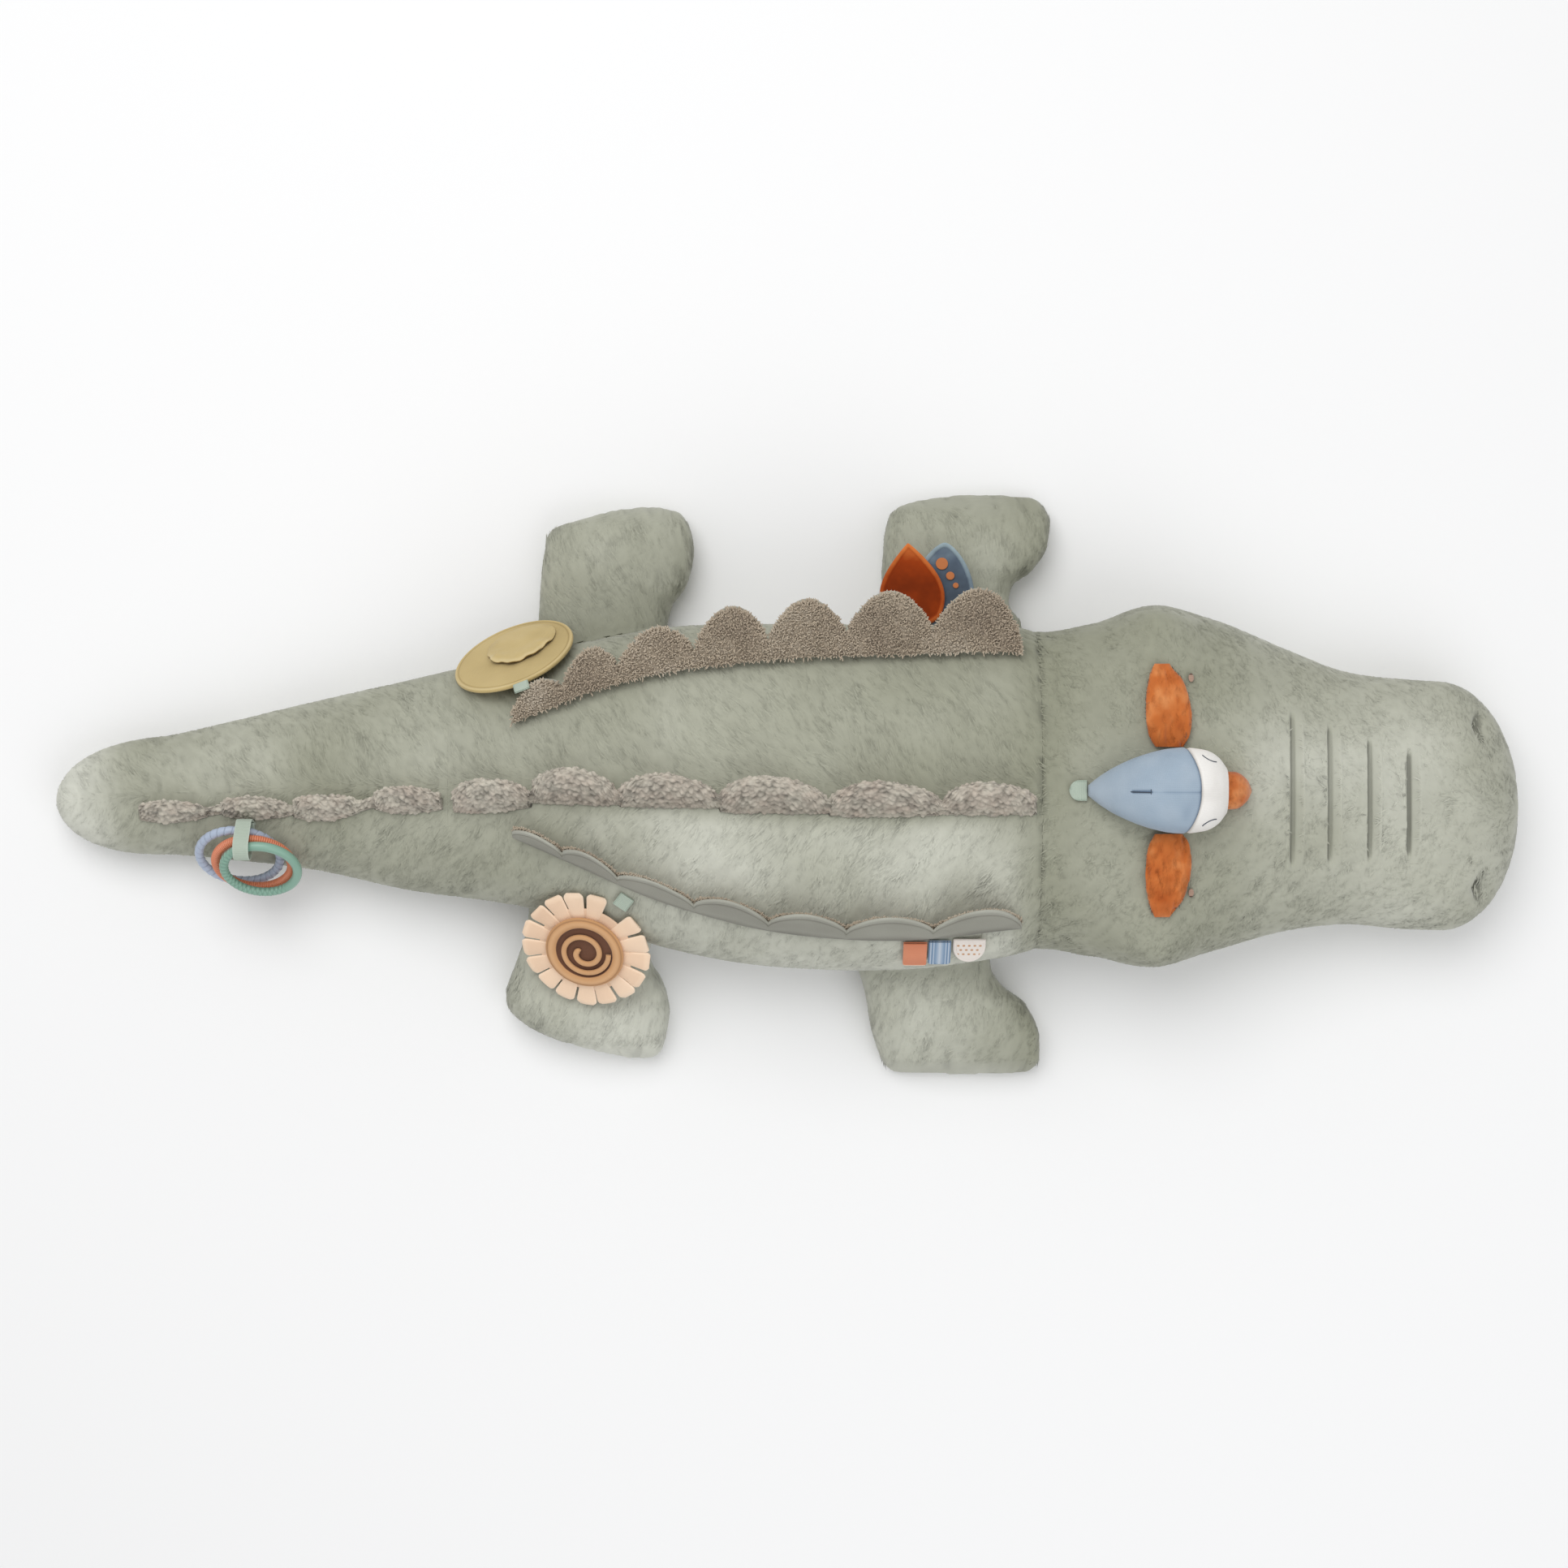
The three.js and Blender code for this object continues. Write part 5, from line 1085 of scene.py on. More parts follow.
def terry_flap(name, node, side, lean, seed, tall, thick, yarn):
    rng = np.random.default_rng(seed)
    grid = ridge_grid(side, lean, SEAM_GAP / 2, SEAM_GAP / 2 + thick, 18, TERRY_RUNGS, tall)
    n = outward(grid)
    skin = grid - n * TERRY_DEPTH
    points = with_ends(skin)
    faces = closed_faces(points, grid)
    # Short blunt ends of yarn point up the flap and out of it, on its outer face
    keep = np.ones((grid.shape[0] - 1, grid.shape[1]))
    keep[:, TERRY_RUNGS + 1:] = 0
    r, c, u, v = scatter(grid, YARN_SPACING, keep, rng)
    place, normal = between(grid, r, c, u, v), unit(between(n, r, c, u, v))
    course = unit(rng.normal(0, 0.55, place.shape) + way_up(side, lean) * 0.6 + normal * 1.1)
    locks, more, tone = yarn_ends(place - normal * YARN_ROOT, course, yarn, YARN_RADIUS, rng)
    locks[:, 2] = np.maximum(locks[:, 2], top_of(locks[:, 0], locks[:, 1]) + SEAM_GAP)
    for k in (0, 1):
        faces[k] = np.concatenate([faces[k], more[k] + len(points)])
    points = np.concatenate([points, locks])
    tone = tone + rng.uniform(-0.12, 0.12, len(tone))
    # The skin under the yarn ends is painted as dark as their roots, as shade
    tone = np.concatenate([np.full(len(points) - len(tone), 0.42), tone])
    warm = 0.5 + 0.8 * (noise(points, 0.02, 6.4) - 0.5) + rng.uniform(-0.25, 0.25, len(points))
    piece = new_piece(name, points, faces, TERRY, palette=(np.clip(tone, 0, 1), np.clip(warm, 0, 1)))
    finished(piece, "torso", node)


TERRY = pile_material("terry_taupe", (172, 157, 139), (192, 178, 158), (208, 197, 180), 0.1)
terry_flap("ridge_left_terry_cloth", "ridge_left_terry", 1, LEFT_LEAN, 41, 1.0, TERRY_THICKNESS, 3.8 * MM)
# The right one is low and thin behind its cotton flap, as in the photo
terry_flap("ridge_right_terry_cloth", "ridge_right_terry", -1, RIGHT_LEAN, 42, 0.8, 3 * MM, 2.6 * MM)


def tone_ramp(tree, *stops):
    """Colour from the tone of each point; each stop is a tone and a colour of 0 to 255."""
    return ramp(tree, attribute_of(tree, "tone"), [(place, srgb(*base)) for place, base in stops])


def texture(tree, kind, vector, **values):
    node = tree.nodes.new(kind)
    linked(tree, vector, node.inputs["Vector"])
    for key, value in values.items():
        node.inputs[key].default_value = value
    return node.outputs


THREAD_DEPTH, WEAVE_SHADE_AND_GRAIN = 0.3 * MM, 0.07


def cloth(name, dark, base, light, pitch=0.9, ribs=False, strength=0.3, roughness=0.85, sheen=0.15):
    """Cloth whose colour follows the piece's tone, with threads both ways, or ribs across its length."""
    material, tree, shader = new_material(name, roughness, sheen, 0.25)
    colour = tone_ramp(tree, (0.0, dark), (0.5, base), (1.0, light))
    uv = tree.nodes.new("ShaderNodeUVMap")
    uv.uv_map = "weave"
    waves = []
    for turn in (0,) if ribs else (0, math.pi / 2):
        mapping = texture(tree, "ShaderNodeMapping", uv.outputs["UV"], Rotation=(0, 0, turn),
                          Scale=(math.pi / (10 * pitch * MM),) * 3)
        waves.append(texture(tree, "ShaderNodeTexWave", mapping["Vector"], Scale=1, Distortion=0.4)["Fac"])
    threads = tree.nodes.new("ShaderNodeMath")
    threads.operation = "ADD"
    linked(tree, waves[0], threads.inputs[0])
    linked(tree, waves[-1], threads.inputs[1])
    coordinates = tree.nodes.new("ShaderNodeTexCoord")
    cloud = texture(tree, "ShaderNodeTexNoise", coordinates.outputs["Object"], Scale=60, Detail=5)
    # Colour is darkened by up to this share in the weave's low places, as painted shade, and by a random grain
    low = (1 - WEAVE_SHADE_AND_GRAIN,) * 3 + (1,)
    for factor in (threads.outputs["Value"], cloud["Fac"]):
        shade = ramp(tree, factor, [(0.2, low), (0.8, (1, 1, 1, 1))])
        colour = mixed(tree, 1.0, colour, shade, "MULTIPLY")
    linked(tree, colour, shader.inputs["Base Color"])
    bump = tree.nodes.new("ShaderNodeBump")
    bump.inputs["Strength"].default_value = strength
    bump.inputs["Distance"].default_value = THREAD_DEPTH
    linked(tree, threads.outputs["Value"], bump.inputs["Height"])
    linked(tree, bump.outputs["Normal"], shader.inputs["Normal"])
    return material


COTTON_RUNGS = 30


def cotton_flap(name, node, side, lean):
    grid = ridge_grid(side, lean, -SEAM_GAP / 2 - COTTON_THICKNESS, -SEAM_GAP / 2, 30, COTTON_RUNGS)
    # A turned edge: two rows of stitching draw the cloth in just under the rim
    run = np.concatenate([np.linspace(0, 1, COTTON_RUNGS), np.linspace(1, 0, COTTON_RUNGS)[1:]])
    height = 1 - (1 - run) ** RUNG_POWER
    seams = bell(height - 0.86, 0.018) + 0.6 * bell(height - 0.94, 0.014)
    ripple = 0.7 * (noise(grid, 0.016, 2.2) - 0.5) * np.sin(math.pi * run)
    skin = grid - outward(grid) * ((0.45 * seams + ripple) * MM)[..., None]
    # The tone paints shade into the stitching's creases and, lower down, at the flap's foot; the cloth is
    # lighter along the rim
    tone = 0.5 - 0.35 * seams + 0.4 * smooth_step(height, 0.86, 0.97) + 0.25 * (noise(grid, 0.02, 5.5) - 0.5)
    piece = piece_of(name, [solid_of(skin, tone=tone - 0.35 * (1 - smooth_step(height, 0, 0.3)))], COTTON)
    finished(piece, "torso", node)


COTTON = cloth("cotton_grey", (116, 114, 104), (154, 153, 141), (182, 182, 170))
cotton_flap("ridge_left_cotton_cloth", "ridge_left_cotton", 1, LEFT_LEAN)
cotton_flap("ridge_right_cotton_cloth", "ridge_right_cotton", -1, RIGHT_LEAN)


# Frames of the small pieces: a place and the turn of their own axes
def turn_x(degrees):
    c, s = math.cos(math.radians(degrees)), math.sin(math.radians(degrees))
    return np.array([[1, 0, 0], [0, c, -s], [0, s, c]])


def turn_z(degrees):
    c, s = math.cos(math.radians(degrees)), math.sin(math.radians(degrees))
    return np.array([[c, -s, 0], [s, c, 0], [0, 0, 1]])


def placed(points, frame):
    origin, axes = frame
    return origin + points @ axes.T


def polar(reach, profile, columns, angle=None):
    """Rings of a low form: reach is its outline by angle; profile rows are share, inset and height."""
    angle = full_turn(columns) if angle is None else angle
    rings = []
    for share, inset, height in profile:
        radius = np.maximum(share * reach - inset, 0.2 * MM * (1 + share))
        rings.append(np.stack([radius * np.cos(angle), radius * np.sin(angle), np.full(columns, height)], -1))
    return np.stack(rings)


def level_rows(height, *shares):
    """Profile rows at one height, at evenly spaced shares: first, last, count."""
    return [(share, 0, height) for share in np.linspace(*shares)]


def rounded_rim(thickness, inner=6, low=0.0):
    """A profile from the middle of the underside and round the rim to its upper edge."""
    rows = level_rows(low, 0.05, 0.9, inner)
    half = thickness / 2
    for turn in np.linspace(-math.pi / 2, math.pi / 2, 11):
        rows.append((1, half * (1 - math.cos(turn)), half * (1 + math.sin(turn))))
    return rows


def low_form(name, grid, frame, material, tone=0.5):
    """One low solid whose cloth is flat seen from above."""
    return piece_of(name, [solid_of(placed(grid, frame), flat=grid[..., :2], tone=tone)], material)


def own_z(axes, height):
    return axes @ np.array([0, 0, height])


def band(path, across, width, thickness, columns=28):
    """Rings of a ribbon that follows a path."""
    along = unit(np.gradient(path, axis=0))
    up = np.cross(along, across)
    angle = full_turn(columns)
    out, rise = signed_power(np.cos(angle), 0.3), signed_power(np.sin(angle), 0.6)
    wide = np.broadcast_to(width, len(path))[:, None, None]
    return (path[:, None] + across * out[None, :, None] * wide / 2
            + up[:, None] * rise[None, :, None] * thickness / 2)


ACROSS = np.array([1.0, 0, 0])


def narrowed(path, length, width, corner):
    """A folded ribbon's width along its path, with round corners at the fold."""
    past = np.clip(path[:, 1] - (length - corner), 0, corner)
    return width - 2 * (corner - np.sqrt(corner**2 - past**2))


def loop_path(length, low, high, count=20):
    """Out along the lower layer, round the fold and back on the upper one, in a piece's own y and z."""
    radius, middle = (high - low) / 2, (high + low) / 2
    straight = np.linspace(0, length - radius, count)
    turn = np.linspace(-math.pi / 2, math.pi / 2, 9)[1:-1]
    y = np.concatenate([straight, length - radius + radius * np.cos(turn), straight[::-1]])
    z = np.concatenate([np.full(count, low), middle + radius * np.sin(turn), np.full(count, high)])
    return np.stack([np.zeros(len(y)), y, z], -1)


def thread(path, radius, sides=8):
    """Rings of a round thread along a path."""
    along = unit(np.gradient(path, axis=0))
    first = unit(np.cross(along, np.array([0.0, 0, 1]) + 0.01))
    second = np.cross(along, first)
    angle = full_turn(sides)[None, :, None]
    return path[:, None] + radius * (np.cos(angle) * first[:, None] + np.sin(angle) * second[:, None])


# Bird on the head
BIRD_LENGTH, BIRD_WIDTH, BIRD_HEIGHT, BIRD_FULLNESS = 0.122, 0.064, 0.046, 2.2
BIRD_TAIL_X, BIRD_Y = place_along(0.698), 0.008 * BODY_WIDTH
# Rows of share along the bird, half width and height
BIRD_ROWS = [[0.0, 0.06, 0.22], [0.07, 0.17, 0.4], [0.17, 0.29, 0.62], [0.3, 0.4, 0.82], [0.45, 0.48, 0.95],
             [0.56, 0.5, 1.0], [0.64, 0.49, 1.0], [0.72, 0.46, 0.95], [0.79, 0.38, 0.82], [0.84, 0.27, 0.66]]
BEAK_ROWS = [[0.84, 0.225, 0.5], [0.92, 0.215, 0.42], [0.985, 0.13, 0.3], [1.02, 0.03, 0.1]]
HEAD_BORDER, BORDER_BULGE, HEAD_END = 0.655, 0.075, 0.84


def bird_surface(share, angle, rows):
    share, angle = np.broadcast_arrays(share, angle)
    x = BIRD_TAIL_X + share * BIRD_LENGTH
    half = smooth_at(rows, share, 1) * BIRD_WIDTH
    height = smooth_at(rows, share, 2) * BIRD_HEIGHT
    y = BIRD_Y + half * signed_power(np.cos(angle), 2 / BIRD_FULLNESS)
    up = (1 + signed_power(np.sin(angle), 2 / BIRD_FULLNESS)) / 2
    z = np.maximum(top_of(x, BIRD_Y) + LAY_GAP + height * up, top_of(x, y) + LAY_GAP)
    return np.stack([x, y, z], -1)


def bird_top(x, y):
    """Where the bird's upper side is over a place of the floor."""
    share = (x - BIRD_TAIL_X) / BIRD_LENGTH
    half = smooth_at(BIRD_ROWS, share, 1) * BIRD_WIDTH
    height = smooth_at(BIRD_ROWS, share, 2) * BIRD_HEIGHT
    across = np.clip(np.abs(y - BIRD_Y) / half, 0, 1) ** (BIRD_FULLNESS / 2)
    up = (1 + np.sqrt(1 - across**2) ** (2 / BIRD_FULLNESS)) / 2
    return top_of(x, BIRD_Y) + LAY_GAP + height * up


def border_at(angle):
    """Where the bird's blue body ends and its white head starts."""
    return HEAD_BORDER - BORDER_BULGE * np.cos(angle) ** 2


BLUE_COTTON = cloth("cotton_blue", (104, 125, 150), (160, 177, 193), (180, 193, 205))
WHITE_COTTON = cloth("cotton_white", (200, 194, 186), (246, 243, 238), (252, 250, 247))
DARK_THREAD = cloth("thread_dark", (50, 58, 68), (72, 80, 92), (90, 98, 110), pitch=0.6, ribs=True)
ANGLES = full_turn(200)
# The slit in the bird's back, and the fold across its front end, from which a dart runs on
SLIT_REAR, SLIT_FRONT, SLIT_SIDE = 0.2564, 0.2708, 1.0 * MM
run = np.concatenate([[0.004, 0.02], np.linspace(0.04, 1, 90)])[:, None]
share = run * border_at(ANGLES)
body = bird_surface(share, ANGLES, BIRD_ROWS)
n = outward(body)
side_y = body[..., 1] - BIRD_Y
on_top = np.sin(ANGLES)[None] > 0.3
end_seam = bell((1 - run) * HEAD_BORDER * BIRD_LENGTH, 0.9 * MM)
past_slit = smooth_step(body[..., 0], 0.2705, 0.2725)
slit = bell(side_y + SLIT_SIDE, 0.8 * MM) * on_top * smooth_step(body[..., 0], 0.256, 0.258) * (1 - past_slit)
dart = bell(side_y + 1.6 * MM, 0.6 * MM) * on_top * past_slit
wrinkle = noise(body, 0.013, 1.1) - 0.5 + 0.5 * (noise(body, 0.006, 2.7) - 0.5)
near_seam = smooth_step(run, 0.55, 1) * 0.5 + 0.3
sunk = (0.8 * end_seam + 1.1 * slit + 0.45 * dart - 0.5 * wrinkle * near_seam) * MM
# Painted shade in the end seam, the slit, the dart and the wrinkles' folds, with raised wrinkles lighter;
# lighter towards the tail end
tone = 0.55 + 0.3 * wrinkle - 0.5 * end_seam - 0.9 * slit - 0.25 * dart
tone = tone + 0.25 * (1 - smooth_step(run, 0.1, 0.5))
piece = piece_of("bird_body_cloth", [solid_of(body - n * sunk[..., None], tone=tone)], BLUE_COTTON)
finished(piece, "bird", "bird_body")

run = np.linspace(0, 1, 44)[:, None]
border = border_at(ANGLES) + SEAM_GAP / BIRD_LENGTH
share = border + run * (HEAD_END - border)
crown = bird_surface(share, ANGLES, BIRD_ROWS)
n = outward(crown)
seams = bell(run * 0.2 * BIRD_LENGTH, 0.9 * MM)
wrinkle = noise(crown, 0.012, 4.1) - 0.5
sunk = (0.8 * seams - 0.4 * wrinkle) * MM
# Painted shade in the seam and in the wrinkles' folds
tone = 0.5 + 0.3 * wrinkle - 0.4 * seams
piece = piece_of("bird_head_cloth", [solid_of(crown - n * sunk[..., None], tone=tone)], WHITE_COTTON)
finished(piece, "bird", "bird_head")


def bird_thread(x, y, height, radius):
    """A thread on the bird's upper side, or sunk into it."""
    x, y = np.broadcast_arrays(x, y)
    return solid_of(thread(np.stack([x, y, bird_top(x, y) + height], -1), radius))


# Each closed eye is one curved line
LID_REAR, LID_LENGTH, LID_OUT, LID_CURVE = 0.3094, 0.0108, 0.0262, 0.0050
bend = np.linspace(0, 1, 24)
lid = LID_OUT - LID_CURVE * np.sin(bend * math.pi / 2) ** 0.8
eyes = [bird_thread(LID_REAR + LID_LENGTH * bend, BIRD_Y + sign * lid, 0.1 * MM, 0.45 * MM)
        for sign in (1, -1)]
piece = piece_of("bird_eye_threads", eyes, DARK_THREAD)
finished(piece, "bird")
bend = np.linspace(0, 1, 30)
slit = bird_thread(SLIT_REAR + 0.0142 * bend, BIRD_Y - SLIT_SIDE - 0.6 * MM * bend, -0.5 * MM, 0.4 * MM)
fold = bird_thread(SLIT_FRONT, BIRD_Y + np.linspace(1.2, -3.4, 12) * MM, -0.3 * MM, 0.3 * MM)
piece = piece_of("bird_slit_thread", [slit, fold], DARK_THREAD)
finished(piece, "bird")


def plush_paleness(points):
    return 0.5 + 0.9 * (noise(points, 0.014, 7.7) - 0.5) + 0.5 * (noise(points, 0.005, 3.9) - 0.5)


PLUSH = pile_material("plush_orange", (176, 88, 36), (200, 112, 54), (224, 148, 90), 0.3)
run = np.linspace(0, 1, 30)[:, None]
share = HEAD_END + SEAM_GAP / BIRD_LENGTH + run * (1.015 - HEAD_END)
beak = bird_surface(share, full_turn(60), BEAK_ROWS)
piece = fur("bird_beak_plush", beak, np.broadcast_to(ACROSS, beak.shape), PLUSH, np.ones(beak.shape[:2]),
            noise(beak, 1.6 * MM), spacing=1.2, length=2.0, width=0.5, depth=0.6, spread=0.9, seed=51,
            pale=plush_paleness)
finished(piece, "bird", "bird_beak")

# Rows of share out, rear, front and thickness
WING_ROWS = [[0.0, -0.3, 0.3, 0.7], [0.14, -0.42, 0.42, 0.95], [0.35, -0.47, 0.47, 1.0],
             [0.6, -0.46, 0.42, 0.95], [0.8, -0.4, 0.3, 0.8], [0.93, -0.32, 0.12, 0.55],
             [0.985, -0.27, 0.06, 0.34]]
WING_LENGTH, WING_WIDTH, WING_THICKNESS, WING_CORNER = 0.064, 0.038, 0.010, 5 * MM
for number, (name, side) in enumerate((("bird_wing_left", 1), ("bird_wing_right", -1))):
    out = np.linspace(0, 0.985, 84)[:, None]
    rear, front, thick = (smooth_at(WING_ROWS, out, k) for k in (1, 2, 3))
    angle = full_turn(110)
    x = BIRD_TAIL_X + 0.5 * BIRD_LENGTH + (rear + front) / 2 * WING_WIDTH + (
        (front - rear) / 2 * WING_WIDTH * signed_power(np.cos(angle), 0.85))
    y = np.broadcast_to(BIRD_Y + side * (BIRD_WIDTH / 2 + 0.5 * MM + out * WING_LENGTH), x.shape)
    up = (1 + signed_power(np.sin(angle), 2 / 2.5)) / 2
    wing = np.stack([x, y, top_of(x, y) + SEAM_GAP + up * thick * WING_THICKNESS], -1)
    flow = np.broadcast_to([-0.2, side, 0.0], wing.shape)
    long_folds = noise(wing * np.array([1, 0.28, 1]), 0.006, 2.0 + number)
    folds = 1.9 * MM * smooth_step(long_folds, 0.45, 0.2) * (up > 0.5)
    lie = strands(wing[..., 1] * side, wing[..., 0] + number, 6 * MM, 1.7 * MM, 4.0)
    outer = (side * wing[..., 1]).max() - WING_CORNER
    piece = fur(name + "_plush", wing, flow, PLUSH, np.ones(wing.shape[:2]), lie, spacing=1.7, length=4.0,
                width=0.7, depth=1.2, spread=0.35, seed=52 + number, inset=folds, pale=plush_paleness,
                clear=lambda place: side * place[:, 1] < outer)
    finished(piece, name, name)

# Ribbons: loops of a narrow ribbon, folded flat
RIBBON = cloth("ribbon_sage", (136, 152, 136), (180, 194, 178), (204, 216, 202), pitch=1.1, ribs=True,
               strength=0.5)
RIBBON_WIDTH, RIBBON_THICKNESS = 0.012, 1.6 * MM
# How far in from a folded ribbon's faces the middle of each layer lies
LAYER_INSET = 0.35 * MM


def ribbon_loop(name, node, body, frame, length, width=RIBBON_WIDTH, corner=0.0, crease=0.3):
    """A ribbon folded into a flat loop: its own y points to the fold."""
    path = loop_path(length, LAYER_INSET, RIBBON_THICKNESS - LAYER_INSET)
    grid = band(path, ACROSS, narrowed(path, length, width, corner), 0.6 * MM)
    across = grid[..., 0] / width
    # Painted shade in the crease; the tone also darkens both edges
    tone = 0.6 - 0.5 * bell(across - 0.12, 0.03) - 0.3 * bell(np.abs(across) - 0.45, 0.03)
    grid[..., 2] -= crease * MM * bell(across - 0.12, 0.04) * (grid[..., 2] > RIBBON_THICKNESS / 2)
    piece = piece_of(name, [solid_of(placed(grid, frame), tone=tone)], RIBBON)
    finished(piece, body, node)


bird_ribbon_foot = middle_of("bird_ribbon") + np.array([RIBBON_WIDTH / 2, 0, -RIBBON_THICKNESS / 2])
ribbon_loop("bird_ribbon_loop", "bird_ribbon", "head", (bird_ribbon_foot, turn_z(90)), RIBBON_WIDTH + 1 * MM,
            width=0.0155, corner=0.0074)

# Rings on the tail and their ribbon
RING_TUBE, RING_TILT, RING_CLEARANCE = 7.5 * MM, 50, 0.8 * MM
RING_NORMAL = np.array([0, -math.sin(math.radians(RING_TILT)), math.cos(math.radians(RING_TILT))])
RING_DOWN = np.array([0, -RING_NORMAL[2], RING_NORMAL[1]])
RINGS = {"ring_blue": (70 * MM, -15), "ring_orange": (66 * MM, 8), "ring_green": (64 * MM, 22)}


def plastic(name, dark, base):
    """Soft plastic, darker where its tone is low."""
    material, tree, shader = new_material(name, 0.4, 0.0, 0.5)
    linked(tree, tone_ramp(tree, (0.0, dark), (0.6, base)), shader.inputs["Base Color"])
    shader.inputs["Coat Weight"].default_value = 0.15
    return material


def ring(name, relief, tone_of, material, slot, steps=720, sides=28):
    """A moulded ring. Its angles run from the ribbon's place at the top; relief is how many mm it is sunk."""
    turn, side = full_turn(steps)[:, None], full_turn(sides)[None]
    tube_radius = RING_TUBE / 2 - relief(turn, side) * MM
    out = (RINGS[name][0] - RING_TUBE) / 2 + tube_radius * np.cos(side)
    course = -RING_DOWN * np.cos(turn)[..., None] + ACROSS * np.sin(turn)[..., None]
    points = middle_of(name) + out[..., None] * course + (tube_radius * np.sin(side))[..., None] * RING_NORMAL
    points = points.reshape(-1, 3)
    r, c = np.arange(steps)[:, None], np.arange(sides)
    after, beside = (r + 1) % steps * sides, (c + 1) % sides
    quads = np.stack([r * sides + c, r * sides + beside, after + beside, after + c], -1).reshape(-1, 4)
    tone = np.broadcast_to(tone_of(turn, side), (steps, sides)).ravel()
    piece = new_piece(name + "_moulded", points, facing_out(points, [quads]), material, tone=tone)
    finished(piece, name, name)


WRAPS, RIBS, BRAIDS = 34, 112, 22


def wrap_step(turn, side):
    """From 0 to 1 over each of the flat bands that are laid diagonally round the blue ring."""
    value = turn * WRAPS / (2 * math.pi) + side / (2 * math.pi)
    return value - np.floor(value)


def rib_valley(turn):
    return (0.5 - 0.5 * np.cos(turn * RIBS)) ** 2


def braid_relief(turn, side):
    """The green ring is braided on its left and lower parts, and smooth on the right."""
    twist = np.abs(np.sin(turn * BRAIDS + side)) * np.abs(np.sin(turn * BRAIDS - side))
    braided = smooth_step(np.cos(turn - math.radians(235)), -0.25, 0.1)
    return 0.1 + 0.75 * (1 - np.sqrt(twist)) * braided


# Each ring's tone is painted shade where its relief is sunk: in the steps of the blue ring's bands, the orange
# ring's rib valleys and the green ring's braid
ring("ring_blue", lambda turn, side: 0.15 + 0.55 * wrap_step(turn, side)**1.5,
     lambda turn, side: 0.75 - 0.7 * wrap_step(turn, side)**6,
     plastic("plastic_blue", (122, 132, 148), (174, 186, 206)), "blue_plastic")
ring("ring_orange", lambda turn, _: 0.55 * rib_valley(turn), lambda turn, _: 0.65 - 0.5 * rib_valley(turn),
     plastic("plastic_orange", (186, 92, 58), (224, 142, 106)), "orange_plastic", steps=1120, sides=20)
ring("ring_green", braid_relief, lambda turn, side: 0.7 - 0.5 * (braid_relief(turn, side) - 0.1),
     plastic("plastic_green", (84, 122, 106), (134, 172, 154)), "green_plastic")

# The ring ribbon's loop goes round the three rings where they pass each other, and down to the tail
blue_radius, blue_turn = (RINGS["ring_blue"][0] - RING_TUBE) / 2, math.radians(RINGS["ring_blue"][1])
PASSING = middle_of("ring_blue") - RING_DOWN * blue_radius * math.cos(blue_turn) - (
    ACROSS * blue_radius * math.sin(blue_turn))
half_ribbon = RIBBON_WIDTH / 2
sweep = max(half_ribbon * abs(math.tan(math.radians(turn))) + half_ribbon**2 / (diameter - RING_TUBE)
            for diameter, turn in RINGS.values())
loop_half = RING_TUBE / 2 + 2 * RING_CLEARANCE + sweep
loop_end = 2 * (RING_TUBE + RING_CLEARANCE)
wall = loop_half + RIBBON_THICKNESS / 2
foot_low = PASSING - RING_NORMAL * wall
foot_y = foot_low[1] - RIBBON_THICKNESS
root = np.array([PASSING[0], foot_y, float(top_of(PASSING[0], foot_y)) + LAY_GAP + RIBBON_THICKNESS / 2])
stem = foot_low - root
apart = np.array([0, 0.45 * MM, 0])
bent = [root + stem * share + apart for share in np.linspace(0, 0.8, 6)]
for angle in np.linspace(-math.pi / 2 + 0.12, 3 * math.pi / 2 - 0.12, 90):
    out = (0 if math.sin(angle) < 0 else loop_end) + wall * math.sin(angle)
    bent.append(PASSING + RING_NORMAL * out - RING_DOWN * wall * math.cos(angle))
bent += [root + stem * share - apart for share in np.linspace(0.8, 0, 6)]
bent = np.array(bent)
for _ in range(3):
    bent[1:-1] = (bent[:-2] + 2 * bent[1:-1] + bent[2:]) / 4
grid = band(bent, ACROSS, RIBBON_WIDTH, 0.8 * MM)
edge = bell(np.abs(grid[..., 0] - PASSING[0]) - RIBBON_WIDTH / 2, 0.5 * MM)
piece = piece_of("ring_ribbon_loop", [solid_of(grid, tone=0.6 + 0.3 * edge)], RIBBON)
finished(piece, "ring_ribbon", "ring_ribbon")


# Flower and disc on the flanks: each one's own z faces out of the flank and its y points down the slope
def flank_axes(along, side, tilt, turn, diameter):
    x, step = place_along(along), diameter / 2
    half, _, _, _, centre, _ = section_at(x)
    y = centre + side * 0.82 * half
    slope_x = (top_of(x + step, y) - top_of(x - step, y)) / (2 * step)
    slope_y = (top_of(x, y + SEAM_GAP) - top_of(x, y - SEAM_GAP)) / (2 * SEAM_GAP)
    yaw = math.degrees(math.atan(-slope_x / slope_y))
    return turn_z(yaw) @ turn_x(-side * tilt) @ turn_z(turn + (180 if side < 0 else 0))


PETAL_CLOTH = cloth("cotton_petal", (200, 154, 120), (250, 219, 189), (254, 232, 208), pitch=0.8)
CARAMEL = cloth("cotton_caramel", (92, 56, 44), (206, 156, 108), (228, 182, 136), pitch=0.8, roughness=0.7)
FLOWER_DIAMETER, PETALS, PETAL_THICKNESS = 0.101, 17, 3.2 * MM
DISH_DIAMETER, DISH_THICKNESS, DISH_RIM = 0.062, 5 * MM, 3 * MM
flower_axes = flank_axes(0.3675, -1, 32, -14, FLOWER_DIAMETER)
dish_middle = middle_of("flower_disc") - own_z(flower_axes, DISH_THICKNESS / 2)
flower_frame = (dish_middle - own_z(flower_axes, PETAL_THICKNESS + SEAM_GAP), flower_axes)

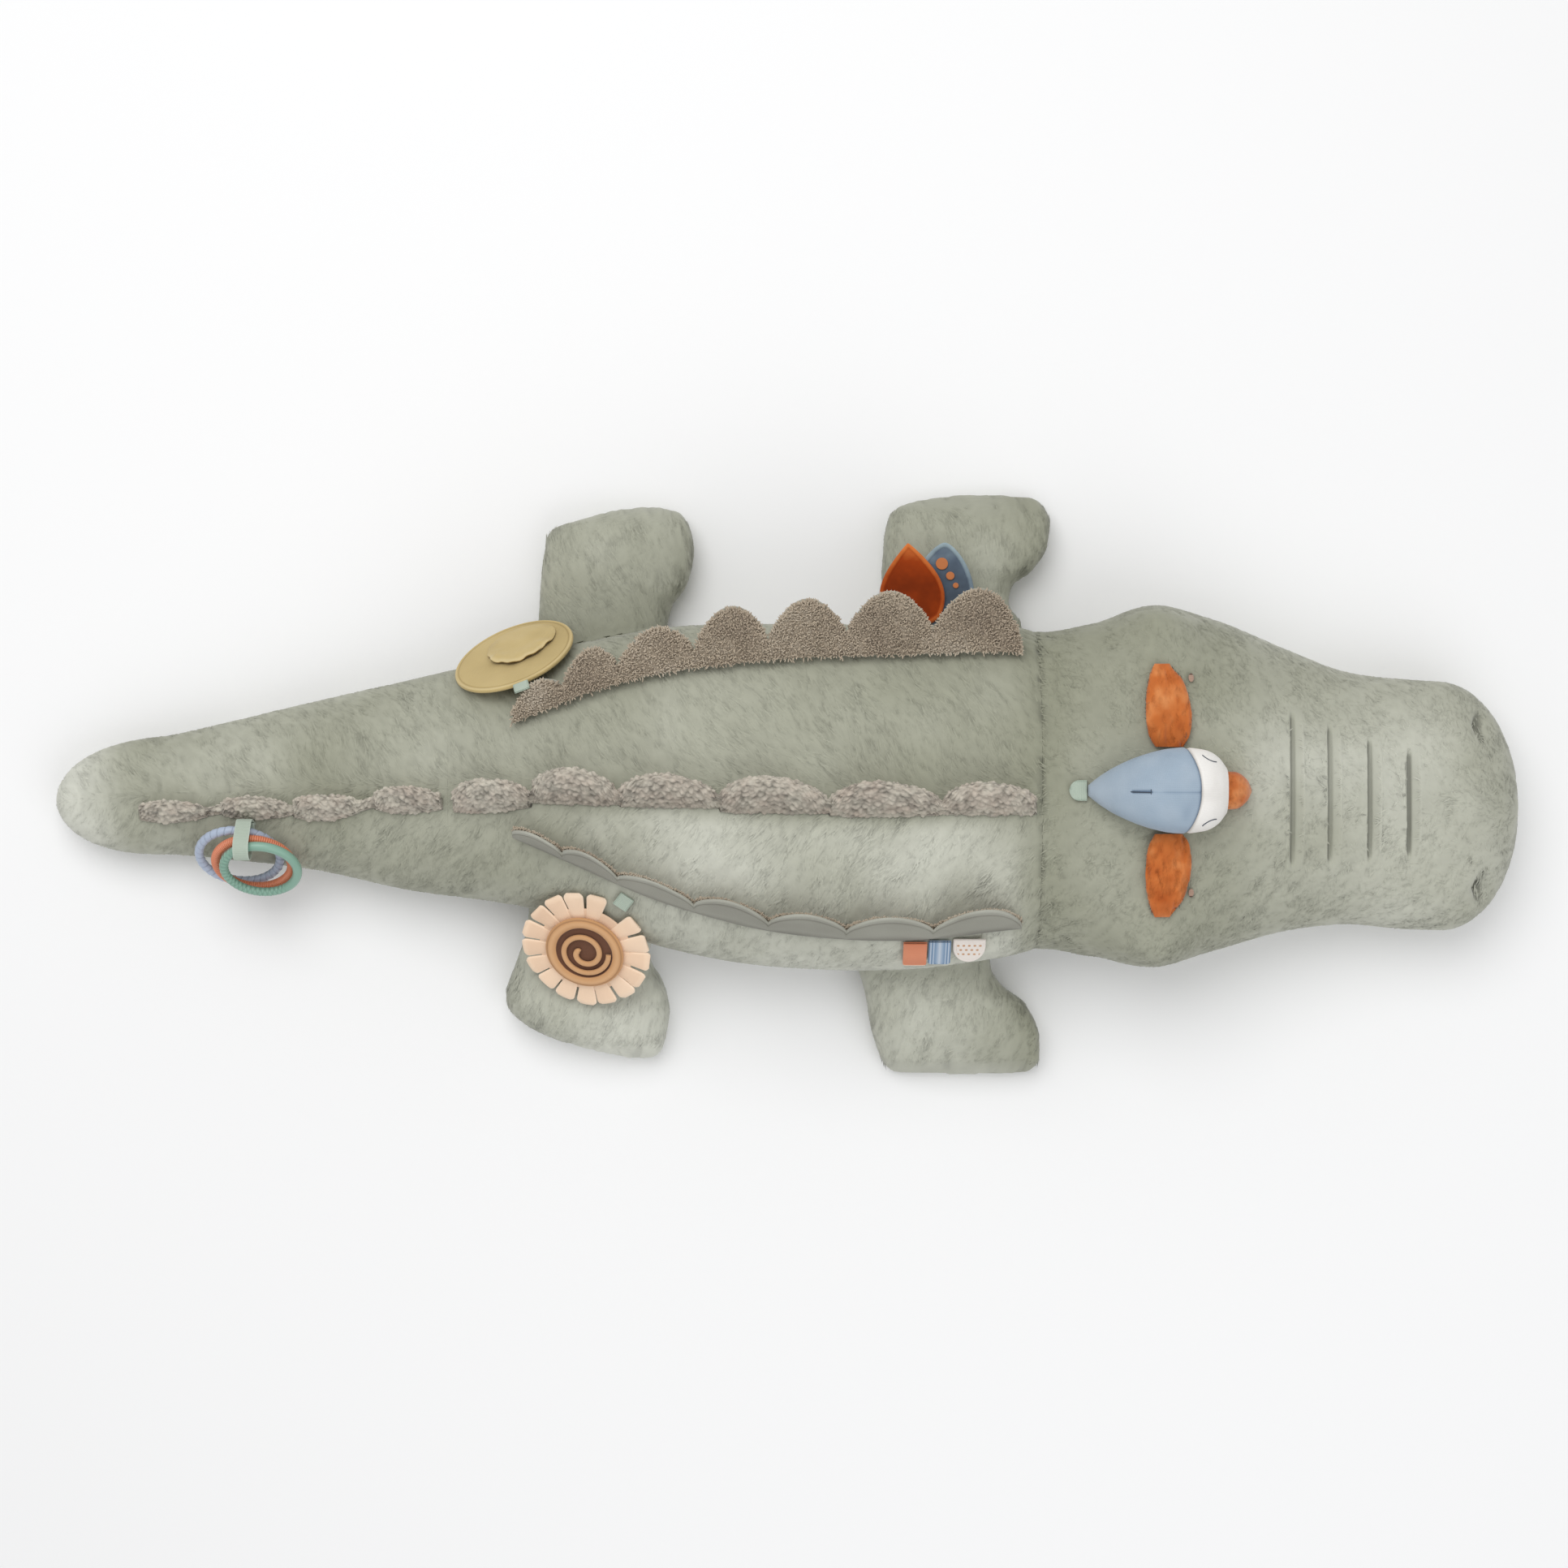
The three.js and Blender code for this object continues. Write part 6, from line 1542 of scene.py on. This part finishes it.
# A flat core, and 16 petals round it in 17 equal slots; the ribbon takes the first
PETAL_ROOT, PETAL_BEND, PETAL_TIP, CORE_RADIUS = 0.026, 0.0455, 0.005, 0.037
rng = np.random.default_rng(61)
pitch = 2 * math.pi / PETALS
rows = [(share, inset, 0.5 * MM + 0.7 * height)
        for share, inset, height in rounded_rim(PETAL_THICKNESS * 0.85)]
core = polar(np.full(96, CORE_RADIUS), rows, 96)
petals = [solid_of(placed(core, flower_frame), tone=0.35)]
for number in range(1, PETALS):
    middle = -math.pi / 2 + number * pitch + rng.uniform(-0.015, 0.015)
    out = np.concatenate([np.linspace(PETAL_ROOT, PETAL_BEND, 14),
                          PETAL_BEND + PETAL_TIP * np.sin(np.linspace(0, 1, 9)[1:] * 1.5)])
    out *= rng.uniform(0.985, 1.01)
    past = np.clip((out - PETAL_BEND) / 0.0051, 0, 1)
    width = 2 * out * math.sin(pitch * 0.465) * (1 - 0.34 * past**3)
    tall = PETAL_THICKNESS * 0.42 * np.sqrt(1 - 0.85 * past**4)
    curl = rng.uniform(-0.3, 1.3) * MM * smooth_step(out, 0.034, 0.05) - 0.6 * MM * past**2
    base = PETAL_THICKNESS * 0.5 + curl
    angle = full_turn(28)
    share, swell = signed_power(np.cos(angle), 0.55), signed_power(np.sin(angle), 0.8)
    tilt = rng.uniform(-0.12, 0.12)
    across = width[:, None] / 2 * share
    radial = np.array([math.cos(middle), math.sin(middle), 0])
    sideways = np.array([-radial[1], radial[0], 0])
    grid = out[:, None, None] * radial + across[..., None] * sideways
    grid[..., 2] = base[:, None] + tall[:, None] * swell + tilt * across * (past[:, None] + 0.3)
    grid[..., 2] += 0.5 * MM * bell(share, 0.5) * (swell > 0)
    shade = 0.5 + rng.uniform(-0.12, 0.12)
    rim = bell(np.abs(share) - 0.97, 0.06) + 0.5 * past[:, None]
    tone = shade + 0.35 * rim * (swell > 0)
    petals.append(solid_of(placed(grid, flower_frame), flat=grid[..., :2], tone=tone))
piece = piece_of("flower_petals_cotton", petals, PETAL_CLOTH)
finished(piece, "flower", "flower_petals")

# The dish: a stuffed rim round a sunk floor
DISH_FLOOR, FLOOR_RADIUS, DISH_SEAM_RADIUS = 2.0 * MM, 0.0225, 0.0293
rows = level_rows(0, 0.05, 0.9, 8)
for turn in np.linspace(-math.pi / 2, math.pi * 0.9, 26):
    rows.append((0.85 + 0.15 * math.cos(turn), 0, DISH_THICKNESS / 2 * (1 + math.sin(turn))))
rows += [(0.695, 0, DISH_FLOOR + 0.3 * MM)] + level_rows(DISH_FLOOR, 0.66, 0.05, 22)
dish = polar(np.full(144, DISH_DIAMETER / 2), rows, 144)
radius = np.hypot(dish[..., 0], dish[..., 1])
dish[..., 2] += 0.25 * MM * (noise(dish, 0.005, 3.3) - 0.5) * (dish[..., 2] > 1 * MM)
seam = bell(radius - DISH_SEAM_RADIUS, 0.5 * MM) * (dish[..., 2] > 2.5 * MM)
dish[..., 2] -= 0.5 * MM * seam
# Painted highlight along the rim's crest and painted shade in its seam
tone = np.where(radius < FLOOR_RADIUS, 0.05, 0.5 + 0.3 * bell(radius - 0.0265, 1.5 * MM) - 0.25 * seam)
piece = low_form("flower_dish_cotton", dish, (dish_middle, flower_axes), CARAMEL, tone)
finished(piece, "flower", "flower_disc")

SPIRAL_TURNS, SPIRAL_OPENING = 1.6, 0.6
SPIRAL_BAND, SPIRAL_INNER, SPIRAL_THICKNESS, SPIRAL_SUNK = 4.6 * MM, 3 * MM, 3 * MM, 0.8 * MM
spiral_outer = DISH_DIAMETER / 2 - 3 * DISH_RIM - SPIRAL_BAND / 2 - SEAM_GAP
share = np.linspace(0, 1, 220)
angle = share * SPIRAL_TURNS * 2 * math.pi
radius = SPIRAL_INNER + (spiral_outer - SPIRAL_INNER) * share**SPIRAL_OPENING
path = np.stack([radius * np.cos(angle), radius * np.sin(angle), np.zeros(len(share))], -1)
along = unit(np.gradient(path, axis=0))
aside = np.stack([-along[:, 1], along[:, 0], along[:, 2]], -1)
ends = np.sqrt(np.clip(1 - (1 - np.clip(share / 0.035, 0, 1)) ** 2, 0.02, 1))
wide = SPIRAL_BAND / 2 * (1 - 0.1 * share) * ends
side = full_turn(24)
height = SPIRAL_THICKNESS * np.clip(0.45 + 0.55 * np.sin(side), 0.1, 1)
grid = path[:, None] + aside[:, None] * (wide[:, None] * signed_power(np.cos(side), 0.8))[..., None]
grid[..., 2] = height * (0.4 + 0.6 * ends[:, None])
spiral_middle = flower_frame[0] + own_z(flower_axes, PETAL_THICKNESS + DISH_RIM + 2 * SEAM_GAP - SPIRAL_SUNK)
# Painted light: the spiral's band is lighter on top and darker down its sides
tone = 0.45 + 0.2 * np.sin(side)[None] + 0.15 * (noise(grid, 0.007, 1.2) - 0.5)
piece = low_form("flower_spiral_cotton", grid, (spiral_middle, flower_axes), CARAMEL, tone)
finished(piece, "flower", "flower_spiral")


EDGE_RIBBON_LENGTH = 0.0126


def edge_ribbon(name, node, axes):
    """The ribbon at a disc's upper edge, with its fold sewn to the disc."""
    foot = middle_of(node) - axes @ np.array([0, EDGE_RIBBON_LENGTH / 2, RIBBON_THICKNESS / 2])
    ribbon_loop(name, node, "torso", (foot, axes), EDGE_RIBBON_LENGTH, crease=0.5)


edge_ribbon("flower_ribbon_loop", "flower_ribbon", flower_axes)

MUSTARD = cloth("cotton_mustard", (142, 117, 64), (203, 180, 124), (228, 210, 164), pitch=0.8)
PAD_DIAMETER, PAD_THICKNESS, FLAP_DIAMETER, FLAP_THICKNESS = 0.097, 4 * MM, 0.056, 2.6 * MM
PAD_TOP = PAD_THICKNESS * 0.93
pad_axes = flank_axes(0.3195, 1, 60, 0, PAD_DIAMETER)
pad_frame = (middle_of("disc_pad") - own_z(pad_axes, PAD_THICKNESS / 2), pad_axes)
rows = level_rows(0, 0.05, 0.93, 10)
for turn in np.linspace(-math.pi / 2, math.pi / 2, 13):
    rows.append((0.97 + 0.03 * math.cos(turn), 0, PAD_THICKNESS / 2 * (1 + 0.95 * math.sin(turn))))
rows += level_rows(PAD_TOP, 0.96, 0.9, 10) + level_rows(PAD_TOP, 0.88, 0.04, 44)
pad = polar(np.full(200, PAD_DIAMETER / 2), rows, 200)
share = np.hypot(pad[..., 0], pad[..., 1]) / (PAD_DIAMETER / 2)
on_top = pad[..., 2] > PAD_THICKNESS * 0.8
stitch = bell(share - 0.935, 0.009) * on_top
pad[..., 2] += (0.5 * (noise(pad, 0.016, 6.1) - 0.5) * (share < 0.92) - 0.25 * stitch) * on_top * MM
# Painted shade in the stitched groove and a painted highlight along the rounded edge
tone = 0.45 - 0.22 * stitch + 0.2 * bell(share - 0.985, 0.02) * on_top + 0.2 * (noise(pad, 0.02, 3.0) - 0.5)
piece = low_form("disc_pad_cotton", pad, pad_frame, MUSTARD, tone)
finished(piece, "disc", "disc_pad")

# The flap: a puffed round of cloth whose lip stands open on the ribbon's side
FLAP_DOME, FLAP_UNDER = 3.4 * MM, 0.15 * MM
flap_middle = middle_of("disc_flap") - own_z(pad_axes, FLAP_THICKNESS / 2)
share = np.concatenate([np.linspace(0.04, 0.99, 34), np.linspace(0.996, 1.0, 3)])[:, None]
angle = full_turn(200)[None]
lip = smooth_step(np.cos(angle + math.pi / 2 + 0.25), 0.05, 0.55)
crest = smooth_step(np.cos(angle - math.pi * 1.08), 0.55, 0.95)
reach = FLAP_DIAMETER / 2 * (1 + 0.03 * np.sin(3 * angle + 1) + lip * 0.035 * np.sin(9 * angle))


def flap_layer(height):
    x, y = share * reach * np.cos(angle), share * reach * np.sin(angle)
    return np.stack(np.broadcast_arrays(x, y, height), -1)


wave = lip * (0.9 * np.sin(angle * 9 + 0.6) + 0.5 * np.sin(angle * 16))
dome = FLAP_DOME * (1 - share**2) ** 0.7 + 1.0 * MM * crest * bell(share - 0.78, 0.1)
edge_height = (0.5 + 2.0 * lip + 0.8 * wave * share**4) * MM
creases = 0.35 * MM * (noise(flap_layer(0 * angle), 0.01, 8.8) - 0.5) * 2
top = 0.35 * MM + dome + edge_height * smooth_step(share, 0.3, 1) + creases
cloth_depth = (0.9 + 0.5 * lip * smooth_step(share, 0.9, 1)) * MM * (1 - 0.6 * smooth_step(share, 0.99, 1))
under = np.where(share < 0.75, FLAP_UNDER, np.maximum(top - cloth_depth, FLAP_UNDER))
flap = np.concatenate([flap_layer(under), flap_layer(top)[::-1]])
mottle = noise(flap_layer(top), 0.012, 1.9) - 0.5
# A painted highlight on the open lip's edge, and the underside that shows under the lip painted dark as shade
tone_top = 0.5 + 0.25 * lip * smooth_step(share, 0.85, 0.98) + 0.15 * mottle
tone = np.concatenate([np.full(tone_top.shape, 0.1), tone_top[::-1]])
piece = low_form("disc_flap_cotton", flap, (flap_middle, pad_axes), MUSTARD, tone)
finished(piece, "disc_flap", "disc_flap")
edge_ribbon("disc_ribbon_loop", "disc_ribbon", pad_axes)

# Leaves sewn to the left flank, under the ridge
LEAF_LENGTH, LEAF_WIDTH, LEAF_THICKNESS, LEAF_SLOPE, LEAF_ROOT_WIDTH = 0.061, 0.046, 3.4 * MM, 6, 0.038
LEAF_OUT, LEAF_RISE, LEAF_STEP = 1.6 * MM, 10 * MM, 4.2 * MM
LEAF_MIDDLE, LEAF_COLUMNS = 0.45 * LEAF_LENGTH, 180
# Rows inside the rim on top: how far in from the outline, and how far down from the rim, in mm
LEAF_GROOVE = ((2.4, 0.175), (3.2, 0.375), (3.9, 0.75), (4.4, 1.0), (5.2, 0.95))


def leaf(name, along, belly, fullness, turn, level, material):
    """A leaf with a raised rim; level 1 lies on top of level 0. Returns its own axes."""
    x = place_along(along)
    half, mid, _, _, side, _ = section_at(x)
    axes = turn_x(-LEAF_SLOPE) @ turn_z(turn)
    origin = np.array([x, side + half + LEAF_OUT, mid + LEAF_RISE + LEAF_STEP * level])
    place = np.linspace(0, 1, 400)
    swell = np.sin(math.pi * place**belly) ** fullness
    edge = LEAF_ROOT_WIDTH / 2 * (1 - place) + (LEAF_WIDTH / 2 - LEAF_ROOT_WIDTH / 4) * swell
    outline_x = np.concatenate([edge, -edge[::-1], [edge[0]]])
    outline_y = np.concatenate([place, place[::-1], [0]]) * LEAF_LENGTH - LEAF_MIDDLE
    angle = np.unwrap(np.arctan2(outline_y, outline_x))
    target = np.linspace(angle[0], angle[0] + 2 * math.pi, LEAF_COLUMNS, endpoint=False)
    reach = np.interp(target, angle, np.hypot(outline_x, outline_y))
    rows = rounded_rim(LEAF_THICKNESS, 8, 0.2 * MM)
    below = len(rows)
    rows += [(1, inset * MM, LEAF_THICKNESS - drop * MM) for inset, drop in LEAF_GROOVE]
    rows += [(s, 5.2 * MM * s, LEAF_THICKNESS - 0.8 * MM) for s in np.linspace(0.94, 0.04, 26)]
    grid = polar(reach, rows, LEAF_COLUMNS, target)
    inset_here = reach - np.hypot(grid[..., 0], grid[..., 1])
    grid[..., 1] += LEAF_MIDDLE
    rim = smooth_step(inset_here, 4.4 * MM, 2.6 * MM)
    lumps = noise(grid, 0.009, 2.0 + turn) - 0.5
    grid[below:, :, 2] += (0.4 * MM * lumps * (1 - rim))[below:]
    # Painted light: lighter on the raised rim, on raised lumps and towards the tip, with painted shade towards
    # the root under the ridge
    tip = smooth_step(grid[..., 1] / LEAF_LENGTH, 0.45, 1.0)
    tone = 0.26 + 0.34 * rim + 0.36 * tip + 0.3 * lumps + 0.1 * (noise(grid, 0.003, 5.0) - 0.5)
    points, faces, _, tones = solid_of(placed(grid, (origin, axes)), tone=tone)
    palette = (np.clip(tones, 0, 1), np.full(len(tones), 0.5))
    finished(new_piece(name + "_plush", points, faces, material, palette=palette), name, name)
    return axes


def velour(name, dark, base, light):
    material, tree, shader = new_material(name, 0.8, 0.12, 0.1)
    linked(tree, tone_ramp(tree, (0.0, dark), (0.45, base), (1.0, light)), shader.inputs["Base Color"])
    return material


blue_axes = leaf("leaf_blue", 0.6058, 1.15, 0.55, -3, 0,
                 velour("velour_blue", (58, 66, 76), (90, 103, 118), (156, 174, 180)))
leaf("leaf_rust", 0.5871, 0.9, 0.9, 4, 1,
     velour("velvet_rust", (100, 34, 4), (152, 58, 12), (216, 122, 60)))
ORANGE_THREAD = cloth("thread_orange", (160, 90, 52), (198, 122, 74), (214, 146, 104), pitch=0.6, ribs=True)
for number, diameter in enumerate((9.5, 6.5, 4.5)):
    node = "leaf_dot_" + str(number + 1)
    rows = rounded_rim(0.9 * MM, 4) + level_rows(0.95 * MM, 0.75, 0.05, 5)
    dot = polar(np.full(40, diameter / 2 * MM), rows, 40)
    origin = middle_of(node) - own_z(blue_axes, 0.8 * MM)
    piece = low_form(node + "_stitching", dot, (origin, blue_axes), ORANGE_THREAD)
    finished(piece, "leaf_blue", node)

# Tags under the right ridge
TAG_LENGTH, TAG_THICKNESS, TAG_SLOPE, TAG_OUT = 0.026, 2.4 * MM, 47, 0.4


def tag_frame(along):
    """A tag's root lies just outside and above the flank, under the ridge."""
    x = place_along(along)
    y = section_at(x)[4] - TAG_OUT * BODY_WIDTH
    return np.array([x, y - 2 * MM, float(top_of(x, y)) + 0.9 * MM]), turn_x(TAG_SLOPE) @ turn_z(180)


def folded_tag(name, along, width, material, tone_of):
    """A ribbon folded into a tag. tone_of takes places across it (-0.5 to 0.5) and metres from its root."""
    path = loop_path(TAG_LENGTH, LAYER_INSET, TAG_THICKNESS - LAYER_INSET, 26)
    grid = band(path, ACROSS, narrowed(path, TAG_LENGTH, width, 3 * MM), 0.55 * MM, 96)
    upper = smooth_step(path[:, 2], 0.4 * TAG_THICKNESS, 0.7 * TAG_THICKNESS)[:, None]
    puff = (0.8 * MM * np.sin(np.clip(path[:, 1] / TAG_LENGTH, 0, 1) * math.pi))[:, None]
    grid[..., 2] += puff * upper * (1 - (2 * grid[..., 0] / width) ** 2)
    tone = tone_of(grid[..., 0] / width, path[:, 1:2])
    piece = piece_of(name + "_ribbon", [solid_of(placed(grid, tag_frame(along)), tone=tone)], material)
    finished(piece, name, name)


def cream_edged(_, out):
    """Darker in the middle of its length, and cream at the fold."""
    cream = smooth_step(out, TAG_LENGTH - 1.6 * MM, TAG_LENGTH - 0.9 * MM)
    return 0.35 + 0.12 * bell(out - 0.012, 5 * MM) + 0.6 * cream


def striped(across, _):
    return 0.45 + 0.45 * np.cos(2 * math.pi * across * 7.5)


folded_tag("tag_orange", 0.5866, 0.018,
           cloth("satin_orange", (190, 92, 50), (232, 142, 98), (246, 224, 200), pitch=0.7, ribs=True,
                 roughness=0.35, sheen=0.4), cream_edged)
folded_tag("tag_striped", 0.6029, 0.017,
           cloth("ribbon_striped", (104, 134, 168), (158, 180, 204), (214, 222, 230), pitch=0.8, ribs=True),
           striped)

# The round tag: a narrow root and a half round end, with a seam in from its rim and a few dots
half, straight, SEAM_ROW = 0.0125, TAG_LENGTH / 3, 18
turn = full_turn(160)
edge_x = np.cos(turn) * half
edge_y = straight + np.where(np.sin(turn) > 0, np.sin(turn) * (TAG_LENGTH - straight),
                             straight * np.maximum(np.sin(turn) * 6, -1))
angle = np.unwrap(np.arctan2(edge_y - straight, edge_x))
reach = np.interp(turn, angle, np.hypot(edge_x, edge_y - straight), period=2 * math.pi)
rows = rounded_rim(TAG_THICKNESS, 5)
rows += [(1, inset * MM, TAG_THICKNESS + 0.1 * MM) for inset in (1.6, 2.0, 2.4)]
rows += [(share, 2.4 * MM * share, TAG_THICKNESS + 0.2 * MM) for share in np.linspace(0.95, 0.04, 34)]
tag = polar(reach, rows, 160)
inner = reach - np.hypot(tag[..., 0], tag[..., 1]) > 2.8 * MM
tag[..., 1] += straight
tag[..., 2] -= 0.35 * MM * bell(np.arange(len(rows))[:, None] - SEAM_ROW, 0.7)
spot = 0
for column in range(-2, 3):
    for line in range(3):
        dx = tag[..., 0] - (column * 4.2 + (line % 2) * 2.1) * MM
        dy = tag[..., 1] - (6 + 5 * line) * MM
        spot = np.maximum(spot, 1 - smooth_step(np.hypot(dx, dy), 0.9 * MM, 1.4 * MM))
tone = 0.8 - 0.75 * spot * inner * (tag[..., 2] > 1.5 * MM)
piece = low_form("tag_round_cotton", tag, tag_frame(0.6224),
                 cloth("cotton_print", (204, 150, 104), (240, 226, 214), (250, 244, 238), pitch=0.8), tone)
finished(piece, "tag_round", "tag_round")

# Embroidered eyes: satin stitches side by side, with a dark bar at the outer end
BROWN_THREAD = cloth("thread_brown", (84, 62, 52), (176, 146, 128), (206, 182, 164), pitch=0.6, ribs=True)
STITCHES, THREAD_RADIUS = 11, 0.42 * MM
for name, sign in (("eye_stitch_left", 1), ("eye_stitch_right", -1)):
    middle = middle_of(name)
    low, high = (np.array(corner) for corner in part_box(name))
    size = high - low
    stitches = []
    for number in range(STITCHES):
        share = (number + 0.5) / STITCHES * 2 - 1
        reach = size[0] / 2 * math.sqrt(max(0.12, 1 - share**2)) * (1 if share < 0.5 else 0.85)
        x = middle[0] + np.linspace(-reach, reach, 9)
        y = np.full(9, middle[1] + sign * share * size[1] / 2 * 0.9)
        z = top_of(x, y) + 0.3 * MM + 0.5 * MM * np.sqrt(1 - (np.linspace(-1, 1, 9) * 0.95) ** 2)
        tone = 0.08 if number > 8 else 0.5 + 0.06 * (number % 3)
        stitches.append(solid_of(thread(np.stack([x, y, z], -1), THREAD_RADIUS), tone=tone))
    piece = piece_of(name + "_threads", stitches, BROWN_THREAD)
    finished(piece, "head", name)

size = {"cad": [list(map(float, c)) for c in CAD_BOX], "visual": [list(map(float, c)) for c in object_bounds()]}
